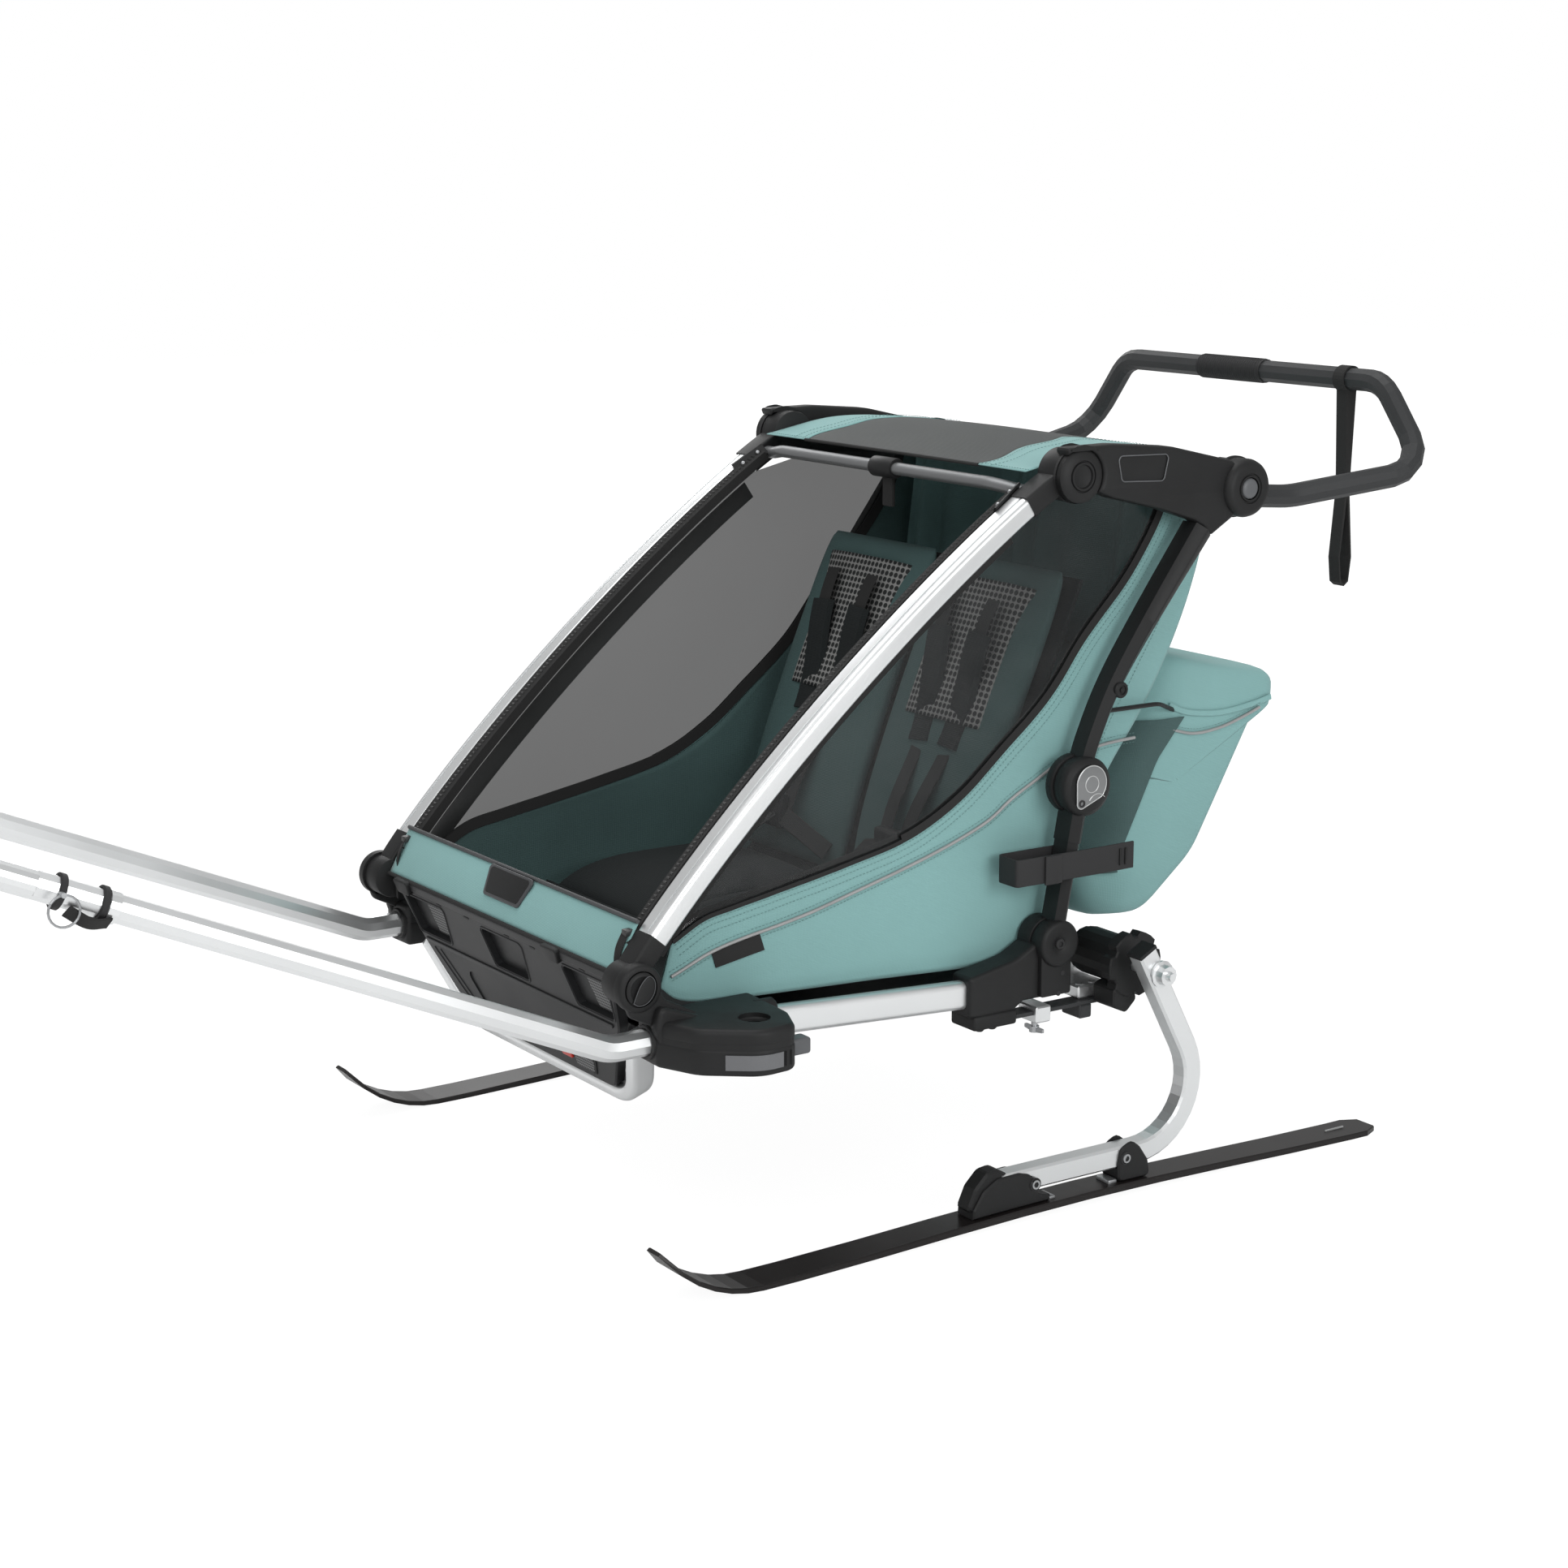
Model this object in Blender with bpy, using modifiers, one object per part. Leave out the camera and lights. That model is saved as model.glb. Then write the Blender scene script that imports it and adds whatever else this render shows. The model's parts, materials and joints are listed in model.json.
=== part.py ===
"""Child trailer on skis: folding frame, fabric cabin, push handle, sprung axle, skis and pull poles.

Metres, +Z up. The trailer travels towards -Y, +X is its left side and z = 0 is the ski soles.
Side views are written as (y, z) with y counted rearward from the lower front hub; the whole
model is then shifted so that y = 0 is the middle of its length.
"""

import math

import bmesh
import bpy
from mathutils import Matrix, Vector

# Frame pivots, side view.
FRONT_HUB_Y = 0.007
FRONT_HUB_Z = 0.3565
TOP_HUB_Y = 0.644
TOP_HUB_Z = 0.9045
HANDLE_HUB_Y = 0.912
HANDLE_HUB_Z = 0.8735
KNEE_Y = 0.657
KNEE_Z = 0.5155
REAR_HUB_Y = 0.619
REAR_HUB_Z = 0.3175
AXLE_Y = 0.720
AXLE_Z = 0.281

# Clearances and common sizes.
GAP = 0.0003
PIN_RADIUS = 0.008
PIN_PLAY = 0.0004
ROUND_STEPS = 16
HUB_STEPS = 20
PIN_STEPS = 12
BOLT_RADIUS = 0.006
STRAIGHT = math.radians(89.0)

# Planes across the frame, measured from the middle of the trailer.
PANEL_INNER_X = 0.2865
PANEL_THICK = 0.003
PILLAR_INNER_X = 0.2915
PILLAR_WIDTH = 0.032
PILLAR_DEPTH = 0.026
PILLAR_BOW = 0.038
HUB_FACE_X = 0.338
HUB_PLATE = 0.014
HUB_PLAY = 0.0008
FRONT_HUB_RADIUS = 0.029
TOP_HUB_RADIUS = 0.033
ARM_INNER_X = 0.313
ARM_OUTER_X = 0.340
HANDLE_HUB_RADIUS = 0.0375
HANDLE_HUB_FACE_X = 0.350
STRUT_INNER_X = 0.309
STRUT_OUTER_X = 0.3455
STRUT_DEPTH = 0.017
KNEE_FACE_X = 0.350
KNEE_INNER_DISC_X = 0.3205
KNEE_OUTER_DISC_X = 0.3355
KNEE_RADIUS = 0.0378
HUB_LUG_INNER_X = 0.3195
HUB_LUG_OUTER_X = 0.3350
HUB_LUG_FACE_X = 0.3470
REAR_HUB_RADIUS = 0.030

# Base.
RAIL_X = 0.314
RAIL_WIDTH = 0.022
RAIL_HEIGHT = 0.036
RAIL_FRONT_Y = 0.157
RAIL_FRONT_Z = 0.2835
RAIL_REAR_Y = 0.512
RAIL_REAR_Z = 0.264
POD_BOTTOM_Z = 0.2595
POD_TOP_Z = 0.3155
POD_FRONT_Y = 0.027
POD_REAR_Y = 0.183
POD_OUTER_X = 0.440
CASTER_X = 0.388
CASTER_Y = 0.129
CASTER_BORE = 0.010
CASTER_DISH = 0.019
KNOB_RADIUS = 0.020
KNOB_STAND = 0.008
KNOB_SEAT = 0.006
TAB_TRAVEL = 0.004
CASTING_INNER_X = 0.294
CASTING_OUTER_X = 0.332
CROSS_TUBE_RADIUS = 0.0125
POD_INNER_X = PANEL_INNER_X + PANEL_THICK + 0.004
FLOOR_HALF_WIDTH = POD_INNER_X - GAP
FLOOR_THICK = 0.003
FLOOR_Z = 0.266
FLOOR_FRONT_Y = 0.080
SHELL_LEAN = math.radians(19.7)
SHELL_TOP_Y = 0.000
SHELL_TOP_Z = 0.363
SHELL_TOP_HALF = 0.279
SHELL_MID_HALF = 0.249
SHELL_MID_DROP = 0.086
SHELL_HALF = 0.190
SHELL_DROP = 0.190
SHELL_THICK = 0.016
BUMPER_DEPTH = 0.035
BUMPER_WALL = 0.021

# Pull poles.
POLE_X = 0.318
POLE_Z = 0.2855
POLE_RADIUS = 0.016
POLE_WALL = 0.0018
POLE_ELBOW_Y = -0.027
POLE_ELBOW_BEND = 0.060
POLE_SOCKET_DEPTH = 0.080
POLE_RISE = 0.431
POLE_INWARD = 0.060
POLE_COLLAR_REACH = 0.573
POLE_JOINT_REACH = 0.652
POLE_PIN_REACH = 0.629
POLE_TIP_REACH = 1.600
POLE_TIP_ROUND = 0.006
POLE_SPIGOT = 0.075
POLE_PIN_RADIUS = 0.003

# Suspension, axle, ski arms and skis.
LEAF_X = 0.315
LEAF_WIDTH = 0.026
LEAF_THICK = 0.005
LEAF_Z = 0.2270
LEAF_FRONT_Y = 0.515
LEAF_REAR_Y = 0.722
BLOCK_FRONT_Y = 0.492
BLOCK_REAR_Y = 0.560
BLOCK_TOP_Z = 0.2395
BLOCK_BOTTOM_Z = 0.2205
AXLE_BLOCK_FRONT_Y = 0.672
AXLE_BLOCK_TOP_Z = 0.2465
SLIDER_LENGTH = 0.024
SLIDER_WALL = 0.006
SLIDER_AHEAD = 0.0315
SCREW_RADIUS = 0.004
DRUM_INNER_X = 0.272
DRUM_OUTER_X = 0.356
DRUM_RADIUS = 0.031
LOBE_RADIUS = 0.043
LOBE_WAIST = 0.037
LOBE_COUNT = 6
LOBE_THICK = 0.018
SKI_X = 0.409
SKI_WIDTH = 0.056
SKI_THICK = 0.009
SKI_TIP_THICK = 0.005
SKI_TIP_Y = -0.025
SKI_TIP_Z = 0.066
SKI_CONTACT_Y = 0.110
SKI_PATCH = 0.050
SKI_CAMBER = 0.0085
SKI_WAIST = 0.004
SKI_NOSE = 0.030
SKI_TAIL_Y = 1.105
ARM_TUBE_WIDTH = 0.026
ARM_TUBE_DEPTH = 0.028
ARM_BEND_RADIUS = 0.094
ARM_RUN_Z = 0.049
ARM_TOP_Y = 0.698
ARM_TOP_Z = 0.312
ARM_CORNER_Y = 0.839
ARM_FOOT_Y = 0.470
SHOE_FRONT_Y = 0.418
SHOE_REAR_Y = 0.545
CLAMP_FRONT_Y = 0.655
CLAMP_REAR_Y = 0.708
DECK_SAG = 0.0002
CHEEK_WIDTH = 0.034

# Handle, roof tube and straps.
BAR_RADIUS = 0.0155
BAR_ROOT_X = 0.289
BAR_BEND_X = 0.348
BAR_TOP_X = 0.262
BAR_REAR_Y = 1.228
BAR_LOW_Z = 0.879
BAR_TOP_Z = 0.989
BAR_BEND_RADIUS = 0.050
BAR_HUB_INNER_X = 0.2900
BUTTON_RADIUS = 0.0135
BUTTON_LENGTH = 0.0065
BUTTON_STAND = 0.001
BUTTON_TRAVEL = 0.004
ROOF_TUBE_RADIUS = 0.010
STRAP_X = 0.194
STRAP_WIDTH = 0.020
STRAP_THICK = 0.0022
STRAP_DROP = 0.285
WHEEL_STRAP_THICK = 0.0026

# Cabin.
SHEET = 0.003
ROOF_HALF_WIDTH = PANEL_INNER_X - GAP
SEAT_HALF_WIDTH = 0.262
BAG_HALF_WIDTH = 0.262
SILL_HALF_WIDTH = PILLAR_INNER_X - 3 * GAP
LIGHT_X = 0.120
HOOP_RADIUS = 0.003

PARTS = None
CUTTERS = None


def new_collection(name):
    group = bpy.data.collections.new(name)
    bpy.context.scene.collection.children.link(group)
    return group


def paint(name, colour, roughness, metallic=0.0):
    """A plain Principled material, made once and shared by name."""
    existing = bpy.data.materials.get(name)
    if existing:
        return existing
    material = bpy.data.materials.new(name)
    material.use_nodes = True
    shader = material.node_tree.nodes["Principled BSDF"]
    shader.inputs["Base Color"].default_value = (*colour, 1.0)
    shader.inputs["Roughness"].default_value = roughness
    shader.inputs["Metallic"].default_value = metallic
    return material


def silver():
    return paint("satin_aluminium", (0.72, 0.74, 0.75), 0.35, 0.9)


def black():
    return paint("black_plastic", (0.02, 0.021, 0.022), 0.5)


def charcoal():
    return paint("charcoal_paint", (0.045, 0.047, 0.05), 0.45)


def teal():
    return paint("teal_fabric", (0.22, 0.4, 0.39), 0.9)


def rubber():
    return paint("black_rubber", (0.015, 0.015, 0.016), 0.8)


def steel():
    return paint("grey_steel", (0.35, 0.36, 0.37), 0.4, 0.8)


def add_mesh(name, mesh, material):
    obj = bpy.data.objects.new(name, mesh)
    PARTS.objects.link(obj)
    mesh.materials.clear()
    mesh.materials.append(material)
    mesh.shade_smooth()
    mesh.set_sharp_from_angle(angle=math.radians(32))
    return obj


def baked(obj):
    """The object's shape with its modifiers, as a welded mesh in world space."""
    bpy.context.view_layer.update()
    evaluated = obj.evaluated_get(bpy.context.evaluated_depsgraph_get())
    mesh = bpy.data.meshes.new_from_object(evaluated)
    mesh.transform(obj.matrix_world)
    work = bmesh.new()
    work.from_mesh(mesh)
    bmesh.ops.remove_doubles(work, verts=work.verts, dist=0.00001)
    bmesh.ops.recalc_face_normals(work, faces=work.faces)
    work.to_mesh(mesh)
    work.free()
    return mesh


def bake(obj, material):
    mesh = baked(obj)
    name = obj.name
    bpy.data.objects.remove(obj)
    return add_mesh(name, mesh, material)


def set_aside(tool):
    """Keeps a used cutter or joined shape in the file, hidden and shown as wire."""
    for group in list(tool.users_collection):
        group.objects.unlink(tool)
    CUTTERS.objects.link(tool)
    tool.hide_render = True
    tool.display_type = "WIRE"


def combine(target, tools, operation):
    material = target.data.materials[0]
    for tool in tools:
        modifier = target.modifiers.new(operation.lower(), "BOOLEAN")
        modifier.operation = operation
        modifier.solver = "EXACT"
        modifier.object = tool
    result = bake(target, material)
    for tool in tools:
        set_aside(tool)
    return result


def cut(target, *tools):
    return combine(target, tools, "DIFFERENCE")


def unite(target, *tools):
    return combine(target, tools, "UNION")


def wound(loop, clockwise):
    """The loop, turned round if need be, so that rounded edges fall inside the outline."""
    pairs = zip(loop, loop[1:] + loop[:1])
    area = sum(a[0] * b[1] - b[0] * a[1] for a, b in pairs)
    return loop[::-1] if (area < 0) != clockwise else loop


def slab(name, outline, thick, placing, material, edge=0.0, holes=()):
    """Flat plate from a closed 2D outline, its edges rounded by edge."""
    curve = bpy.data.curves.new(name, "CURVE")
    curve.dimensions = "2D"
    curve.fill_mode = "BOTH"
    curve.resolution_u = 1
    curve.render_resolution_u = 0
    curve.extrude = thick / 2 - edge
    curve.bevel_depth = edge
    curve.offset = -edge
    curve.bevel_resolution = 0
    loops = [wound(list(outline), False)] + [wound(list(hole), True) for hole in holes]
    for loop in loops:
        spline = curve.splines.new("POLY")
        spline.points.add(len(loop) - 1)
        for point, place in zip(spline.points, loop):
            point.co = (place[0], place[1], 0.0, 1.0)
        spline.use_cyclic_u = True
    obj = bpy.data.objects.new(name, curve)
    PARTS.objects.link(obj)
    obj.matrix_world = placing
    return bake(obj, material)


def across(inner, outer):
    """Placing that lays a (y, z) outline between two x planes."""
    middle = (inner + outer) / 2
    return Matrix(((0, 0, 1, middle), (1, 0, 0, 0), (0, 1, 0, 0), (0, 0, 0, 1)))


def side_plate(name, outline, inner, outer, material, edge=0.0, holes=()):
    return slab(name, outline, outer - inner, across(inner, outer), material, edge, holes)


def plan_plate(name, outline, low, high, material, edge=0.0):
    placing = Matrix.Translation((0, 0, (low + high) / 2))
    return slab(name, outline, high - low, placing, material, edge)


def rod(name, radius, start, end, material, steps=ROUND_STEPS):
    start = Vector(start)
    axis = Vector(end) - start
    work = bmesh.new()
    bmesh.ops.create_cone(
        work,
        cap_ends=True,
        segments=steps,
        radius1=radius,
        radius2=radius,
        depth=axis.length,
    )
    turn = Vector((0, 0, 1)).rotation_difference(axis).to_matrix().to_4x4()
    bmesh.ops.transform(work, matrix=Matrix.Translation(start + axis / 2) @ turn, verts=work.verts)
    mesh = bpy.data.meshes.new(name)
    work.to_mesh(mesh)
    work.free()
    return add_mesh(name, mesh, material)


def disc(name, radius, centre, inner, outer, material, steps=ROUND_STEPS):
    """Cylinder along x at a (y, z) centre."""
    return rod(name, radius, (inner, *centre), (outer, *centre), material, steps)


def box(name, low, high, material, edge=0.0):
    size = [b - a for a, b in zip(low, high)]
    middle = [(a + b) / 2 for a, b in zip(low, high)]
    work = bmesh.new()
    bmesh.ops.create_cube(work, size=1.0)
    bmesh.ops.scale(work, vec=size, verts=work.verts)
    bmesh.ops.translate(work, vec=middle, verts=work.verts)
    if edge:
        bmesh.ops.bevel(work, geom=work.edges, offset=edge, segments=1, affect="EDGES")
    mesh = bpy.data.meshes.new(name)
    work.to_mesh(mesh)
    work.free()
    return add_mesh(name, mesh, material)


def turned(name, profile, base, axis, material, steps=ROUND_STEPS):
    """Solid of revolution: (radius, height) points from the top down, height along axis."""
    mesh = bpy.data.meshes.new(name)
    points = [(radius, 0.0, height) for radius, height in profile]
    edges = [(i, i + 1) for i in range(len(points) - 1)]
    mesh.from_pydata(points, edges, [])
    obj = bpy.data.objects.new(name, mesh)
    PARTS.objects.link(obj)
    screw = obj.modifiers.new("turn", "SCREW")
    screw.steps = steps
    screw.render_steps = steps
    screw.use_merge_vertices = True
    screw.merge_threshold = 0.00001
    screw.use_normal_calculate = True
    turn = Vector((0, 0, 1)).rotation_difference(Vector(axis)).to_matrix().to_4x4()
    obj.matrix_world = Matrix.Translation(base) @ turn
    return bake(obj, material)


def tube(name, points, radius, material, resolution=2):
    """Round bar along points in space, with closed ends."""
    curve = bpy.data.curves.new(name, "CURVE")
    curve.dimensions = "3D"
    curve.bevel_depth = radius
    curve.bevel_resolution = resolution
    curve.use_fill_caps = True
    curve.resolution_u = 1
    curve.render_resolution_u = 0
    spline = curve.splines.new("POLY")
    spline.points.add(len(points) - 1)
    for point, place in zip(spline.points, points):
        point.co = (*place, 1.0)
    obj = bpy.data.objects.new(name, curve)
    PARTS.objects.link(obj)
    return bake(obj, material)


def loft(name, rings, material):
    """Skin through rings of equal count, closed by a face at each end."""
    work = bmesh.new()
    loops = [[work.verts.new(place) for place in ring] for ring in rings]
    count = len(rings[0])
    for near, far in zip(loops, loops[1:]):
        for i in range(count):
            j = (i + 1) % count
            work.faces.new((near[i], near[j], far[j], far[i]))
    work.faces.new(loops[0])
    work.faces.new(reversed(loops[-1]))
    bmesh.ops.recalc_face_normals(work, faces=work.faces)
    mesh = bpy.data.meshes.new(name)
    work.to_mesh(mesh)
    work.free()
    return add_mesh(name, mesh, material)


def arc(centre, radius, start, end, steps=8):
    """Points on a circle from start to end degrees."""
    angles = [math.radians(start + (end - start) * i / steps) for i in range(steps + 1)]
    return [(centre[0] + radius * math.cos(a), centre[1] + radius * math.sin(a)) for a in angles]


def circle(centre, radius, steps=ROUND_STEPS):
    return arc(centre, radius, 0.0, 360.0, steps)[:-1]


def rounded(corners, radius, steps=3, closed=True):
    """Polyline with each corner replaced by an arc; radius is one value or one per corner."""
    count = len(corners)
    result = []
    for i, corner in enumerate(corners):
        here = Vector(corner)
        size = radius[i] if isinstance(radius, (list, tuple)) else radius
        ends = not closed and i in (0, count - 1)
        if ends or size <= 0:
            result.append(tuple(here))
            continue
        before = Vector(corners[i - 1]) - here
        after = Vector(corners[(i + 1) % count]) - here
        half = before.angle(after) / 2
        if half > STRAIGHT:
            result.append(tuple(here))
            continue
        reach = min(size / math.tan(half), 0.49 * before.length, 0.49 * after.length)
        size = reach * math.tan(half)
        bisector = (before.normalized() + after.normalized()).normalized()
        middle = here + bisector * (size / math.sin(half))
        first = here + before.normalized() * reach - middle
        last = here + after.normalized() * reach - middle
        sweep = first.angle(last)
        for k in range(steps + 1):
            a = math.sin(sweep * (1 - k / steps)) / math.sin(sweep)
            b = math.sin(sweep * k / steps) / math.sin(sweep)
            result.append(tuple(middle + first * a + last * b))
    return result


def smooth(points, per_span=6):
    """Catmull-Rom curve through points, each span in per_span steps."""
    places = [Vector(p) for p in points]
    places = [places[0] * 2 - places[1]] + places + [places[-1] * 2 - places[-2]]
    result = []
    for a, b, c, d in zip(places, places[1:], places[2:], places[3:]):
        for k in range(per_span):
            t = k / per_span
            turn = 2 * b + (c - a) * t + (2 * a - 5 * b + 4 * c - d) * t * t
            result.append(tuple((turn + (3 * b - a - 3 * c + d) * t ** 3) / 2))
    result.append(tuple(places[-2]))
    return result


def band(centre, depth):
    """Outline of a strip of even or varying depth along a 2D centre line."""
    count = len(centre)
    left = []
    right = []
    for i, place in enumerate(centre):
        ahead = Vector(centre[min(i + 1, count - 1)]) - Vector(centre[max(i - 1, 0)])
        normal = Vector((-ahead.y, ahead.x)).normalized()
        half = (depth[i] if isinstance(depth, list) else depth) / 2
        left.append(tuple(Vector(place) + normal * half))
        right.append(tuple(Vector(place) - normal * half))
    return left + right[::-1]


def mirror_pair(obj):
    """Renames a left piece and adds its right twin."""
    base = obj.name
    obj.name = base + "_left"
    mesh = obj.data.copy()
    mesh.transform(Matrix.Scale(-1, 4, (1, 0, 0)))
    mesh.flip_normals()
    twin = bpy.data.objects.new(base + "_right", mesh)
    PARTS.objects.link(twin)
    return obj, twin


def polar(centre, radius, degrees):
    a = math.radians(degrees)
    return (centre[0] + radius * math.cos(a), centre[1] + radius * math.sin(a))


def front_hub():
    return (FRONT_HUB_Y, FRONT_HUB_Z)


def top_hub():
    return (TOP_HUB_Y, TOP_HUB_Z)


def handle_hub():
    return (HANDLE_HUB_Y, HANDLE_HUB_Z)


def knee():
    return (KNEE_Y, KNEE_Z)


def rear_hub():
    return (REAR_HUB_Y, REAR_HUB_Z)


def axle():
    return (AXLE_Y, AXLE_Z)


def pillar_point(share):
    """Centre line of the bowed front pillar, share 0 at the lower hub and 1 at the top hub."""
    start = Vector(front_hub())
    chord = Vector(top_hub()) - start
    normal = Vector((-chord.y, chord.x)).normalized()
    bow = PILLAR_BOW * max(math.sin(math.pi * share), 0.0) ** 0.6
    return tuple(start + chord * share + normal * bow)


def rail_point(y):
    share = (y - RAIL_FRONT_Y) / (RAIL_REAR_Y - RAIL_FRONT_Y)
    return (y, RAIL_FRONT_Z + (RAIL_REAR_Z - RAIL_FRONT_Z) * share)


def rail_section(grow=0.0):
    return RAIL_WIDTH / 2 + grow, RAIL_HEIGHT / 2 + grow


def rail_bar(name, grow, front, rear, material):
    half_width, half_height = rail_section(grow)
    corner = 0.4 * RAIL_WIDTH
    rings = []
    for y in (front, rear):
        z = rail_point(y)[1]
        corners = [
            (RAIL_X - half_width, z - half_height),
            (RAIL_X + half_width, z - half_height),
            (RAIL_X + half_width, z + half_height),
            (RAIL_X - half_width, z + half_height),
        ]
        rings.append([(x, y, height) for x, height in rounded(corners, corner, 3)])
    return loft(name, rings, material)


def base_rails():
    rail = rail_bar("base_rail", 0.0, RAIL_FRONT_Y, RAIL_REAR_Y, silver())
    return mirror_pair(rail)


def pole_direction():
    return Vector((-POLE_INWARD, -1.0, POLE_RISE))


def pole_place(reach):
    """Point on the pole's centre line, reach metres forward of its elbow."""
    return Vector((POLE_X, POLE_ELBOW_Y, POLE_Z)) + pole_direction() * reach


def arm_pods():
    """Front side castings: hub cup, pole socket, rail socket and caster socket in one piece."""
    hub_inner = HUB_FACE_X - HUB_PLATE
    flare = POD_OUTER_X - POLE_X
    plan = [
        (POD_INNER_X, POD_FRONT_Y),
        (POLE_X + POLE_RADIUS + 0.006, POD_FRONT_Y - 0.002),
        (POLE_X + 0.62 * flare, POD_FRONT_Y + 0.020),
        (POD_OUTER_X, CASTER_Y - 0.022),
        (POD_OUTER_X - 0.004, CASTER_Y + 0.026),
        (CASTER_X, POD_REAR_Y - 0.006),
        (POD_INNER_X, POD_REAR_Y),
    ]
    rounding = [0.007, 0.012, 0.050, 0.045, 0.020, 0.020, 0.007]
    pod = plan_plate("arm_pod", rounded(plan, rounding, 3), POD_BOTTOM_Z, POD_TOP_Z, black(), 0.005)
    cup = disc("hub_cup", FRONT_HUB_RADIUS, front_hub(), hub_inner, HUB_FACE_X, black())
    neck_outline = [
        (FRONT_HUB_Y - 0.86 * FRONT_HUB_RADIUS, FRONT_HUB_Z),
        (FRONT_HUB_Y - 0.010, FRONT_HUB_Z - 0.032),
        (POD_FRONT_Y + 0.002, POLE_Z + POLE_RADIUS + 0.005),
        (POD_FRONT_Y + 0.030, POD_BOTTOM_Z + 0.012),
        (POD_FRONT_Y + 0.060, POD_TOP_Z - 0.004),
        (FRONT_HUB_Y + 0.86 * FRONT_HUB_RADIUS, FRONT_HUB_Z),
    ]
    neck = side_plate("hub_neck", rounded(neck_outline, 0.012), hub_inner, HUB_FACE_X - 0.001, black())
    pin_end = PILLAR_INNER_X - 0.001
    pin = disc("hub_pin", PIN_RADIUS, front_hub(), pin_end, hub_inner + 0.004, black(), PIN_STEPS)
    boss = rod(
        "caster_boss",
        CASTER_DISH + 0.004,
        (CASTER_X, CASTER_Y, POD_BOTTOM_Z - 0.010),
        (CASTER_X, CASTER_Y, POD_BOTTOM_Z + 0.010),
        black(),
    )
    pod = unite(pod, cup, neck, pin, boss)
    recess = disc(
        "knob_recess",
        KNOB_RADIUS + 0.0012,
        front_hub(),
        HUB_FACE_X - KNOB_SEAT,
        HUB_FACE_X + 0.01,
        black(),
    )
    rail_cut = rail_bar("rail_pocket", GAP, RAIL_FRONT_Y - GAP, POD_REAR_Y + 0.02, black())
    socket = rod(
        "pole_socket",
        POLE_RADIUS + GAP,
        (POLE_X, POD_FRONT_Y - 0.02, POLE_Z),
        (POLE_X, POD_FRONT_Y + POLE_SOCKET_DEPTH, POLE_Z),
        black(),
    )
    bore = rod(
        "caster_bore",
        CASTER_BORE,
        (CASTER_X, CASTER_Y, POD_BOTTOM_Z - 0.02),
        (CASTER_X, CASTER_Y, POD_TOP_Z - 0.008),
        black(),
        PIN_STEPS,
    )
    dish = rod(
        "caster_dish",
        CASTER_DISH,
        (CASTER_X, CASTER_Y, POD_TOP_Z - 0.006),
        (CASTER_X, CASTER_Y, POD_TOP_Z + 0.01),
        black(),
    )
    slot = box("tab_slot", *tab_box(GAP), black())
    return mirror_pair(cut(pod, recess, rail_cut, socket, bore, dish, slot))


def tab_box(grow):
    """Release tab: a small push key in the rear outer face of the pod."""
    low = (CASTER_X + 0.014 - grow, POD_REAR_Y - 0.034 - grow, POD_BOTTOM_Z + 0.014 - grow)
    high = (CASTER_X + 0.034 + grow, POD_REAR_Y + 0.002 + grow, POD_BOTTOM_Z + 0.030 + grow)
    return low, high


def release_tabs():
    low, high = tab_box(0.0)
    low = (low[0], low[1] + TAB_TRAVEL + GAP, low[2])
    return mirror_pair(box("release_tab", low, high, charcoal(), 0.0015))


def lock_knobs():
    """Round twist knob with a raised thumb ridge, seated in the front hub's cup."""
    seat_x = HUB_FACE_X - KNOB_SEAT + GAP
    profile = [
        (0.0, KNOB_STAND),
        (KNOB_RADIUS - 0.002, KNOB_STAND),
        (KNOB_RADIUS, KNOB_STAND - 0.002),
        (KNOB_RADIUS, 0.0),
        (0.0, 0.0),
    ]
    knob = turned("lock_knob", profile, (seat_x, *front_hub()), (1, 0, 0), black())
    ridge_outline = rounded(
        [
            (FRONT_HUB_Y - 0.005, FRONT_HUB_Z - 0.019),
            (FRONT_HUB_Y + 0.006, FRONT_HUB_Z - 0.018),
            (FRONT_HUB_Y + 0.009, FRONT_HUB_Z + 0.017),
            (FRONT_HUB_Y - 0.007, FRONT_HUB_Z + 0.012),
        ],
        0.004,
    )
    top = seat_x + KNOB_STAND
    ridge = side_plate("knob_ridge", ridge_outline, top - 0.002, top + 0.004, black(), 0.001)
    return mirror_pair(unite(knob, ridge))


def pull_poles():
    """Rear pole sections: socket end, elbow, tether collar and open front end with a pin hole."""
    entry = Vector((POLE_X, POD_FRONT_Y + POLE_SOCKET_DEPTH - 0.004, POLE_Z))
    elbow = pole_place(0.0)
    end = pole_place(POLE_JOINT_REACH)
    path = rounded([entry, elbow, end], POLE_ELBOW_BEND, 6, closed=False)
    pole = tube("pull_pole_rear", path, POLE_RADIUS, silver(), 3)
    step = pole_direction().normalized()
    collar_at = pole_place(POLE_COLLAR_REACH)
    collar = rod(
        "pole_collar",
        POLE_RADIUS + 0.0025,
        collar_at - step * 0.006,
        collar_at + step * 0.006,
        silver(),
    )
    pole = unite(pole, collar)
    bore = rod(
        "pole_bore",
        POLE_RADIUS - POLE_WALL,
        end - step * (POLE_SPIGOT + 0.004),
        end + step * 0.01,
        silver(),
    )
    return mirror_pair(cut(pole, bore, pin_hole("rear_pin_hole")))


def pin_hole(name):
    at = pole_place(POLE_PIN_REACH)
    reach = Vector((POLE_RADIUS * 2, 0, 0))
    return rod(name, POLE_PIN_RADIUS + GAP, at - reach, at + reach, silver(), PIN_STEPS)


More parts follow.
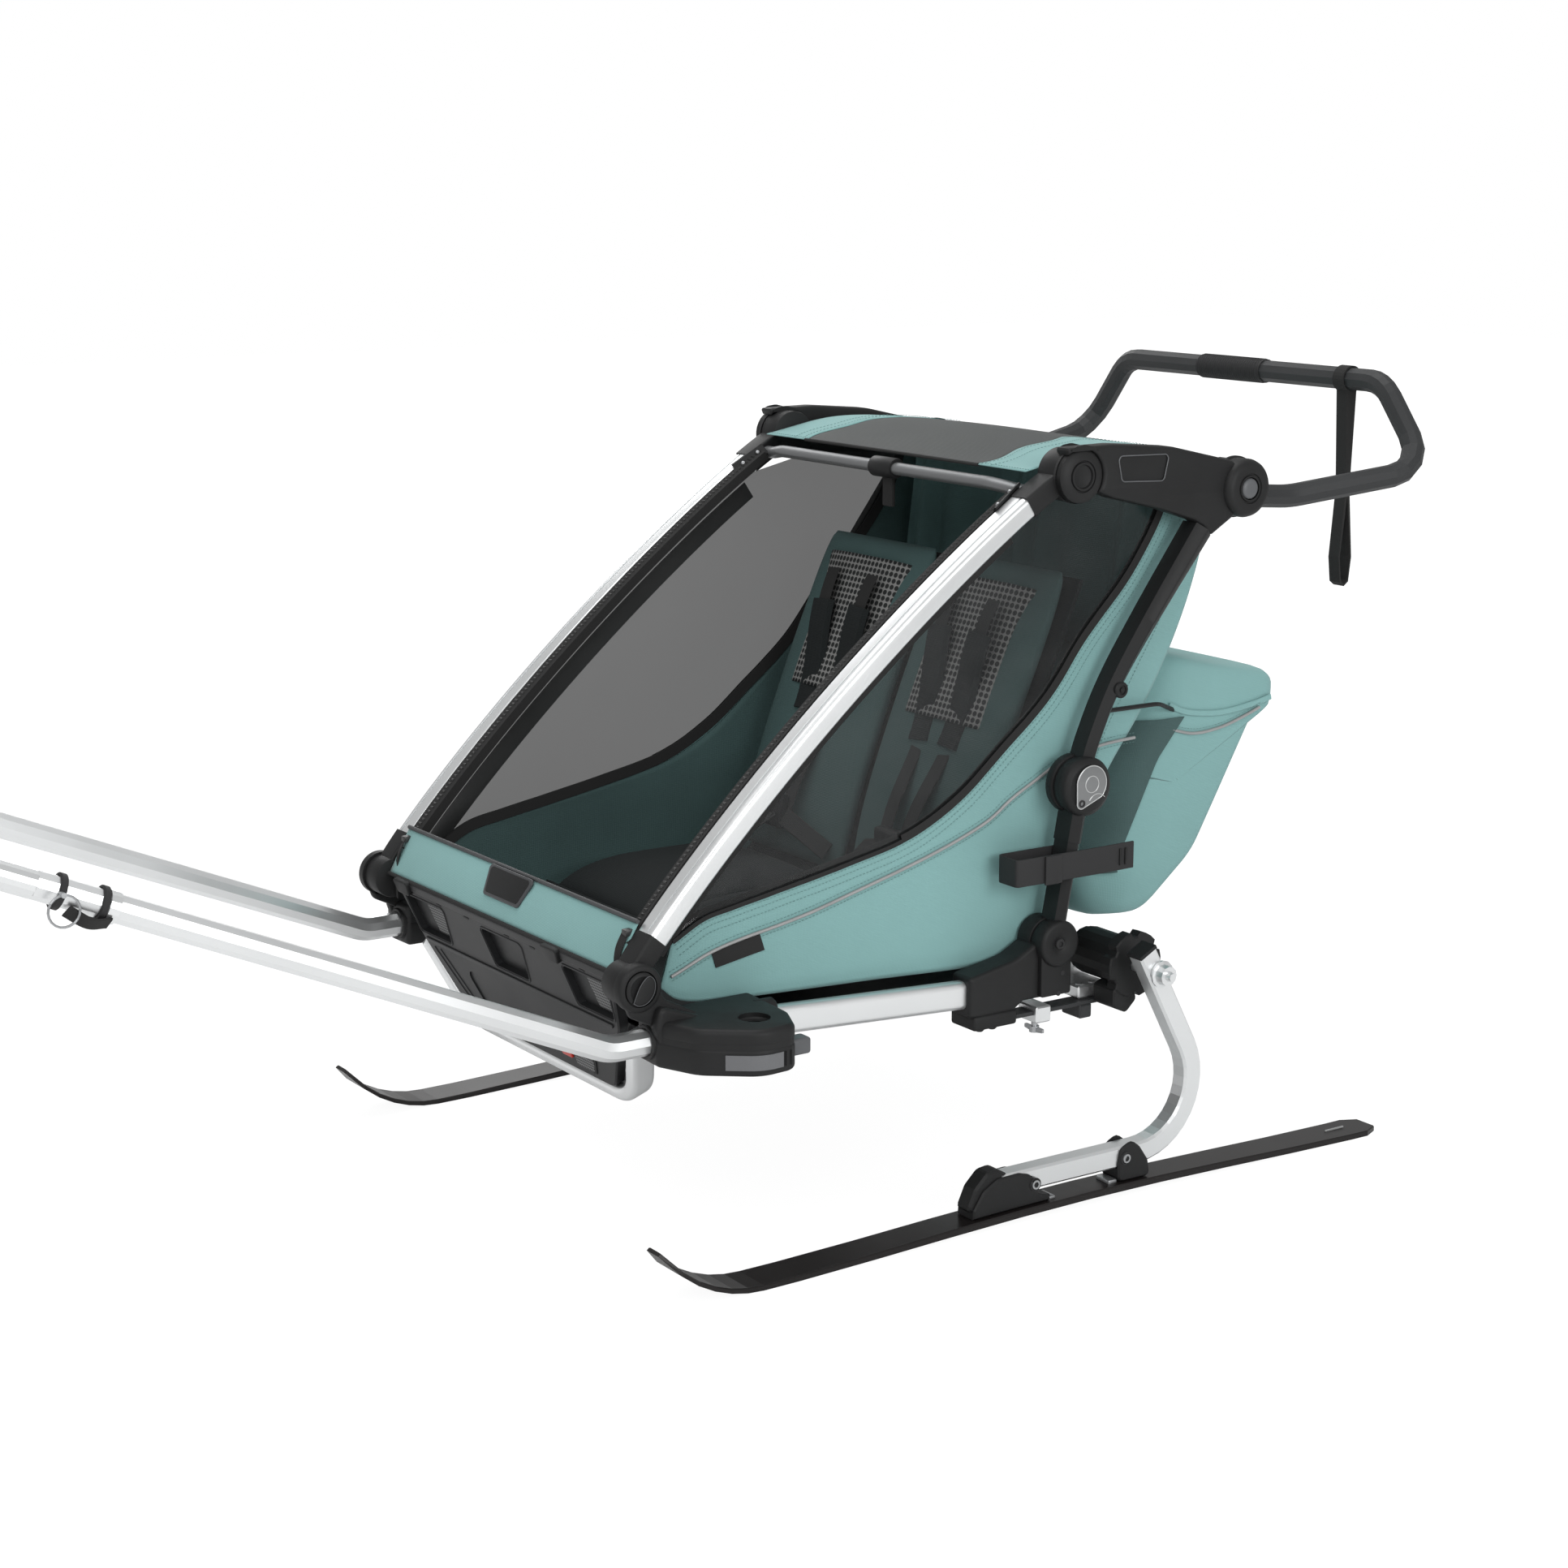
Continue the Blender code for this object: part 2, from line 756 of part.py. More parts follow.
def pole_fronts():
    """Front pole sections: reduced spigot inside the rear section and a rounded tip."""
    step = pole_direction().normalized()
    shoulder = pole_place(POLE_JOINT_REACH) + step * GAP
    tip = pole_place(POLE_TIP_REACH)
    length = (tip - shoulder).length
    inner = POLE_RADIUS - POLE_WALL - GAP
    profile = [
        (0.0, length),
        (POLE_RADIUS - POLE_TIP_ROUND, length),
        (POLE_RADIUS, length - POLE_TIP_ROUND),
        (POLE_RADIUS, 0.0),
        (inner, 0.0),
        (inner, -POLE_SPIGOT),
        (0.0, -POLE_SPIGOT),
    ]
    pole = turned("pull_pole_front", profile, shoulder, step, silver())
    return mirror_pair(cut(pole, pin_hole("front_pin_hole")))


def pole_pins():
    """Cross pins with a pull ring that hangs on the outer side."""
    at = pole_place(POLE_PIN_REACH)
    outer = at + Vector((POLE_RADIUS + 0.010, 0, 0))
    inner = at - Vector((POLE_RADIUS + 0.002, 0, 0))
    pin = rod("pole_pin", POLE_PIN_RADIUS, inner, outer, steel(), PIN_STEPS)
    ring_radius = 0.017
    points = [
        (outer.x - 0.003, outer.y + a, outer.z - ring_radius + b)
        for a, b in circle((0.0, 0.0), ring_radius, 20)
    ]
    ring = closed_tube("pin_ring", points, 0.0014, steel())
    return mirror_pair(unite(pin, ring))


def closed_tube(name, points, radius, material):
    curve = bpy.data.curves.new(name, "CURVE")
    curve.dimensions = "3D"
    curve.bevel_depth = radius
    curve.bevel_resolution = 1
    curve.resolution_u = 1
    curve.render_resolution_u = 0
    spline = curve.splines.new("POLY")
    spline.points.add(len(points) - 1)
    for point, place in zip(spline.points, points):
        point.co = (*place, 1.0)
    spline.use_cyclic_u = True
    obj = bpy.data.objects.new(name, curve)
    PARTS.objects.link(obj)
    return bake(obj, material)


def front_pillars():
    """Bowed silver pillars with a pivot eye below and a round hub on top."""
    steps = 12
    centre = [pillar_point(0.97 * i / steps) for i in range(steps + 1)]
    outer = PILLAR_INNER_X + PILLAR_WIDTH
    pillar = side_plate("front_pillar", band(centre, PILLAR_DEPTH), PILLAR_INNER_X, outer, silver(), 0.002)
    eye_outer = HUB_FACE_X - HUB_PLATE - 0.0005
    eye_inner = PILLAR_INNER_X - 2 * GAP
    eye = disc("pillar_eye", FRONT_HUB_RADIUS - 0.003, front_hub(), eye_inner, eye_outer, silver())
    hub = disc("pillar_hub", TOP_HUB_RADIUS, top_hub(), eye_inner, outer + GAP, silver())
    hub_room = disc(
        "hub_room",
        FRONT_HUB_RADIUS + 0.001,
        front_hub(),
        eye_outer,
        outer + 0.01,
        silver(),
    )
    bore = disc(
        "eye_bore",
        PIN_RADIUS + PIN_PLAY,
        front_hub(),
        PILLAR_INNER_X - 0.01,
        outer,
        silver(),
        PIN_STEPS,
    )
    tube_end = roof_tube_path()[0]
    socket = rod(
        "roof_tube_socket",
        ROOF_TUBE_RADIUS + GAP,
        (PILLAR_INNER_X - 0.01, tube_end[1], tube_end[2]),
        (PILLAR_INNER_X + 0.012, tube_end[1], tube_end[2]),
        silver(),
    )
    groove = pillar_groove()
    pillar = unite(pillar, eye, hub)
    return mirror_pair(cut(pillar, hub_room, bore, socket, groove))


def pillar_groove():
    """Long groove down the outer front corner of the pillar."""
    steps = 10
    centre = [pillar_point(0.05 + 0.89 * i / steps) for i in range(steps + 1)]
    lifted = []
    for i, place in enumerate(centre):
        ahead = Vector(centre[min(i + 1, steps)]) - Vector(centre[max(i - 1, 0)])
        normal = Vector((-ahead.y, ahead.x)).normalized()
        lifted.append(tuple(Vector(place) + normal * (PILLAR_DEPTH / 2)))
    outer = PILLAR_INNER_X + PILLAR_WIDTH
    return side_plate("pillar_groove", band(lifted, 0.005), outer - 0.010, outer - 0.006, silver())


def roof_tube_path():
    """Roof cross tube: straight over the cabin, turned down and back into the pillars."""
    share = 0.945
    y, z = pillar_point(share)
    half = PILLAR_INNER_X + 0.010
    rise = 0.006
    lead = 0.030
    return [
        Vector((half, y, z - 0.002)),
        Vector((PILLAR_INNER_X - 0.016, y, z - 0.002)),
        Vector((PILLAR_INNER_X - 0.060, y - lead * 0.5, z + rise)),
    ]


def roof_tube():
    near = roof_tube_path()
    far = [Vector((-p.x, p.y, p.z)) for p in reversed(near)]
    path = rounded(near + far, 0.030, 4, closed=False)
    return tube("roof_cross_tube", path, ROOF_TUBE_RADIUS, black(), 3)


def arm_outline():
    """Top arm: wraps the top hub, swells and runs into the handle hub, with a boot below."""
    hub = TOP_HUB_RADIUS + 0.0012
    corners = [
        polar(top_hub(), hub, 128),
        (TOP_HUB_Y - 0.026, TOP_HUB_Z + 0.036),
        (TOP_HUB_Y + 0.050, TOP_HUB_Z + 0.037),
        (HANDLE_HUB_Y - 0.125, HANDLE_HUB_Z + 0.060),
        (HANDLE_HUB_Y - 0.020, HANDLE_HUB_Z + 0.036),
        (HANDLE_HUB_Y + 0.010, HANDLE_HUB_Z),
        (HANDLE_HUB_Y - 0.018, HANDLE_HUB_Z - 0.036),
        boot_corner(+1),
        boot_corner(-1),
        (HANDLE_HUB_Y - 0.140, HANDLE_HUB_Z - 0.018),
        (TOP_HUB_Y + 0.050, TOP_HUB_Z - 0.030),
        polar(top_hub(), hub, -38),
    ]
    radii = [0.0, 0.008, 0.10, 0.12, 0.010, 0.0, 0.010, 0.004, 0.006, 0.080, 0.030, 0.0]
    return rounded(corners, radii, 3, closed=False) + arc(top_hub(), hub, -38, 128, 8)[1:-1]


def strut_centre():
    """Rear upper pillar, side view, from the arm's boot to the knee."""
    return [
        (HANDLE_HUB_Y - 0.066, HANDLE_HUB_Z - 0.048),
        (HANDLE_HUB_Y - 0.149, HANDLE_HUB_Z - 0.155),
        (KNEE_Y + 0.050, KNEE_Z + 0.124),
        (KNEE_Y + 0.0165, KNEE_Z + 0.056),
        (KNEE_Y + 0.002, KNEE_Z + 0.012),
    ]


def upper_centre():
    return smooth(strut_centre()[:-1], 5)


def boot_corner(side):
    """Corners of the arm's lower boot, across the top end of the rear pillar."""
    first, second = (Vector(p) for p in upper_centre()[:2])
    along = (second - first).normalized()
    normal = Vector((-along.y, along.x))
    depth = 0.015 if side > 0 else 0.018
    return tuple(first + normal * depth * side - along * GAP)


def top_arms():
    arm = side_plate("top_arm", arm_outline(), ARM_INNER_X, ARM_OUTER_X, black(), 0.003)
    hub = disc(
        "arm_hub",
        HANDLE_HUB_RADIUS,
        handle_hub(),
        ARM_INNER_X - 0.006,
        HANDLE_HUB_FACE_X,
        black(),
        HUB_STEPS,
    )
    badge = rounded(
        [
            (TOP_HUB_Y + 0.055, TOP_HUB_Z + 0.022),
            (TOP_HUB_Y + 0.135, TOP_HUB_Z + 0.020),
            (TOP_HUB_Y + 0.127, TOP_HUB_Z - 0.012),
            (TOP_HUB_Y + 0.063, TOP_HUB_Z - 0.009),
        ],
        0.004,
        3,
    )
    panel = side_plate("badge_recess", badge, ARM_OUTER_X - 0.0008, ARM_OUTER_X + 0.01, black())
    button_bore = disc(
        "button_bore",
        BUTTON_RADIUS + GAP,
        handle_hub(),
        HANDLE_HUB_FACE_X - BUTTON_LENGTH - BUTTON_TRAVEL,
        HANDLE_HUB_FACE_X + 0.01,
        black(),
    )
    pivot = disc(
        "bar_pivot",
        PIN_RADIUS,
        handle_hub(),
        BAR_HUB_INNER_X + 0.004,
        ARM_INNER_X + 0.004,
        black(),
        PIN_STEPS,
    )
    arm = cut(unite(arm, hub, pivot), pillar_room(), panel, button_bore)
    return mirror_pair(unite(arm, *hub_cap()))


def pillar_room():
    """Recess in the arm's inner side, where the pillar's hub swings as the frame folds."""
    reach = 2.4 * TOP_HUB_RADIUS
    outer = PILLAR_INNER_X + PILLAR_WIDTH + HUB_PLAY
    low = (ARM_INNER_X - 0.01, TOP_HUB_Y - reach, TOP_HUB_Z - reach)
    return box("pillar_room", low, (outer, TOP_HUB_Y + reach, TOP_HUB_Z + reach), black())


def hub_cap():
    """Round cover over the pillar's hub, set in the arm's end with a groove around it."""
    inner = PILLAR_INNER_X + PILLAR_WIDTH + HUB_PLAY + 0.0002
    cover = disc("hub_cap", TOP_HUB_RADIUS, top_hub(), inner, HUB_FACE_X, black())
    floor = HUB_FACE_X - 0.003
    dish = disc("hub_cap_dish", 0.5 * TOP_HUB_RADIUS, top_hub(), floor, HUB_FACE_X + 0.01, black())
    web = disc("hub_web", TOP_HUB_RADIUS + 0.004, top_hub(), inner, inner + 0.005, black())
    return [cut(cover, dish), web]


def release_buttons():
    face = HANDLE_HUB_FACE_X
    profile = [
        (0.0, BUTTON_LENGTH),
        (BUTTON_RADIUS - 0.0015, BUTTON_LENGTH),
        (BUTTON_RADIUS, BUTTON_LENGTH - 0.0015),
        (BUTTON_RADIUS, 0.0),
        (0.0, 0.0),
    ]
    base = (face + BUTTON_STAND - BUTTON_LENGTH, *handle_hub())
    return mirror_pair(turned("release_button", profile, base, (1, 0, 0), charcoal()))


def rear_upper_pillars():
    """Curved rear pillar with a tongue that turns inside the knee."""
    centre = upper_centre()
    count = len(centre)
    depth = [0.030 + (STRUT_DEPTH - 0.030) * min(1.0, 1.4 * i / (count - 1)) for i in range(count)]
    pillar = side_plate(
        "rear_pillar_upper",
        band(centre, depth),
        STRUT_INNER_X,
        STRUT_OUTER_X,
        black(),
        0.002,
    )
    room = KNEE_RADIUS + 0.0015
    low_cut = disc(
        "knee_room",
        room,
        knee(),
        STRUT_INNER_X - 0.01,
        STRUT_OUTER_X + 0.01,
        black(),
        HUB_STEPS,
    )
    pillar = cut(pillar, low_cut)
    tongue_inner, tongue_outer = tongue_planes()
    stem = band([knee(), strut_centre()[-2], centre[-4]], STRUT_DEPTH - 0.002)
    stem_plate = side_plate("tongue_stem", stem, tongue_inner, tongue_outer, black())
    tongue = disc(
        "tongue_disc",
        KNEE_RADIUS - 0.003,
        knee(),
        tongue_inner,
        tongue_outer,
        black(),
        HUB_STEPS,
    )
    pillar = unite(pillar, stem_plate, tongue)
    bore = disc(
        "tongue_bore",
        PIN_RADIUS + PIN_PLAY,
        knee(),
        tongue_inner - 0.01,
        tongue_outer + 0.01,
        black(),
        PIN_STEPS,
    )
    return mirror_pair(cut(pillar, bore))


def tongue_planes():
    """The knee's middle third, with running clearance to the discs on both sides."""
    return KNEE_INNER_DISC_X + 0.0004, KNEE_OUTER_DISC_X - 0.0004


def rear_lower_pillars():
    """Lower strut: two knee discs with the pivot pin above, a tongue in the rear hub below."""
    along = Vector(rear_hub()) - Vector(knee())
    unit = along.normalized()
    start = Vector(knee()) + unit * (KNEE_RADIUS - 0.006)
    end = Vector(rear_hub()) - unit * (REAR_HUB_RADIUS + 0.0015)
    strut = side_plate(
        "rear_pillar_lower",
        band([tuple(start), tuple(end)], STRUT_DEPTH),
        STRUT_INNER_X,
        STRUT_OUTER_X,
        black(),
        0.002,
    )
    outer_disc = turned(
        "knee_outer_disc",
        [
            (0.0, KNEE_FACE_X - KNEE_OUTER_DISC_X),
            (KNEE_RADIUS - 0.005, KNEE_FACE_X - KNEE_OUTER_DISC_X),
            (KNEE_RADIUS, KNEE_FACE_X - KNEE_OUTER_DISC_X - 0.004),
            (KNEE_RADIUS, 0.0),
            (0.0, 0.0),
        ],
        (KNEE_OUTER_DISC_X, *knee()),
        (1, 0, 0),
        black(),
        HUB_STEPS,
    )
    inner_disc = disc(
        "knee_inner_disc",
        KNEE_RADIUS,
        knee(),
        STRUT_INNER_X - 0.002,
        KNEE_INNER_DISC_X,
        black(),
        HUB_STEPS,
    )
    room = disc(
        "tongue_room",
        KNEE_RADIUS - 0.0025,
        knee(),
        KNEE_INNER_DISC_X - 0.0001,
        KNEE_OUTER_DISC_X + 0.0001,
        black(),
        HUB_STEPS,
    )
    strut = cut(unite(strut, outer_disc, inner_disc), room)
    pin = disc(
        "knee_pin",
        PIN_RADIUS,
        knee(),
        KNEE_INNER_DISC_X - 0.002,
        KNEE_OUTER_DISC_X + 0.002,
        black(),
        PIN_STEPS,
    )
    foot_inner, foot_outer = foot_planes()
    foot_stem = side_plate(
        "foot_stem",
        band([tuple(start + unit * 0.02), rear_hub()], STRUT_DEPTH - 0.002),
        foot_inner,
        foot_outer,
        black(),
    )
    foot = disc("foot_disc", REAR_HUB_RADIUS - 0.002, rear_hub(), foot_inner, foot_outer, black())
    strut = unite(strut, pin, foot_stem, foot, knee_lens())
    bore = disc(
        "foot_bore",
        PIN_RADIUS + PIN_PLAY,
        rear_hub(),
        foot_inner - 0.01,
        foot_outer + 0.01,
        black(),
        PIN_STEPS,
    )
    return mirror_pair(cut(strut, bore))


def knee_lens():
    """Teardrop lock cover on the knee's outer face."""
    centre = (KNEE_Y + 0.004, KNEE_Z + 0.004)
    low = (KNEE_Y - 0.014, KNEE_Z - 0.021)
    outline = arc(centre, 0.0235, -48, 172, 9) + arc(low, 0.0065, 176, 300, 3)
    return side_plate("knee_lens", outline, KNEE_FACE_X - 0.001, KNEE_FACE_X + 0.0018, black())


def foot_planes():
    """Middle plane of the rear hub, between the casting's two lugs."""
    return HUB_LUG_INNER_X + 0.0004, HUB_LUG_OUTER_X - 0.0004


def rear_castings():
    """Rear side castings: rail socket, hub fork, cross tube boss and leaf spring mount."""
    outline = [
        (RAIL_REAR_Y - 0.024, rail_point(RAIL_REAR_Y)[1] - 0.026),
        (RAIL_REAR_Y - 0.024, rail_point(RAIL_REAR_Y)[1] + 0.027),
        (REAR_HUB_Y - 0.052, REAR_HUB_Z - 0.010),
        (REAR_HUB_Y - 0.020, REAR_HUB_Z),
        (REAR_HUB_Y + 0.022, REAR_HUB_Z),
        (REAR_HUB_Y + 0.022, BLOCK_TOP_Z + 0.008),
        (BLOCK_REAR_Y + 0.012, BLOCK_TOP_Z + 0.008),
        (BLOCK_REAR_Y - 0.006, BLOCK_TOP_Z - 0.003),
        (BLOCK_FRONT_Y + 0.012, BLOCK_TOP_Z - 0.003),
    ]
    radii = [0.004, 0.004, 0.05, 0.004, 0.003, 0.003, 0.004, 0.003, 0.004]
    casting = side_plate(
        "rear_casting",
        rounded(outline, radii, 2),
        CASTING_INNER_X,
        CASTING_OUTER_X,
        black(),
        0.002,
    )
    outer_lug = turned(
        "outer_lug",
        [
            (0.0, HUB_LUG_FACE_X - HUB_LUG_OUTER_X),
            (REAR_HUB_RADIUS - 0.003, HUB_LUG_FACE_X - HUB_LUG_OUTER_X),
            (REAR_HUB_RADIUS, HUB_LUG_FACE_X - HUB_LUG_OUTER_X - 0.003),
            (REAR_HUB_RADIUS, -0.004),
            (0.0, -0.004),
        ],
        (HUB_LUG_OUTER_X, *rear_hub()),
        (1, 0, 0),
        black(),
    )
    inner_lug = disc("inner_lug", REAR_HUB_RADIUS, rear_hub(), CASTING_INNER_X, HUB_LUG_INNER_X, black())
    cheek = rounded(
        [
            (REAR_HUB_Y - 0.026, REAR_HUB_Z - 0.008),
            (REAR_HUB_Y + 0.022, REAR_HUB_Z - 0.008),
            (REAR_HUB_Y + 0.022, BLOCK_TOP_Z + 0.010),
            (REAR_HUB_Y - 0.026, BLOCK_TOP_Z + 0.010),
        ],
        0.003,
    )
    outer_cheek = side_plate(
        "outer_cheek",
        cheek,
        CASTING_OUTER_X - 0.004,
        HUB_LUG_OUTER_X + 0.006,
        black(),
    )
    block = box(
        "leaf_mount",
        (LEAF_X - 0.030, BLOCK_FRONT_Y, BLOCK_BOTTOM_Z),
        (LEAF_X + 0.020, BLOCK_REAR_Y, BLOCK_TOP_Z),
        black(),
        0.004,
    )
    casting = unite(casting, outer_lug, inner_lug, outer_cheek, block)
    for y in (BLOCK_FRONT_Y + 0.020, BLOCK_FRONT_Y + 0.040):
        low = (LEAF_X, y, BLOCK_BOTTOM_Z - 0.006)
        bolt = rod("mount_bolt", BOLT_RADIUS, low, (LEAF_X, y, LEAF_Z - LEAF_THICK), black(), 8)
        casting = unite(casting, bolt)
    fork_slot = disc(
        "fork_slot",
        REAR_HUB_RADIUS + 0.001,
        rear_hub(),
        HUB_LUG_INNER_X,
        HUB_LUG_OUTER_X,
        black(),
        HUB_STEPS,
    )
    tube_hole = rod(
        "cross_tube_hole",
        CROSS_TUBE_RADIUS + GAP,
        (CASTING_INNER_X - 0.01, *cross_tube_centre()),
        (CASTING_INNER_X + 0.014, *cross_tube_centre()),
        black(),
    )
    rail_cut = rail_bar("casting_rail_pocket", GAP, RAIL_REAR_Y - 0.05, RAIL_REAR_Y + GAP, black())
    leaf_slot = box(
        "leaf_slot",
        (LEAF_X - LEAF_WIDTH / 2 - GAP, LEAF_FRONT_Y - GAP, LEAF_Z - LEAF_THICK / 2 - GAP),
        (LEAF_X + LEAF_WIDTH / 2 + GAP, BLOCK_REAR_Y + 0.02, LEAF_Z + LEAF_THICK / 2 + GAP),
        black(),
    )
    casting = cut(casting, fork_slot, tube_hole, rail_cut, leaf_slot)
    pin = disc(
        "rear_hub_pin",
        PIN_RADIUS,
        rear_hub(),
        HUB_LUG_INNER_X - 0.002,
        HUB_LUG_OUTER_X + 0.002,
        black(),
        PIN_STEPS,
    )
    bolt_head = disc(
        "rear_hub_bolt",
        BOLT_RADIUS,
        rear_hub(),
        HUB_LUG_FACE_X - 0.001,
        HUB_LUG_FACE_X + 0.002,
        black(),
        6,
    )
    return mirror_pair(unite(casting, pin, bolt_head))


def cross_tube_centre():
    return (REAR_HUB_Y, REAR_HUB_Z - REAR_HUB_RADIUS - 0.026)


def rear_cross_tube():
    half = CASTING_INNER_X + 0.0137
    y, z = cross_tube_centre()
    return rod("rear_cross_tube", CROSS_TUBE_RADIUS, (-half, y, z), (half, y, z), silver())


def leaf_springs():
    """Flat leaf with a rubber clamp pad under the axle block."""
    leaf = box(
        "leaf_spring",
        (LEAF_X - LEAF_WIDTH / 2, LEAF_FRONT_Y, LEAF_Z - LEAF_THICK / 2),
        (LEAF_X + LEAF_WIDTH / 2, LEAF_REAR_Y, LEAF_Z + LEAF_THICK / 2),
        steel(),
    )
    pad = box(
        "leaf_pad",
        (LEAF_X - LEAF_WIDTH / 2 - 0.010, AXLE_BLOCK_FRONT_Y - 0.006, LEAF_Z - 0.020),
        (LEAF_X + LEAF_WIDTH / 2 + 0.002, AXLE_BLOCK_FRONT_Y + 0.014, LEAF_Z - LEAF_THICK / 2 + 0.001),
        steel(),
        0.002,
    )
    return mirror_pair(unite(leaf, pad))


def slider_front():
    return BLOCK_REAR_Y + SLIDER_AHEAD


def spring_clamps():
    """Sliding ring on the leaf that sets the spring rate, with a threaded boss below."""
    front = slider_front()
    half = LEAF_WIDTH / 2 + GAP
    low = LEAF_Z - LEAF_THICK / 2 - GAP
    high = LEAF_Z + LEAF_THICK / 2 + GAP
    ring = box(
        "spring_clamp",
        (LEAF_X - half - SLIDER_WALL, front, low - SLIDER_WALL - 0.004),
        (LEAF_X + half + SLIDER_WALL, front + SLIDER_LENGTH, high + SLIDER_WALL),
        silver(),
        0.002,
    )
    hole = box(
        "clamp_window",
        (LEAF_X - half, front - 0.01, low),
        (LEAF_X + half, front + SLIDER_LENGTH + 0.01, high),
        silver(),
    )
    bore = rod("screw_bore", SCREW_RADIUS + GAP, screw_top(), screw_low(), silver(), PIN_STEPS)
    return mirror_pair(cut(ring, hole, bore))


def screw_top():
    return (LEAF_X, slider_front() + SLIDER_LENGTH / 2, LEAF_Z - LEAF_THICK / 2 - 2 * GAP)


def screw_low():
    x, y, z = screw_top()
    return (x, y, z - SLIDER_WALL - 0.014)


def clamp_screws():
    """Wing screw under the sliding clamp."""
    x, y, low = screw_low()
    shank = rod("clamp_screw", SCREW_RADIUS, (x, y, low), screw_top(), steel(), PIN_STEPS)
    hub = rod("screw_hub", 0.0065, (x, y, low - 0.006), (x, y, low + 0.002), steel(), PIN_STEPS)
    wing = rounded(
        [
            (x - 0.005, low - 0.006),
            (x - 0.018, low - 0.004),
            (x - 0.018, low + 0.001),
            (x + 0.018, low + 0.001),
            (x + 0.018, low - 0.004),
            (x + 0.005, low - 0.006),
        ],
        0.001,
        2,
    )
    placing = Matrix(((1, 0, 0, 0), (0, 0, -1, y), (0, 1, 0, 0), (0, 0, 0, 1)))
    wings = slab("screw_wings", wing, 0.003, placing, steel())
    return mirror_pair(unite(shank, hub, wings))


def axle_tube():
    """Cross axle with stepped ends, outer nuts, and a block that sits on each leaf spring."""
    nut_x = SKI_X + ARM_TUBE_WIDTH / 2 + 0.0005
    half = DRUM_INNER_X - 0.001
    half_profile = [
        (0.0, nut_x + 0.022),
        (0.005, nut_x + 0.022),
        (0.0065, nut_x + 0.015),
        (0.0125, nut_x + 0.015),
        (0.0135, nut_x + 0.004),
        (0.0175, nut_x + 0.003),
        (0.0175, nut_x),
        (PIN_RADIUS, nut_x),
        (PIN_RADIUS, half),
        (CROSS_TUBE_RADIUS, half),
    ]
    profile = half_profile + [(r, -h) for r, h in reversed(half_profile)]
    tube_part = turned("axle_tube", profile, (0, *axle()), (1, 0, 0), silver(), PIN_STEPS)
    pieces = []
    for sign in (1, -1):
        inner, outer = sorted((sign * (DRUM_INNER_X - 0.026), sign * (LEAF_X + 0.004)))
        block = box(
            "axle_block",
            (inner, AXLE_BLOCK_FRONT_Y, LEAF_Z + LEAF_THICK / 2 + GAP),
            (outer, LEAF_REAR_Y, AXLE_BLOCK_TOP_Z),
            silver(),
            0.002,
        )
        low, high = sorted((sign * (DRUM_INNER_X - 0.024), sign * (DRUM_INNER_X - 0.004)))
        saddle = box(
            "axle_saddle",
            (low, AXLE_Y - 0.018, AXLE_BLOCK_TOP_Z - 0.012),
            (high, AXLE_Y + 0.014, AXLE_Z + 0.016),
            silver(),
            0.003,
        )
        pieces += [block, saddle]
        for y in (AXLE_BLOCK_FRONT_Y + 0.010, AXLE_BLOCK_FRONT_Y + 0.030):
            x = sign * (LEAF_X - 0.006)
            base = AXLE_BLOCK_TOP_Z - 0.002
            pieces.append(rod("block_bolt", BOLT_RADIUS, (x, y, base), (x, y, base + 0.003), silver(), 6))
    return [unite(tube_part, *pieces)]


def brake_drums():
    """Brake drum with a lobed outer flange and the brake's small housing below it."""
    drum = turned(
        "brake_drum",
        [
            (PIN_RADIUS + PIN_PLAY, DRUM_OUTER_X - DRUM_INNER_X),
            (DRUM_RADIUS, DRUM_OUTER_X - DRUM_INNER_X),
            (DRUM_RADIUS, 0.010),
            (DRUM_RADIUS - 0.002, 0.008),
            (DRUM_RADIUS - 0.002, 0.002),
            (DRUM_RADIUS - 0.004, 0.0),
            (PIN_RADIUS + PIN_PLAY, 0.0),
            (PIN_RADIUS + PIN_PLAY, DRUM_OUTER_X - DRUM_INNER_X),
        ],
        (DRUM_INNER_X, *axle()),
        (1, 0, 0),
        black(),
    )
    outline = []
    for i in range(LOBE_COUNT):
        middle = 360.0 * i / LOBE_COUNT
        outline += arc(axle(), LOBE_RADIUS, middle - 19, middle + 19, 3)
        outline += arc(axle(), LOBE_WAIST, middle + 25, middle + 35, 1)
    inner = DRUM_OUTER_X - 0.002
    flange = side_plate("drum_flange", outline, inner, DRUM_OUTER_X + LOBE_THICK, black(), 0.002)
    housing = rounded(
        [
            (AXLE_Y - 0.010, AXLE_Z - 0.020),
            (AXLE_Y - 0.034, AXLE_Z - 0.028),
            (AXLE_Y - 0.034, AXLE_Z - 0.052),
            (AXLE_Y - 0.012, AXLE_Z - 0.062),
            (AXLE_Y + 0.006, AXLE_Z - 0.045),
        ],
        0.007,
    )
    brake = side_plate("brake_housing", housing, DRUM_OUTER_X - 0.026, DRUM_OUTER_X + 0.016, black(), 0.002)
    drum = unite(drum, flange, brake)
    bore = disc(
        "drum_bore",
        PIN_RADIUS + PIN_PLAY,
        axle(),
        DRUM_INNER_X - 0.01,
        DRUM_OUTER_X + 0.03,
        black(),
        PIN_STEPS,
    )
    return mirror_pair(cut(drum, bore))


def ski_arm_centre():
    corners = [(ARM_TOP_Y, ARM_TOP_Z), (ARM_CORNER_Y, ARM_RUN_Z), (ARM_FOOT_Y, ARM_RUN_Z)]
    return rounded(corners, [0.0, ARM_BEND_RADIUS, 0.0], 12, closed=False)


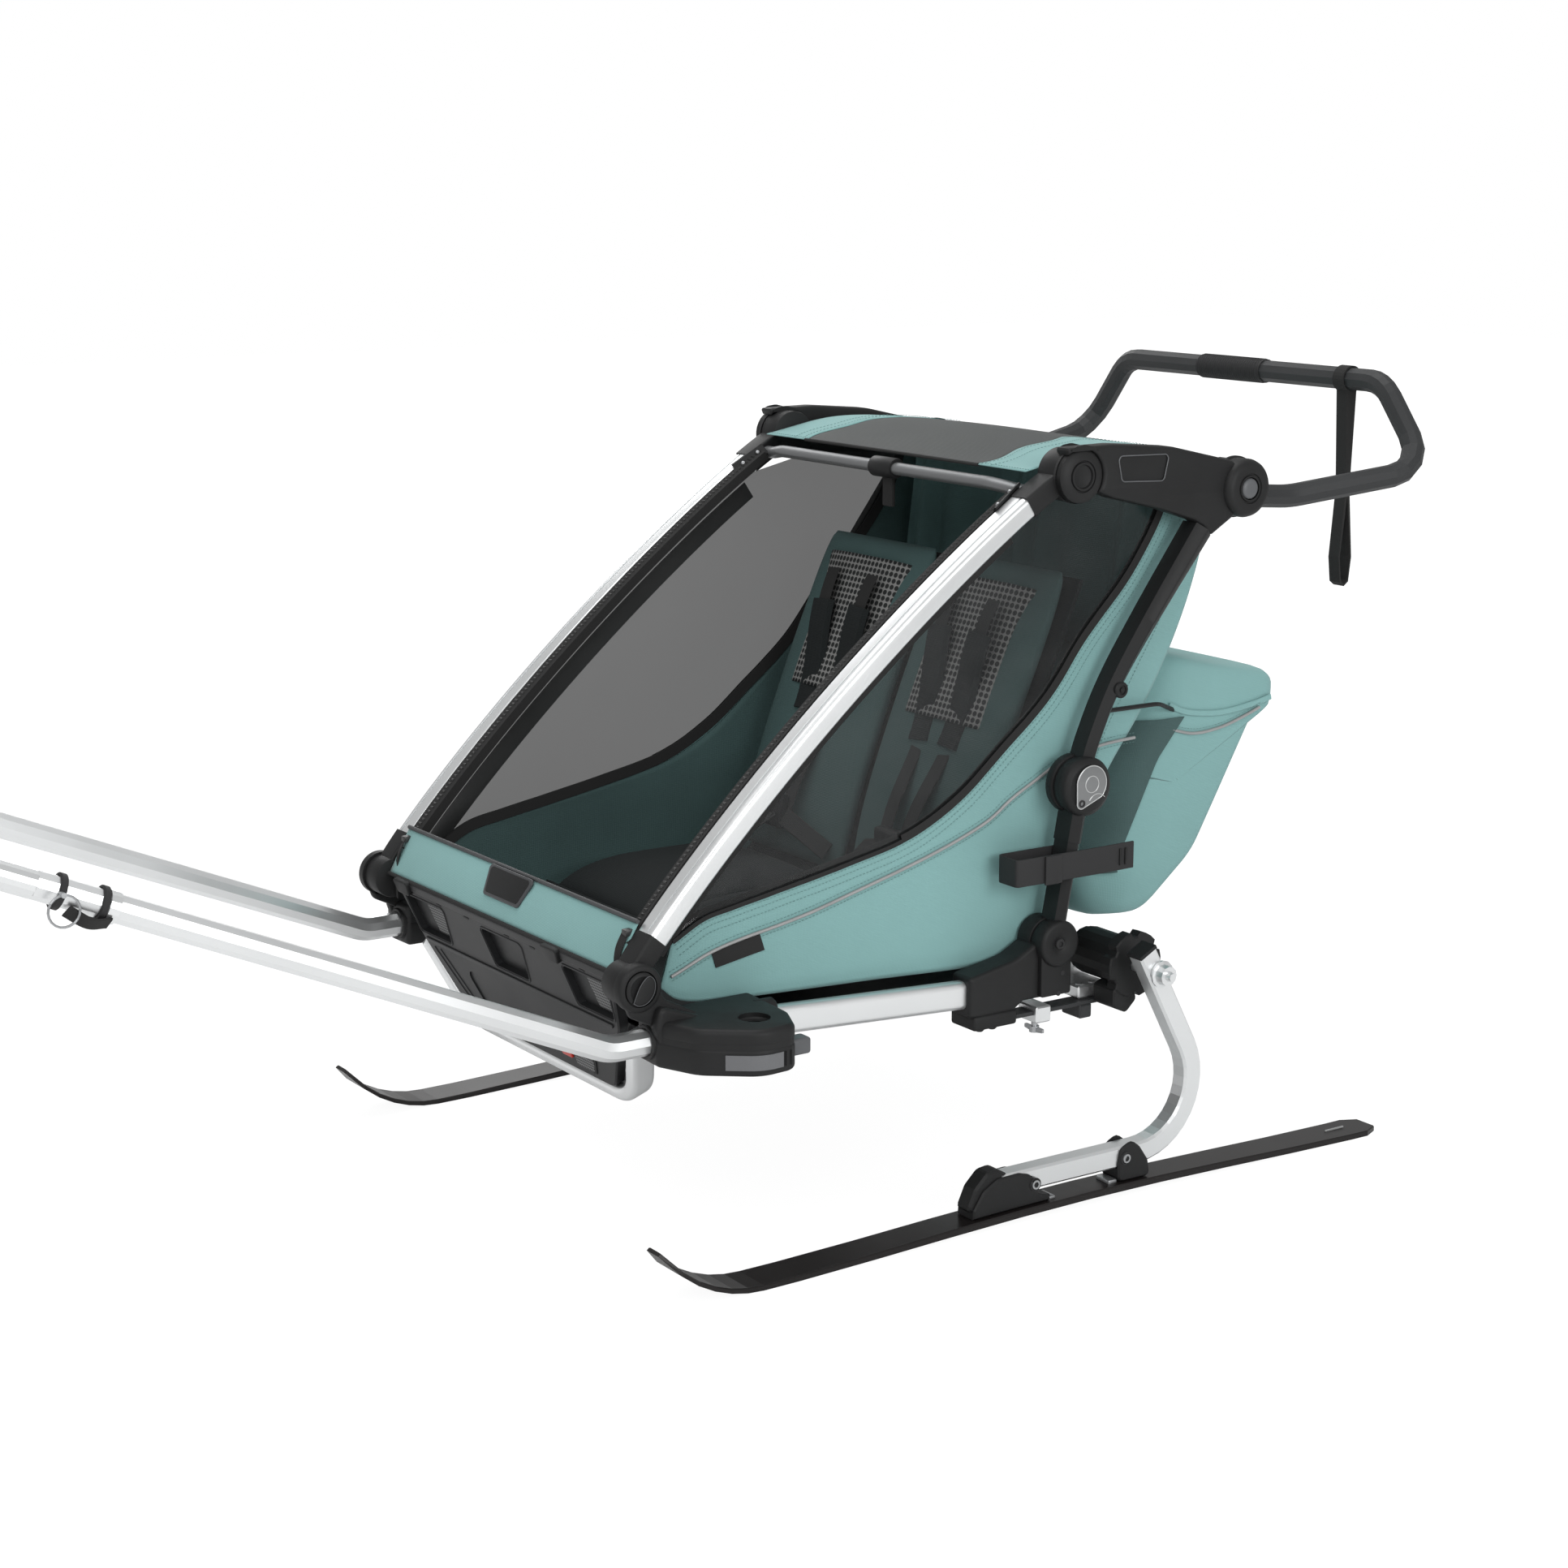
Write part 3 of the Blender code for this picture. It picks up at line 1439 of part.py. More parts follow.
def arm_planes(grow=0.0):
    return SKI_X - ARM_TUBE_WIDTH / 2 - grow, SKI_X + ARM_TUBE_WIDTH / 2 + grow


def ski_arms():
    """C-shaped flat tube from the axle down, back and forward along the ski."""
    inner, outer = arm_planes()
    arm = side_plate("ski_arm", band(ski_arm_centre(), ARM_TUBE_DEPTH), inner, outer, silver(), 0.003)
    hole = disc("arm_axle_hole", PIN_RADIUS + GAP, axle(), inner - 0.01, outer + 0.01, silver(), PIN_STEPS)
    return mirror_pair(cut(arm, hole))


def ski_sole(y):
    """Height of the sole: a curl up to the tip, two flat contact patches and a slight arch."""
    if y < SKI_CONTACT_Y:
        reach = SKI_CONTACT_Y - SKI_TIP_Y
        bend = (reach ** 2 + SKI_TIP_Z ** 2) / (2 * SKI_TIP_Z)
        return bend - math.sqrt(bend ** 2 - (SKI_CONTACT_Y - y) ** 2)
    start = SKI_CONTACT_Y + SKI_PATCH
    end = SKI_TAIL_Y - SKI_PATCH
    if y <= start or y >= end:
        return 0.0
    return SKI_CAMBER * math.sin(math.pi * (y - start) / (end - start)) ** 1.5


def ski_half_width(y):
    """Half width of the ski: rounded tip, gentle waist, narrowed tail end."""
    half = SKI_WIDTH / 2
    nose = (y - SKI_TIP_Y) / SKI_NOSE
    if nose < 1.0:
        return half * (0.45 + 0.55 * math.sqrt(max(nose, 0.0) * (2 - max(nose, 0.0))))
    if y >= SKI_TAIL_Y:
        return half * 0.62
    share = (y - SKI_CONTACT_Y) / (SKI_TAIL_Y - SKI_CONTACT_Y)
    return half - SKI_WAIST * math.sin(math.pi * min(max(share, 0.0), 1.0))


def skis():
    """Flat ski with a curled tip, a thin tapered shovel and a chamfered tail."""
    rings = []
    curl = 6
    stations = [SKI_TIP_Y + (SKI_CONTACT_Y - SKI_TIP_Y) * i / curl for i in range(curl + 1)]
    start = SKI_CONTACT_Y + SKI_PATCH
    end = SKI_TAIL_Y - SKI_PATCH
    stations += [start + (end - start) * i / 8 for i in range(9)]
    stations += [SKI_TAIL_Y - 0.022, SKI_TAIL_Y]
    for y in stations:
        thick = ski_thickness(y)
        half = ski_half_width(y)
        low = ski_sole(y)
        tilt = (ski_sole(y - 0.001) - low) / 0.001 if y < SKI_CONTACT_Y else 0.0
        up = Vector((0.0, tilt, 1.0)).normalized() * thick
        slope = 0.0018
        rings.append(
            [
                (SKI_X - half, y, low),
                (SKI_X + half, y, low),
                (SKI_X + half, y + up.y * 0.8, low + up.z * 0.8),
                (SKI_X + half - slope, y + up.y, low + up.z),
                (SKI_X - half + slope, y + up.y, low + up.z),
                (SKI_X - half, y + up.y * 0.8, low + up.z * 0.8),
            ]
        )
    return mirror_pair(loft("ski", rings, paint("ski_lacquer", (0.035, 0.025, 0.025), 0.25)))


def ski_thickness(y):
    """Thin at the tip, full under the shoe, a little thinner again at the tail."""
    if y > CLAMP_REAR_Y:
        return SKI_THICK - 0.002 * (y - CLAMP_REAR_Y) / (SKI_TAIL_Y - CLAMP_REAR_Y)
    ahead = max(0.0, min(1.0, (y - SKI_TIP_Y) / (SHOE_FRONT_Y - SKI_TIP_Y)))
    return SKI_TIP_THICK + (SKI_THICK - SKI_TIP_THICK) * ahead


def ski_deck(y):
    return ski_sole(y) + ski_thickness(y)


def cheek_planes():
    return SKI_X - CHEEK_WIDTH / 2, SKI_X + CHEEK_WIDTH / 2


def arm_channel(name, front, rear):
    """Room for the ski arm's run inside a shoe or clamp, open at the top and ends."""
    inner, outer = arm_planes(GAP)
    low = ARM_RUN_Z - ARM_TUBE_DEPTH / 2 - GAP
    high = ARM_RUN_Z + ARM_TUBE_DEPTH / 2 + GAP
    return box(name, (inner, front, low), (outer, rear, high), black())


def resting_line(front, rear):
    """Underside of a part that sits on the ski's arched deck, from rear to front."""
    steps = 4
    stations = [rear + (front - rear) * i / steps for i in range(steps + 1)]
    return [(y, ski_deck(y) + GAP + DECK_SAG) for y in stations]


def ski_shoes():
    """Front shoe: a domed nose that closes over the end of the arm, between two lower cheeks."""
    base = ski_deck(SHOE_FRONT_Y)
    front = SHOE_FRONT_Y
    rear = SHOE_REAR_Y
    low = resting_line(front + 0.006, rear)
    cheek = [
        (front + 0.007, base + 0.012),
        (front + 0.022, base + 0.034),
        (front + 0.044, base + 0.046),
        (front + 0.078, base + 0.047),
        (front + 0.100, base + 0.040),
        (front + 0.106, base + 0.014),
        (rear, base + 0.010),
    ]
    dome = [
        (front, base + 0.012),
        (front + 0.012, base + 0.038),
        (front + 0.030, base + 0.055),
        (front + 0.048, base + 0.057),
        (front + 0.066, base + 0.046),
        (front + 0.080, base + 0.030),
        (front + 0.080, base + 0.006),
        (front + 0.010, base + 0.006),
    ]
    inner, outer = cheek_planes()
    shoe = side_plate(
        "ski_shoe",
        low + rounded(cheek, 0.012, 2, closed=False),
        inner,
        outer,
        black(),
        0.002,
    )
    crown = side_plate("shoe_dome", rounded(dome, 0.012, 2), inner + 0.004, outer - 0.004, black(), 0.003)
    shoe = unite(shoe, crown)
    channel = arm_channel("shoe_channel", ARM_FOOT_Y - GAP, SHOE_REAR_Y + 0.02)
    arm_inner, arm_outer = arm_planes(GAP)
    open_top = box(
        "shoe_open_top",
        (arm_inner, SHOE_FRONT_Y + 0.060, ARM_RUN_Z),
        (arm_outer, SHOE_REAR_Y + 0.02, ARM_RUN_Z + 0.06),
        black(),
    )
    shoe = cut(shoe, channel, open_top)
    return mirror_pair(with_bolts(shoe, (SHOE_REAR_Y - 0.024, ARM_RUN_Z - 0.004), outer))


def with_bolts(piece, centre, outer):
    """Adds a bolt head on the outer and inner cheek."""
    inner = 2 * SKI_X - outer
    head = disc("cheek_bolt", BOLT_RADIUS, centre, outer - 0.002, outer + 0.002, black(), PIN_STEPS)
    back = disc("cheek_nut", BOLT_RADIUS, centre, inner - 0.002, inner + 0.002, black(), 6)
    return unite(piece, head, back)


def ski_clamps():
    """Rear clamp: two round-topped cheeks joined by a foot under the arm."""
    base = ski_deck(CLAMP_FRONT_Y)
    front = CLAMP_FRONT_Y
    rear = CLAMP_REAR_Y
    outline = resting_line(front, rear) + [
        (front, base + 0.024),
        (front + 0.004, base + 0.044),
        (front + 0.022, base + 0.052),
        (rear - 0.018, base + 0.042),
        (rear - 0.004, base + 0.022),
    ]
    inner, outer = cheek_planes()
    clamp = side_plate("ski_clamp", rounded(outline, 0.010, 2), inner, outer, black(), 0.002)
    arm_inner, arm_outer = arm_planes(GAP)
    low = ARM_RUN_Z - ARM_TUBE_DEPTH / 2 - GAP
    channel = box(
        "clamp_channel",
        (arm_inner, CLAMP_FRONT_Y - 0.02, low),
        (arm_outer, CLAMP_REAR_Y + 0.02, ARM_RUN_Z + 0.05),
        black(),
    )
    clamp = cut(clamp, channel)
    return mirror_pair(with_bolts(clamp, (CLAMP_FRONT_Y + 0.017, ARM_RUN_Z - 0.004), outer))


def shell_placing(depth):
    """Leans a plate drawn in (x, drop) back by the shell's lean; drop runs down the front."""
    down = Vector((0, math.sin(SHELL_LEAN), -math.cos(SHELL_LEAN)))
    out = Vector((0, -math.cos(SHELL_LEAN), -math.sin(SHELL_LEAN)))
    origin = Vector((0, SHELL_TOP_Y, SHELL_TOP_Z)) - out * (depth / 2)
    rows = [(1 if i == 0 else 0, down[i], -out[i], origin[i]) for i in range(3)]
    return Matrix((*rows, (0, 0, 0, 1)))


def symmetric(half_outline):
    """Closes a half outline given at +x with its mirror image."""
    return half_outline + [(-x, y) for x, y in reversed(half_outline)]


def front_shell():
    """Moulded front shell: tapering panel with three deep recesses and a ribbed lower field."""
    half = [
        (SHELL_TOP_HALF, 0.0),
        (SHELL_MID_HALF, SHELL_MID_DROP),
        (SHELL_HALF - 0.010, SHELL_DROP),
    ]
    outline = rounded(symmetric(half), [0.006, 0.03, 0.022, 0.022, 0.03, 0.006], 4)
    shell = slab("front_shell", outline, SHELL_THICK, shell_placing(SHELL_THICK), charcoal(), 0.002)
    tools = []
    depth = 0.010
    for middle in (-0.205, 0.0, 0.205):
        window = [
            (middle - 0.052, 0.022),
            (middle + 0.052, 0.022),
            (middle + 0.042, 0.074),
            (middle - 0.042, 0.074),
        ]
        placing = shell_placing(depth) @ Matrix.Translation((0, 0, -0.001))
        tools.append(slab("shell_window", rounded(window, 0.006, 3), depth, placing, charcoal()))
    field = [(0.150, 0.108), (0.118, 0.168), (-0.118, 0.168), (-0.150, 0.108)]
    placing = shell_placing(0.006) @ Matrix.Translation((0, 0, -0.004))
    tools.append(slab("shell_field", rounded(field, 0.010, 3), 0.006, placing, charcoal()))
    return [cut(shell, *tools)]


def bumper_tube():
    """Flat U tube that frames the shell from below and runs up into the pods."""
    top = SHELL_MID_DROP + 0.010
    leg_x = SHELL_MID_HALF + 0.016
    low = SHELL_DROP + BUMPER_WALL / 2 + GAP
    centre = [(leg_x, top), (SHELL_HALF + 0.014, low), (-SHELL_HALF - 0.014, low), (-leg_x, top)]
    path = rounded(centre, [0.0, 0.032, 0.032, 0.0], 5, closed=False)
    bar = slab(
        "bumper_tube",
        band(path, BUMPER_WALL),
        BUMPER_DEPTH,
        shell_placing(BUMPER_DEPTH),
        silver(),
        0.004,
    )
    return [bar]


def floor_pan():
    rear = REAR_HUB_Y - 0.016
    return [
        box(
            "floor_pan",
            (-FLOOR_HALF_WIDTH, FLOOR_FRONT_Y, FLOOR_Z),
            (FLOOR_HALF_WIDTH, rear, FLOOR_Z + FLOOR_THICK),
            black(),
        )
    ]


def front_sill():
    """Teal cloth strip across the front of the cabin."""
    low = Vector((SHELL_TOP_Y + 0.001, SHELL_TOP_Z + 0.0019))
    high = Vector((SHELL_TOP_Y + 0.032, SHELL_TOP_Z + 0.058))
    strip = band([tuple(low), tuple(high)], SHEET)
    return [side_plate("front_sill", strip, -SILL_HALF_WIDTH, SILL_HALF_WIDTH, teal())]


def back_line():
    """Cloth line of roof and back, side view, from the roof's front edge to the floor."""
    roof_y, roof_z = pillar_point(0.95)
    return [
        (roof_y - 0.008, roof_z + ROOF_TUBE_RADIUS + 0.012),
        (TOP_HUB_Y + 0.063, TOP_HUB_Z + 0.022),
        (HANDLE_HUB_Y - 0.095, HANDLE_HUB_Z + 0.048),
        (HANDLE_HUB_Y - 0.030, HANDLE_HUB_Z + 0.030),
        (HANDLE_HUB_Y - 0.022, HANDLE_HUB_Z - 0.060),
        (HANDLE_HUB_Y - 0.075, HANDLE_HUB_Z - 0.205),
        (KNEE_Y + 0.085, KNEE_Z + 0.012),
        (KNEE_Y + 0.038, KNEE_Z - 0.058),
        (REAR_HUB_Y + 0.062, REAR_HUB_Z + 0.060),
    ]


def canopy():
    """Roof and back cloth in one sheet."""
    sheet = band(smooth(back_line(), 4), SHEET)
    return [side_plate("canopy", sheet, -ROOF_HALF_WIDTH, ROOF_HALF_WIDTH, teal())]


def side_panels():
    """Side cloth with its film window, inside the pillars."""
    front = [pillar_point(0.06 + 0.82 * i / 8) for i in range(9)]
    back = smooth(back_line()[3:], 3)
    low = [
        (REAR_HUB_Y + 0.040, REAR_HUB_Z + 0.020),
        (REAR_HUB_Y - 0.050, RAIL_REAR_Z + 0.024),
        (RAIL_FRONT_Y, RAIL_FRONT_Z + 0.026),
        (FRONT_HUB_Y + 0.060, FRONT_HUB_Z - 0.030),
    ]
    top = [
        (TOP_HUB_Y + 0.010, TOP_HUB_Z - 0.042),
        (TOP_HUB_Y + 0.045, TOP_HUB_Z - 0.010),
        (HANDLE_HUB_Y - 0.080, HANDLE_HUB_Z + 0.022),
    ]
    outline = front + top + back + low
    outer = PANEL_INNER_X + PANEL_THICK
    return mirror_pair(side_plate("side_panel", outline, PANEL_INNER_X, outer, teal()))


def seat():
    """Double seat in one cushion: bench and leaning back, with a channel between the places."""
    low = FLOOR_Z + FLOOR_THICK + GAP
    bench_front = 0.215
    back_foot = 0.500
    outline = [
        (bench_front, low),
        (back_foot + 0.050, low),
        (back_foot + 0.115, KNEE_Z + 0.010),
        (back_foot + 0.215, HANDLE_HUB_Z - 0.095),
        (back_foot + 0.172, HANDLE_HUB_Z - 0.088),
        (back_foot + 0.060, KNEE_Z - 0.010),
        (back_foot, low + 0.095),
        (bench_front + 0.020, low + 0.062),
    ]
    radii = [0.015, 0.02, 0.08, 0.010, 0.010, 0.06, 0.03, 0.02]
    cushion = side_plate(
        "seat",
        rounded(outline, radii, 4),
        -SEAT_HALF_WIDTH,
        SEAT_HALF_WIDTH,
        paint("seat_fabric", (0.05, 0.08, 0.08), 0.9),
        0.008,
    )
    channel = [(y, z + 0.020) for y, z in rounded(outline[4:], [0.01, 0.06, 0.03, 0.02], 4)]
    shifted = channel + [(bench_front - 0.05, low + 0.080), (back_foot, HANDLE_HUB_Z)]
    groove = side_plate("seat_channel", shifted, -0.010, 0.010, teal())
    return [cut(cushion, groove)]


def bag_outline():
    """Cargo bag behind the cabin, side view: body, overhanging lid and rounded belly."""
    return [
        (KNEE_Y + 0.098, KNEE_Z + 0.000),
        (HANDLE_HUB_Y - 0.058, HANDLE_HUB_Z - 0.218),
        (HANDLE_HUB_Y + 0.142, HANDLE_HUB_Z - 0.262),
        (HANDLE_HUB_Y + 0.140, HANDLE_HUB_Z - 0.304),
        (HANDLE_HUB_Y + 0.108, HANDLE_HUB_Z - 0.312),
        (KNEE_Y + 0.256, KNEE_Z - 0.140),
        (KNEE_Y + 0.172, KNEE_Z - 0.208),
        (KNEE_Y + 0.090, KNEE_Z - 0.208),
        (KNEE_Y + 0.056, KNEE_Z - 0.130),
    ]


def cargo_bag():
    radii = [0.05, 0.014, 0.020, 0.012, 0.014, 0.12, 0.06, 0.03, 0.06]
    outline = rounded(bag_outline(), radii, 5)
    bag = side_plate("cargo_bag", outline, -BAG_HALF_WIDTH, BAG_HALF_WIDTH, teal(), 0.010)
    low, high = light_box(GAP)
    channel = tube("hoop_channel", hoop_path(), HOOP_RADIUS + 2 * GAP, teal(), 1)
    return [cut(bag, box("light_seat", low, high, teal()), channel)]


def light_box(grow):
    """Tail light, seated in the bag's rear face."""
    y = HANDLE_HUB_Y + 0.084
    z = KNEE_Z - 0.052
    low = (LIGHT_X - 0.030 - grow, y - 0.030 - grow, z - 0.016 - grow)
    high = (LIGHT_X + 0.030 + grow, y + 0.006, z + 0.016 + grow)
    return low, high


def tail_light():
    low, high = light_box(0.0)
    return [box("tail_light", low, high, paint("red_lens", (0.5, 0.03, 0.02), 0.3), 0.002)]


def hoop_root():
    """Where the hoop hooks into the inner face of the left rear pillar."""
    return Vector((STRUT_INNER_X - HOOP_RADIUS - GAP, KNEE_Y + 0.040, KNEE_Z + 0.096))


def hoop_path():
    """Route of the bag's wire hoop, from the left rear pillar through the bag to the right one."""
    start = hoop_root()
    near = [
        start,
        start + Vector((0.0, 0.024, -0.012)),
        Vector((PANEL_INNER_X + PANEL_THICK + 0.008, HANDLE_HUB_Y - 0.098, HANDLE_HUB_Z - 0.276)),
        Vector((BAG_HALF_WIDTH - 0.004, HANDLE_HUB_Y - 0.036, HANDLE_HUB_Z - 0.298)),
        Vector((BAG_HALF_WIDTH - 0.040, HANDLE_HUB_Y + 0.070, HANDLE_HUB_Z - 0.290)),
    ]
    far = [Vector((-p.x, p.y, p.z)) for p in reversed(near)]
    bends = [0.0, 0.02, 0.05, 0.03, 0.03]
    return rounded(near + far, bends + bends[::-1], 3, closed=False)


def bag_hoop():
    """Wire hoop from the rear pillars through a channel in the bag's rim."""
    return [tube("bag_hoop", hoop_path(), HOOP_RADIUS, black(), 1)]


def handlebar():
    """Push handle: U tube with a turning hub on each root."""
    root = Vector((BAR_ROOT_X, HANDLE_HUB_Y + 0.030, HANDLE_HUB_Z - 0.016))
    path = [
        Vector((BAR_ROOT_X, HANDLE_HUB_Y, HANDLE_HUB_Z - 0.014)),
        root + Vector((0.004, 0.090, -0.007)),
        Vector((BAR_BEND_X, BAR_REAR_Y, BAR_LOW_Z)),
        Vector((BAR_TOP_X, BAR_REAR_Y, BAR_TOP_Z)),
    ]
    far = [Vector((-p.x, p.y, p.z)) for p in reversed(path)]
    bends = [0.0, 0.10, BAR_BEND_RADIUS, BAR_BEND_RADIUS]
    points = rounded(path + far, bends + bends[::-1], 4, closed=False)
    bar = tube("handlebar", points, BAR_RADIUS, charcoal(), 3)
    hubs = []
    bores = []
    for sign in (1, -1):
        inner, outer = sorted((sign * BAR_HUB_INNER_X, sign * (ARM_INNER_X - 0.0065)))
        hubs.append(
            disc(
                "bar_hub",
                HANDLE_HUB_RADIUS - 0.002,
                handle_hub(),
                inner,
                outer,
                charcoal(),
                HUB_STEPS,
            )
        )
        bores.append(
            disc(
                "bar_bore",
                PIN_RADIUS + PIN_PLAY,
                handle_hub(),
                inner - 0.01,
                outer + 0.01,
                charcoal(),
                PIN_STEPS,
            )
        )
    bar = cut(unite(bar, *hubs), *bores)
    return [bar]


def wrist_strap():
    """Webbing loop: a ring round the crossbar and a long hanging loop below it."""
    centre = (BAR_REAR_Y, BAR_TOP_Z)
    ring = BAR_RADIUS + GAP + STRAP_THICK
    low = BAR_TOP_Z - STRAP_DROP
    neck = BAR_TOP_Z - 0.150
    outer = arc(centre, ring, -60, 240, 20)
    outer += [
        (BAR_REAR_Y - 0.0035, neck),
        (BAR_REAR_Y - 0.012, low + 0.040),
        (BAR_REAR_Y - 0.008, low + 0.006),
        (BAR_REAR_Y, low),
        (BAR_REAR_Y + 0.008, low + 0.006),
        (BAR_REAR_Y + 0.012, low + 0.040),
        (BAR_REAR_Y + 0.0035, neck),
    ]
    hole = circle(centre, BAR_RADIUS + GAP, 20)
    loop = [
        (BAR_REAR_Y, neck - 0.010),
        (BAR_REAR_Y - 0.0098, low + 0.040),
        (BAR_REAR_Y - 0.006, low + 0.008),
        (BAR_REAR_Y, low + STRAP_THICK),
        (BAR_REAR_Y + 0.006, low + 0.008),
        (BAR_REAR_Y + 0.0098, low + 0.040),
    ]
    inner_x = STRAP_X - STRAP_WIDTH / 2
    outer_x = STRAP_X + STRAP_WIDTH / 2
    return [side_plate("wrist_strap", outer, inner_x, outer_x, rubber(), 0.0, [hole, loop])]


def wheel_straps():
    """Rubber strap looped round the lower strut, with a hooked front tab and a slotted end."""
    inner = STRUT_INNER_X - WHEEL_STRAP_THICK / 2 - GAP
    outer = STRUT_OUTER_X + WHEEL_STRAP_THICK / 2 + GAP
    middle_y = (KNEE_Y + REAR_HUB_Y) / 2
    path = [
        (inner, middle_y + 0.020),
        (inner, middle_y - 0.088),
        (outer, middle_y - 0.070),
        (outer, middle_y + 0.090),
    ]
    strip = band(rounded(path, [0.0, 0.012, 0.012, 0.0], 4, closed=False), WHEEL_STRAP_THICK)
    middle_z = (KNEE_Z + REAR_HUB_Z) / 2 + 0.002
    return mirror_pair(plan_plate("wheel_strap", strip, middle_z - 0.0175, middle_z + 0.0175, rubber()))


def pivot_empty(name, place, parent):
    empty = bpy.data.objects.new(name, None)
    PARTS.objects.link(empty)
    empty.empty_display_size = 0.03
    if parent:
        empty.parent = parent
        empty.matrix_parent_inverse = Matrix.Identity(4)
        empty.location = Vector(place) - parent_place(parent)
    else:
        empty.location = place
    return empty


def parent_place(obj):
    total = Vector((0, 0, 0))
    while obj:
        total += obj.location
        obj = obj.parent
    return total


def hang(pieces, pivot):
    """Gives pieces the pivot as their origin and parent, without moving them."""
    place = parent_place(pivot)
    for piece in pieces:
        piece.data.transform(Matrix.Translation(-place))
        piece.parent = pivot
        piece.matrix_parent_inverse = Matrix.Identity(4)
        piece.location = (0, 0, 0)


def model_length_middle():
    """Half way between the pole tips' foremost rims and the strap's ring round the crossbar."""
    lean = math.sqrt(1 - pole_direction().normalized().y ** 2)
    front = pole_place(POLE_TIP_REACH).y - (POLE_RADIUS - POLE_TIP_ROUND) * lean
    rear = BAR_REAR_Y + BAR_RADIUS + GAP + STRAP_THICK
    return (front + rear) / 2


def assemble():
    middle = (0.0, 0.0, 0.0)
    root = pivot_empty("trailer", middle, None)
    strut = pivot_empty("strut_pivot", (0, *rear_hub()), root)
    rear = pivot_empty("rear_frame_pivot", (0, *knee()), strut)
    front = pivot_empty("front_frame_pivot", (0, *front_hub()), root)
    handle = pivot_empty("handle_pivot", (0, *handle_hub()), rear)
    strap = pivot_empty("strap_pivot", (0, BAR_REAR_Y, BAR_TOP_Z), handle)
    bag = pivot_empty("bag_pivot", (0, *hoop_root().yz), rear)
    light = pivot_empty("tail_light_pivot", light_box(0.0)[1], bag)
    hang(base_rails(), root)
    hang(arm_pods(), root)
    hang(rear_castings(), root)
    hang([rear_cross_tube()], root)
    hang(front_shell(), root)
    hang(bumper_tube(), root)
    hang(floor_pan(), root)
    hang(leaf_springs(), root)
    hang(axle_tube(), root)
    hang(brake_drums(), root)
    hang(ski_arms(), root)
    hang(ski_shoes(), root)
    hang(ski_clamps(), root)
    hang(skis(), root)
    hang(side_panels(), root)
    hang(canopy(), root)
    hang(seat(), root)
    hang(front_sill(), root)
    hang(bag_hoop(), bag)
    hang(cargo_bag(), bag)
    hang(tail_light(), light)
    hang(front_pillars(), front)
    hang([roof_tube()], front)
    hang(rear_lower_pillars(), strut)
    hang(wheel_straps(), strut)
    hang(top_arms(), rear)
    hang(rear_upper_pillars(), rear)
    hang(handlebar(), handle)
    hang(wrist_strap(), strap)
    for_each_side(root, rear)
    root.location = (0, -model_length_middle(), 0)


def for_each_side(root, rear):
    """Small moving pieces, each with its own pivot."""
    knobs = lock_knobs()
    tabs = release_tabs()
    poles = pull_poles()
    fronts = pole_fronts()
    pins = pole_pins()
    sliders = spring_clamps()
    screws = clamp_screws()
    buttons = release_buttons()
    for i, sign in enumerate((1, -1)):
        side = ("left", "right")[i]
        at = Vector((sign, 1, 1))
        knob = pivot_empty("knob_pivot_" + side, at * Vector((HUB_FACE_X, *front_hub())), root)
        tab = pivot_empty("tab_pivot_" + side, at * Vector(tab_box(0.0)[1]), root)
        pole = pivot_empty("pole_pivot_" + side, at * pole_place(0.0), root)
        tip = pivot_empty("pole_front_pivot_" + side, at * pole_place(POLE_JOINT_REACH), pole)
        pin = pivot_empty("pole_pin_pivot_" + side, at * pole_place(POLE_PIN_REACH), pole)
        slider = pivot_empty("slider_pivot_" + side, at * Vector(screw_top()), root)
        screw = pivot_empty("screw_pivot_" + side, at * Vector(screw_top()), slider)
        button = pivot_empty("button_pivot_" + side, at * Vector((HANDLE_HUB_FACE_X, *handle_hub())), rear)
        hang([knobs[i]], knob)
        hang([tabs[i]], tab)
        hang([poles[i]], pole)
        hang([fronts[i]], tip)
        hang([pins[i]], pin)
        hang([sliders[i]], slider)
        hang([screws[i]], screw)
        hang([buttons[i]], button)


def main():
    global PARTS
    global CUTTERS
    for obj in list(bpy.data.objects):
        bpy.data.objects.remove(obj)
    PARTS = new_collection("child_bike_trailer")
    CUTTERS = new_collection("cutters")
    assemble()


main()
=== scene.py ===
"""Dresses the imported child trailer: fabric cabin, frame, skis, poles and studio.

Metres, +Z up, the trailer travels towards -Y and +X is its left side. Side views are written as
(y, z) with y counted from the lower front hub; every finished mesh is shifted into the frame.
"""

import json
import math

import bmesh
import bpy
from mathutils import Matrix, Vector, noise

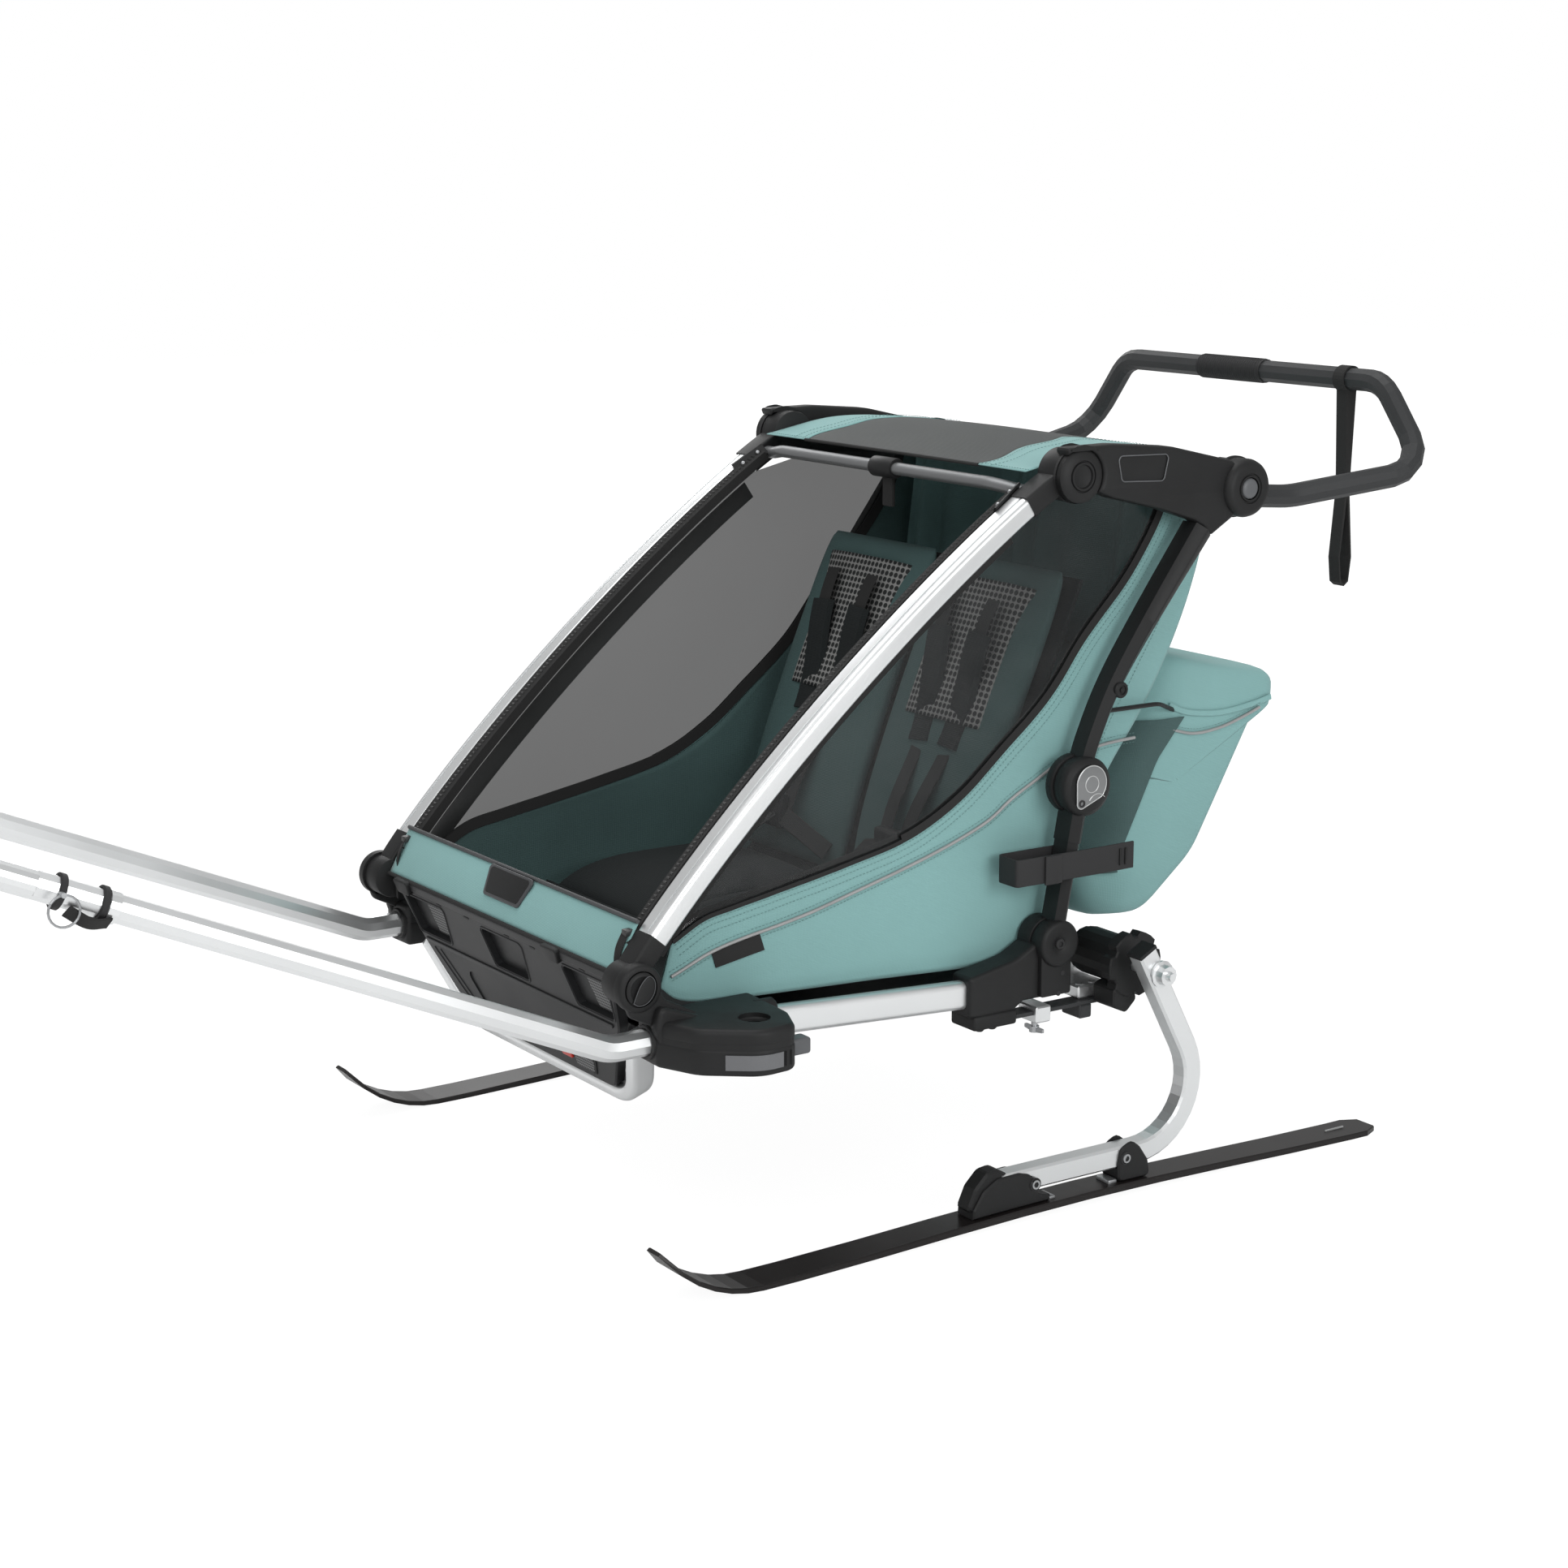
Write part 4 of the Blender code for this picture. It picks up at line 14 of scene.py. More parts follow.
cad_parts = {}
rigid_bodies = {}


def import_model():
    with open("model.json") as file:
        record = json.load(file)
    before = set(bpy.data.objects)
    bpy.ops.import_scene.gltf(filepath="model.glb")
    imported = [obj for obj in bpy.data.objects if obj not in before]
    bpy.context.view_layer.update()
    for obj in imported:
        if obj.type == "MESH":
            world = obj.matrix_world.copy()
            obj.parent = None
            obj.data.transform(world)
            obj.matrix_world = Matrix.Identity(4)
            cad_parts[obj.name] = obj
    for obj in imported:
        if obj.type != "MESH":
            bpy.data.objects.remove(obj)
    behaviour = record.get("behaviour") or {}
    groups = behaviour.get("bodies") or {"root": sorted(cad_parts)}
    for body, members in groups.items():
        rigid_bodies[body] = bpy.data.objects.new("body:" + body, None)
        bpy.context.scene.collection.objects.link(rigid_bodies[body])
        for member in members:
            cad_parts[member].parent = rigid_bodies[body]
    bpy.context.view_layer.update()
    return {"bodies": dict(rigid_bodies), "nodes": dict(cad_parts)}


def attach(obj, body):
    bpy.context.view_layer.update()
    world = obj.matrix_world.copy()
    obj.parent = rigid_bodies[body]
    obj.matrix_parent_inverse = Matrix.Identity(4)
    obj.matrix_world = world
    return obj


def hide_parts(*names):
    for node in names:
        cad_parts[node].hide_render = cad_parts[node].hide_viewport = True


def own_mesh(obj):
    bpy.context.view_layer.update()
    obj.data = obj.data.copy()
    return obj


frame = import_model()

bl_info = {
    "name": "Ski Trailer Dressing",
    "version": (1, 0, 0),
    "blender": (4, 5, 0),
    "location": "3D Viewport > Sidebar > Trailer",
    "description": "Builds the visible pieces of a folding child trailer on skis",
    "category": "Object",
}

# Frame pivots, side view.
FRONT_HUB = FRONT_HUB_Y, FRONT_HUB_Z = 0.007, 0.3565
TOP_HUB = TOP_HUB_Y, TOP_HUB_Z = 0.644, 0.9045
HANDLE_HUB = HANDLE_HUB_Y, HANDLE_HUB_Z = 0.912, 0.8735
KNEE = KNEE_Y, KNEE_Z = 0.657, 0.5155
REAR_HUB = REAR_HUB_Y, REAR_HUB_Z = 0.619, 0.3175

# Clearance between parts, and the half angle beyond which a corner counts as straight.
GAP = 0.0003
STRAIGHT = math.radians(89.0)

# Cushions: points round a section and the squareness of its sides. Stitches: one dash.
CUSHION_STEPS = 40
CUSHION_SIDE = 0.35
STITCH_SPACING = 0.0052
STITCH_LENGTH = 0.0034
STITCH_RADIUS = 0.00032

# Angles between faces above which a shared edge stays sharp.
EDGE_ANGLE = 38.0
SMOOTH = 180.0

# Planes across the frame, measured from the middle of the trailer.
PANEL_INNER_X = 0.2865
PANEL_THICK = 0.003
PILLAR_INNER_X = 0.2915
PILLAR_WIDTH = 0.032
PILLAR_DEPTH = 0.026
PILLAR_BOW = 0.038
HUB_FACE_X = 0.338
HUB_PLATE = 0.014
FRONT_HUB_RADIUS = 0.029
TOP_HUB_RADIUS = 0.033
ARM_INNER_X = 0.313
ARM_OUTER_X = 0.34
HANDLE_HUB_RADIUS = 0.0375
HANDLE_HUB_FACE_X = 0.35
STRUT_INNER_X = 0.309
STRUT_OUTER_X = 0.3455
STRUT_DEPTH = 0.017
KNEE_INNER_DISC_X = 0.3205
KNEE_OUTER_DISC_X = 0.3355
KNEE_RADIUS = 0.0378
HUB_LUG_INNER_X = 0.3195
HUB_LUG_OUTER_X = 0.335
HUB_LUG_FACE_X = 0.347
REAR_HUB_RADIUS = 0.03

# Base.
RAIL_X = 0.314
RAIL_WIDTH = 0.022
RAIL_HEIGHT = 0.036
RAIL_FRONT_Y = 0.157
RAIL_FRONT_Z = 0.2835
RAIL_REAR_Y = 0.512
RAIL_REAR_Z = 0.264
POD_BOTTOM_Z = 0.2595
POD_TOP_Z = 0.3155
POD_FRONT_Y = 0.027
POD_REAR_Y = 0.183
POD_OUTER_X = 0.44
CASTER_X = 0.388
CASTER_Y = 0.129
CASTER_BORE = 0.01
CASTER_DISH = 0.019
KNOB_RADIUS = 0.02
KNOB_SEAT = 0.006
CASTING_INNER_X = 0.294
CASTING_OUTER_X = 0.332
SHELL_LEAN = math.radians(19.7)
SHELL_TOP_Y = 0.0
SHELL_TOP_Z = 0.363
SHELL_MID_HALF = 0.249
SHELL_MID_DROP = 0.086
SHELL_HALF = 0.19
SHELL_DROP = 0.19
BUMPER_DEPTH = 0.035
BUMPER_WALL = 0.021

# Ski arms and skis.
ARM_TUBE_WIDTH = 0.026
ARM_TUBE_DEPTH = 0.028
ARM_RUN_Z = 0.049
ARM_TOP_Y = 0.698
ARM_TOP_Z = 0.312
ARM_CORNER_Y = 0.839
SKI_X = 0.409
CHEEK_WIDTH = 0.034

# Pull poles.
POLE_X = 0.318
POLE_Z = 0.2855
POLE_RADIUS = 0.016
POLE_ELBOW_Y = -0.027
POLE_RISE = 0.431
POLE_INWARD = 0.06
POLE_PIN_REACH = 0.629
POLE_TIP_REACH = 1.6
POLE_TIP_ROUND = 0.006

# Leaf spring and the block that holds it.
LEAF_X = 0.315
BLOCK_FRONT_Y = 0.492
BLOCK_REAR_Y = 0.56
BLOCK_TOP_Z = 0.2395
BLOCK_BOTTOM_Z = 0.2205

# Handle, roof tube and straps.
BAR_RADIUS = 0.0155
BAR_REAR_Y = 1.228
BAR_TOP_Z = 0.989
BUTTON_RADIUS = 0.0135
ROOF_TUBE_RADIUS = 0.01
STRAP_THICK = 0.0022

# Cabin.
ROOF_HALF_WIDTH = PANEL_INNER_X - GAP
BAG_HALF_WIDTH = 0.262
LIGHT_X = 0.12

# Outward direction of the left side, the roof's last row of the roof and back sheet, the pod's middle in (x, y).
OUTWARD = Vector((1, 0, 0))
ROOF_END = 46
POD_MIDDLE = Vector((0.36, 0.105))

# Lines of the cloth, seats and bag, side view.
REAR_SEAM = [(0.7, 0.47), (0.726, 0.56), (0.776, 0.64), (0.822, 0.715), (0.846, 0.79), (0.846, 0.88)]
BENCH_LINE = [(0.225, 0.315), (0.3, 0.335), (0.4, 0.338), (0.505, 0.335)]
SEAT_BACK_LINE = [(0.53, 0.35), (0.562, 0.46), (0.612, 0.59), (0.655, 0.69), (0.69, 0.772)]
FOOTWELL_LINE = [(0.042, 0.417), (0.024, 0.372), (0.074, 0.282), (0.2, 0.276), (0.222, 0.33)]
LID_EDGE = [(0.86, 0.585), (0.895, 0.572), (0.95, 0.566), (1.005, 0.571), (1.04, 0.578)]
LID_PIPING = [(0.866, 0.552), (0.905, 0.543), (0.95, 0.546), (0.99, 0.556), (1.02, 0.566)]
BAG_FRONT = [(0.3, 0.745), (0.385, 0.713), (0.5155, 0.755), (0.6555, 0.85)]

# Sections of the bag from its middle to its side: share of the half width, scale of the outline.
BAG_STATIONS = [(0.0, 1.0), (0.25, 1.0), (0.5, 1.0), (0.7, 0.999), (0.84, 0.996), (0.93, 0.985), (0.975, 0.965),
                (0.995, 0.93), (1.0, 0.86), (1.004, 0.6), (1.008, 0.3), (1.01, 0.03)]

# Finish: the wave texture's bands per unit of its scale.
BANDS_PER_UNIT = 20

# Studio: name, place, aim, size and power of each lamp; the camera measured in the photo.
LAMPS = [
    ("key_lamp", (3.2, -3.0, 3.6), (0, 0.2, 0.5), 2.6, 70.0),
    ("side_lamp", (4.4, 0.9, 1.7), (0.3, 0.4, 0.5), 2.2, 62.0),
    ("top_lamp", (-0.6, 0.4, 4.0), (0, 0.3, 0.5), 3.0, 60.0),
    ("rim_lamp", (-3.5, 1.8, 2.4), (0, 0.3, 0.6), 2.0, 30.0),
]
FLOOR_LINES = (-14.0, -5.0, 5.0, 14.0)
CAMERA_LENS = 67.37
CAMERA_ROUND = math.radians(56.03)
CAMERA_UP = math.radians(12.35)
CAMERA_PLACE = (3.109, -1.663, 1.305)


def wound(loop):
    """The loop, turned round if need be, so that rounded edges fall inside the outline."""
    pairs = zip(loop, loop[1:] + loop[:1])
    area = sum(a[0] * b[1] - b[0] * a[1] for a, b in pairs)
    return loop[::-1] if area < 0 else loop


def trapezium(top_half, bottom_half, top, bottom, middle=0.0):
    """Corners of a plate that is even about its middle and tapers from top to bottom."""
    return [(middle - top_half, top), (middle + top_half, top),
            (middle + bottom_half, bottom), (middle - bottom_half, bottom)]


def across(inner, outer):
    """Placing that lays a (y, z) outline between two x planes."""
    middle = (inner + outer) / 2
    return Matrix(((0, 0, 1, middle), (1, 0, 0, 0), (0, 1, 0, 0), (0, 0, 0, 1)))


def arc(centre, radius, start, end, steps=8):
    """Points on a circle from start to end degrees."""
    return [polar(centre, radius, start + (end - start) * i / steps) for i in range(steps + 1)]


def rounded(corners, radius, steps=3, closed=True):
    """Polyline with each corner replaced by an arc; radius is one value or one per corner."""
    count = len(corners)
    result = []
    for i, corner in enumerate(corners):
        here = Vector(corner)
        size = radius[i] if isinstance(radius, (list, tuple)) else radius
        ends = not closed and i in (0, count - 1)
        if ends or size <= 0:
            result.append(tuple(here))
            continue
        before = Vector(corners[i - 1]) - here
        after = Vector(corners[(i + 1) % count]) - here
        half = before.angle(after) / 2
        if half > STRAIGHT:
            result.append(tuple(here))
            continue
        reach = min(size / math.tan(half), 0.49 * before.length, 0.49 * after.length)
        size = reach * math.tan(half)
        bisector = (before.normalized() + after.normalized()).normalized()
        middle = here + bisector * (size / math.sin(half))
        first = here + before.normalized() * reach - middle
        last = here + after.normalized() * reach - middle
        sweep = first.angle(last)
        for k in range(steps + 1):
            a = math.sin(sweep * (1 - k / steps)) / math.sin(sweep)
            b = math.sin(sweep * k / steps) / math.sin(sweep)
            result.append(tuple(middle + first * a + last * b))
    return result


def smooth(points, per_span=6):
    """Catmull-Rom curve through points, each span in per_span steps."""
    places = [Vector(p) for p in points]
    places = [places[0] * 2 - places[1]] + places + [places[-1] * 2 - places[-2]]
    result = []
    for a, b, c, d in zip(places, places[1:], places[2:], places[3:]):
        for k in range(per_span):
            t = k / per_span
            turn = 2 * b + (c - a) * t + (2 * a - 5 * b + 4 * c - d) * t * t
            result.append(tuple((turn + (3 * b - a - 3 * c + d) * t ** 3) / 2))
    result.append(tuple(places[-2]))
    return result


def band(centre, depth):
    """Outline of a strip of even depth along a 2D centre line."""
    return beside(centre, depth / 2) + beside(centre, -depth / 2)[::-1]


def by(place, y, z):
    """A (y, z) place moved by y and z."""
    return (place[0] + y, place[1] + z)


def around(place, *steps):
    """(y, z) places, each a step from the same place."""
    return [by(place, *step) for step in steps]


def polar(centre, radius, degrees):
    """The point of a circle at an angle in degrees."""
    a = math.radians(degrees)
    return (centre[0] + radius * math.cos(a), centre[1] + radius * math.sin(a))


def pillar_point(share):
    """Centre line of the bowed front pillar, share 0 at the lower hub and 1 at the top hub."""
    start = Vector(FRONT_HUB)
    chord = Vector(TOP_HUB) - start
    normal = Vector((-chord.y, chord.x)).normalized()
    bow = PILLAR_BOW * max(math.sin(math.pi * share), 0.0) ** 0.6
    return tuple(start + chord * share + normal * bow)


def pillar_run(start, length, steps):
    """Points along the bowed pillar, from share start over a length of its share."""
    return [pillar_point(start + length * i / steps) for i in range(steps + 1)]


def rail_point(y):
    """The base rail's centre line at a y value."""
    share = (y - RAIL_FRONT_Y) / (RAIL_REAR_Y - RAIL_FRONT_Y)
    return (y, RAIL_FRONT_Z + (RAIL_REAR_Z - RAIL_FRONT_Z) * share)


def pole_direction():
    """Way of the left pull pole: forward, up and slightly inward."""
    return Vector((-POLE_INWARD, -1.0, POLE_RISE))


def pole_place(reach):
    """Point on the pole's centre line, reach metres forward of its elbow."""
    return Vector((POLE_X, POLE_ELBOW_Y, POLE_Z)) + pole_direction() * reach


def roof_tube_path():
    """Roof cross tube: straight over the cabin, turned down and back into the pillars."""
    end = Vector((PILLAR_INNER_X, *pillar_point(0.945)))
    return [end + Vector(step) for step in ((0.01, 0.0, -0.002), (-0.016, 0.0, -0.002), (-0.06, -0.015, 0.006))]


def arm_outline():
    """Top arm: wraps the top hub, swells and runs into the handle hub, with a boot below."""
    hub = TOP_HUB_RADIUS + 0.0012
    corners = [polar(TOP_HUB, hub, 128), *around(TOP_HUB, (-0.026, 0.036), (0.05, 0.037)),
               *around(HANDLE_HUB, (-0.125, 0.06), (-0.02, 0.036), (0.01, 0.0), (-0.018, -0.036)),
               boot_corner(+1), boot_corner(-1),
               by(HANDLE_HUB, -0.14, -0.018), by(TOP_HUB, 0.05, -0.03), polar(TOP_HUB, hub, -38)]
    radii = [0.0, 0.008, 0.1, 0.12, 0.01, 0.0, 0.01, 0.004, 0.006, 0.08, 0.03, 0.0]
    return rounded(corners, radii, 3, closed=False) + arc(TOP_HUB, hub, -38, 128, 8)[1:-1]


def strut_centre():
    """Rear upper pillar, side view, from the arm's boot to the knee."""
    return around(HANDLE_HUB, (-0.066, -0.048), (-0.149, -0.155)) + around(KNEE, (0.05, 0.124), (0.0165, 0.056),
                                                                          (0.002, 0.012))


def boot_corner(side):
    """Corners of the arm's lower boot, across the top end of the rear pillar."""
    first, second = (Vector(p) for p in smooth(strut_centre()[:-1], 5)[:2])
    ahead = (second - first).normalized()
    normal = Vector((-ahead.y, ahead.x))
    depth = 0.015 if side > 0 else 0.018
    return tuple(first + normal * depth * side - ahead * GAP)


def shell_placing(depth):
    """Leans a plate drawn in (x, drop) back by the shell's lean; drop runs down the front."""
    down = Vector((0, math.sin(SHELL_LEAN), -math.cos(SHELL_LEAN)))
    out = Vector((0, -math.cos(SHELL_LEAN), -math.sin(SHELL_LEAN)))
    origin = Vector((0, SHELL_TOP_Y, SHELL_TOP_Z)) - out * (depth / 2)
    rows = [(1 if i == 0 else 0, down[i], -out[i], origin[i]) for i in range(3)]
    return Matrix((*rows, (0, 0, 0, 1)))


def back_line():
    """Cloth line of roof and back, side view, from the roof's front edge to the floor."""
    front = by(pillar_point(0.95), -0.008, ROOF_TUBE_RADIUS + 0.012)
    rear = around(HANDLE_HUB, (-0.095, 0.048), (-0.03, 0.03), (-0.022, -0.06), (-0.075, -0.205))
    low = around(KNEE, (0.085, 0.012), (0.038, -0.058)) + [by(REAR_HUB, 0.062, 0.06)]
    return [front, by(TOP_HUB, 0.063, 0.022)] + rear + low


def bag_outline():
    """Cargo bag behind the cabin, side view: body, overhanging lid and rounded belly."""
    lid = around(HANDLE_HUB, (-0.058, -0.218), (0.142, -0.262), (0.14, -0.304), (0.108, -0.312))
    belly = around(KNEE, (0.256, -0.14), (0.172, -0.208), (0.09, -0.208), (0.056, -0.13))
    return [by(KNEE, 0.098, 0.0)] + lid + belly


def light_box():
    """Low and high corner of the tail light, seated in the bag's rear face."""
    y, z = HANDLE_HUB_Y + 0.084, KNEE_Z - 0.052
    return Vector((LIGHT_X - 0.03, y - 0.03, z - 0.016)), Vector((LIGHT_X + 0.03, y + 0.006, z + 0.016))


def model_length_middle():
    """Half way between the pole tips' foremost rims and the strap's ring round the crossbar."""
    lean = math.sqrt(1 - pole_direction().normalized().y ** 2)
    front = pole_place(POLE_TIP_REACH).y - (POLE_RADIUS - POLE_TIP_ROUND) * lean
    rear = BAR_REAR_Y + BAR_RADIUS + GAP + STRAP_THICK
    return (front + rear) / 2


def new_mesh(work, material):
    """Mesh of one material from a work mesh, which is used up."""
    bmesh.ops.recalc_face_normals(work, faces=work.faces)
    mesh = bpy.data.meshes.new("shape")
    work.to_mesh(mesh)
    work.free()
    mesh.materials.append(material)
    return mesh


def welded(mesh, material, reach=0.00001):
    """The mesh with points that touch made one."""
    work = bmesh.new()
    work.from_mesh(mesh)
    bmesh.ops.remove_doubles(work, verts=work.verts, dist=reach)
    for face in work.faces:
        face.material_index = 0
    bpy.data.meshes.remove(mesh)
    return new_mesh(work, material)


def from_curve(curve, material, placing=None):
    """Mesh of a curve, which is used up."""
    obj = bpy.data.objects.new("shape", curve)
    mesh = bpy.data.meshes.new_from_object(obj)
    mesh.materials.clear()
    if placing:
        mesh.transform(placing)
    bpy.data.objects.remove(obj)
    bpy.data.curves.remove(curve)
    return welded(mesh, material)


def polyline(curve, points, sizes, cyclic):
    """Adds a straight-sided spline to a curve, each point with its own size."""
    spline = curve.splines.new("POLY")
    spline.points.add(len(points) - 1)
    for point, place, size in zip(spline.points, points, sizes):
        point.co = (*place, 1.0)
        point.radius = size
    spline.use_cyclic_u = cyclic


def slab(outline, thick, placing, material, edge=0.0, rounds=3):
    """Flat plate from a closed 2D outline, its edges rounded by edge."""
    curve = bpy.data.curves.new("shape", "CURVE")
    curve.dimensions = "2D"
    curve.fill_mode = "BOTH"
    curve.resolution_u = 1
    curve.extrude = thick / 2 - edge
    curve.bevel_depth = edge
    curve.offset = -edge
    curve.bevel_resolution = rounds if edge else 0
    loop = wound(list(outline))
    polyline(curve, [(*place, 0.0) for place in loop], [1.0] * len(loop), True)
    return from_curve(curve, material, placing)


def side_plate(outline, inner, outer, material, edge=0.0):
    """Plate from a (y, z) outline, between two x planes."""
    return slab(outline, outer - inner, across(inner, outer), material, edge)


def plan_plate(outline, low, high, material, edge=0.0):
    """Plate from an (x, y) outline, between two heights."""
    return slab(outline, high - low, Matrix.Translation((0, 0, (low + high) / 2)), material, edge)


def turned(profile, base, axis, material, steps=48):
    """Solid of revolution: (radius, height) points, height along axis."""
    turn = Vector((0, 0, 1)).rotation_difference(Vector(axis)).to_matrix()
    work = bmesh.new()
    rings = []
    for radius, height in profile:
        if radius < 1e-6:
            rings.append([work.verts.new(Vector(base) + turn @ Vector((0, 0, height)))])
            continue
        angles = [2 * math.pi * i / steps for i in range(steps)]
        ring = [Vector((radius * math.cos(a), radius * math.sin(a), height)) for a in angles]
        rings.append([work.verts.new(Vector(base) + turn @ place) for place in ring])
    for near, far in zip(rings, rings[1:]):
        for i in range(steps):
            j = (i + 1) % steps
            corners = [near[i % len(near)], near[j % len(near)], far[j % len(far)], far[i % len(far)]]
            corners = [v for k, v in enumerate(corners) if v not in corners[:k]]
            if len(corners) > 2:
                work.faces.new(corners)
    return new_mesh(work, material)


def at_x(x, line):
    """A (y, z) line as points in space in one plane across the frame."""
    return [Vector((x, *place)) for place in line]


def mirrored(rows):
    """The rows on the other side of the trailer."""
    return [[(-x, y, z) for x, y, z in row] for row in rows]


def rim(radius, *steps):
    """Lathe points from (step beside the radius, height)."""
    return [(radius + step, height) for step, height in steps]


def spun(profile, x, centre, material, steps=48):
    """Solid of revolution about an x axis through a (y, z) centre, starting at x."""
    return turned(profile, (x, *centre), (1, 0, 0), material, steps)


def disc(radius, centre, inner, outer, material, edge=0.0015, steps=48):
    """Cylinder along x at a (y, z) centre with softened rims."""
    length = outer - inner
    profile = [(0.0, 0.0), (radius - edge, 0.0), (radius - 0.3 * edge, 0.3 * edge), (radius, edge)]
    profile += [(r, length - h) for r, h in reversed(profile)]
    return spun(profile, inner, centre, material, steps)


def rod(radius, start, end, material, edge=0.0006, steps=32):
    """Round bar between two points with softened rims."""
    axis = Vector(end) - Vector(start)
    profile = [(0.0, 0.0), (radius - edge, 0.0), (radius, edge)]
    profile += [(r, axis.length - h) for r, h in reversed(profile)]
    return turned(profile, start, axis.normalized(), material, steps)


def box(low, high, material, edge=0.0, rounds=2):
    """Block between two corners, its edges rounded by edge."""
    work = bmesh.new()
    bmesh.ops.create_cube(work, size=1.0)
    bmesh.ops.scale(work, vec=[b - a for a, b in zip(low, high)], verts=work.verts)
    bmesh.ops.translate(work, vec=[(a + b) / 2 for a, b in zip(low, high)], verts=work.verts)
    if edge:
        bmesh.ops.bevel(work, geom=work.edges, offset=edge, segments=rounds, affect="EDGES", profile=0.5)
    return new_mesh(work, material)


def tube(points, radius, material, rounds=6, cyclic=False):
    """Round bar along points in space."""
    curve = bpy.data.curves.new("shape", "CURVE")
    curve.dimensions = "3D"
    curve.resolution_u = 1
    curve.bevel_resolution = rounds
    curve.use_fill_caps = not cyclic
    curve.bevel_depth = radius
    polyline(curve, points, [1.0] * len(points), cyclic)
    return from_curve(curve, material)


def loft(rings, material):
    """Closed skin through rings of equal count."""
    work = bmesh.new()
    loops = [[work.verts.new(place) for place in ring] for ring in rings]
    count = len(rings[0])
    for near, far in zip(loops, loops[1:]):
        for i in range(count):
            j = (i + 1) % count
            work.faces.new((near[i], near[j], far[j], far[i]))
    work.faces.new(loops[0])
    work.faces.new(reversed(loops[-1]))
    return new_mesh(work, material)


def ahead_at(line, i):
    """Direction of travel at a point of a line, from its neighbours."""
    return Vector(line[min(i + 1, len(line) - 1)]) - Vector(line[max(i - 1, 0)])


def normals_of(line):
    """Unit normals, left of travel, along a 2D line."""
    steps = [ahead_at(line, i) for i in range(len(line))]
    return [Vector((-step.y, step.x)).normalized() for step in steps]


def sweep(line, section, material):
    """Bar along a (y, z) line; the section is (x, offset) and offset runs left of travel."""
    return loft([[(x, *(Vector(place) + normal * offset)) for x, offset in section]
                 for place, normal in zip(line, normals_of(line))], material)


def sheet_mesh(rows, thick, material):
    """Cloth from a grid of points, given its thickness."""
    work = bmesh.new()
    grid = [[work.verts.new(place) for place in row] for row in rows]
    for near, far in zip(grid, grid[1:]):
        for i in range(len(near) - 1):
            work.faces.new((near[i], near[i + 1], far[i + 1], far[i]))
    bmesh.ops.recalc_face_normals(work, faces=work.faces)
    if thick:
        bmesh.ops.solidify(work, geom=list(work.faces), thickness=thick)
    return new_mesh(work, material)


def along(line, count):
    """The line resampled to count points at even spacing."""
    places = [Vector(p) for p in line]
    lengths = [0.0]
    for a, b in zip(places, places[1:]):
        lengths.append(lengths[-1] + (b - a).length)
    result = []
    k = 0
    for i in range(count):
        want = lengths[-1] * i / (count - 1)
        while k < len(places) - 2 and lengths[k + 1] < want:
            k += 1
        span = max(lengths[k + 1] - lengths[k], 1e-9)
        result.append(places[k].lerp(places[k + 1], min(max((want - lengths[k]) / span, 0.0), 1.0)))
    return result


def ribbon(path, width, thick, material, up):
    """Flat strap along points; up is the direction of its face."""
    rings = []
    for i, place in enumerate(path):
        ahead = ahead_at(path, i).normalized()
        side = ahead.cross(up).normalized()
        face = side.cross(ahead).normalized()
        w, t, e = width / 2, thick / 2, min(thick * 0.5, width * 0.2)
        ring = [(-w, 0), (-w + e, t), (w - e, t), (w, 0), (w - e, -t), (-w + e, -t)]
        rings.append([place + side * a + face * b for a, b in ring])
    return loft(rings, material)


def stitches(path, face):
    """A row of thread dashes along a path, standing on the cloth."""
    total = sum((Vector(b) - Vector(a)).length for a, b in zip(path, path[1:]))
    count = max(int(total / STITCH_SPACING), 2)
    places = along(path, 2 * count)
    work = bmesh.new()
    for a, b in zip(places[::2], places[1::2]):
        middle = (a + b) / 2
        ahead = (b - a).normalized() * STITCH_LENGTH / 2
        side = ahead.normalized().cross(face).normalized() * STITCH_RADIUS
        rise = face.normalized() * STITCH_RADIUS
        ends = []
        for reach, size in ((-1.0, 0.5), (-0.6, 1.0), (0.6, 1.0), (1.0, 0.5)):
            at = middle + ahead * reach
            ends.append([work.verts.new(at + d * size) for d in (side, rise, -side, -rise)])
        for near, far in zip(ends, ends[1:]):
            for i in range(4):
                work.faces.new((near[i], near[(i + 1) % 4], far[(i + 1) % 4], far[i]))
    return new_mesh(work, thread())


def cushion(line, left, right, depth, material):
    """Crowned pad along a (y, z) line between two x planes."""
    centre, half = (left + right) / 2, (right - left) / 2
    rings = []
    last = len(line) - 1
    for i, (place, normal) in enumerate(zip(line, normals_of(line))):
        share = i / last
        pull = max(1 - abs(2 * share - 1) ** 5, 0.0) ** 0.5
        ring = []
        for k in range(CUSHION_STEPS):
            a = 2 * math.pi * k / CUSHION_STEPS
            c, s = math.cos(a), math.sin(a)
            x = half * (0.93 + 0.07 * pull) * math.copysign(abs(c) ** CUSHION_SIDE, c)
            crown = 0.72 + 0.28 * (1 - (x / half) ** 2)
            rise = depth / 2 * crown * math.copysign(abs(s) ** 0.75, s) * (0.12 + 0.88 * pull)
            ring.append((centre + x, *(Vector(place) + normal * rise)))
        rings.append(ring)
    return loft(rings, material)


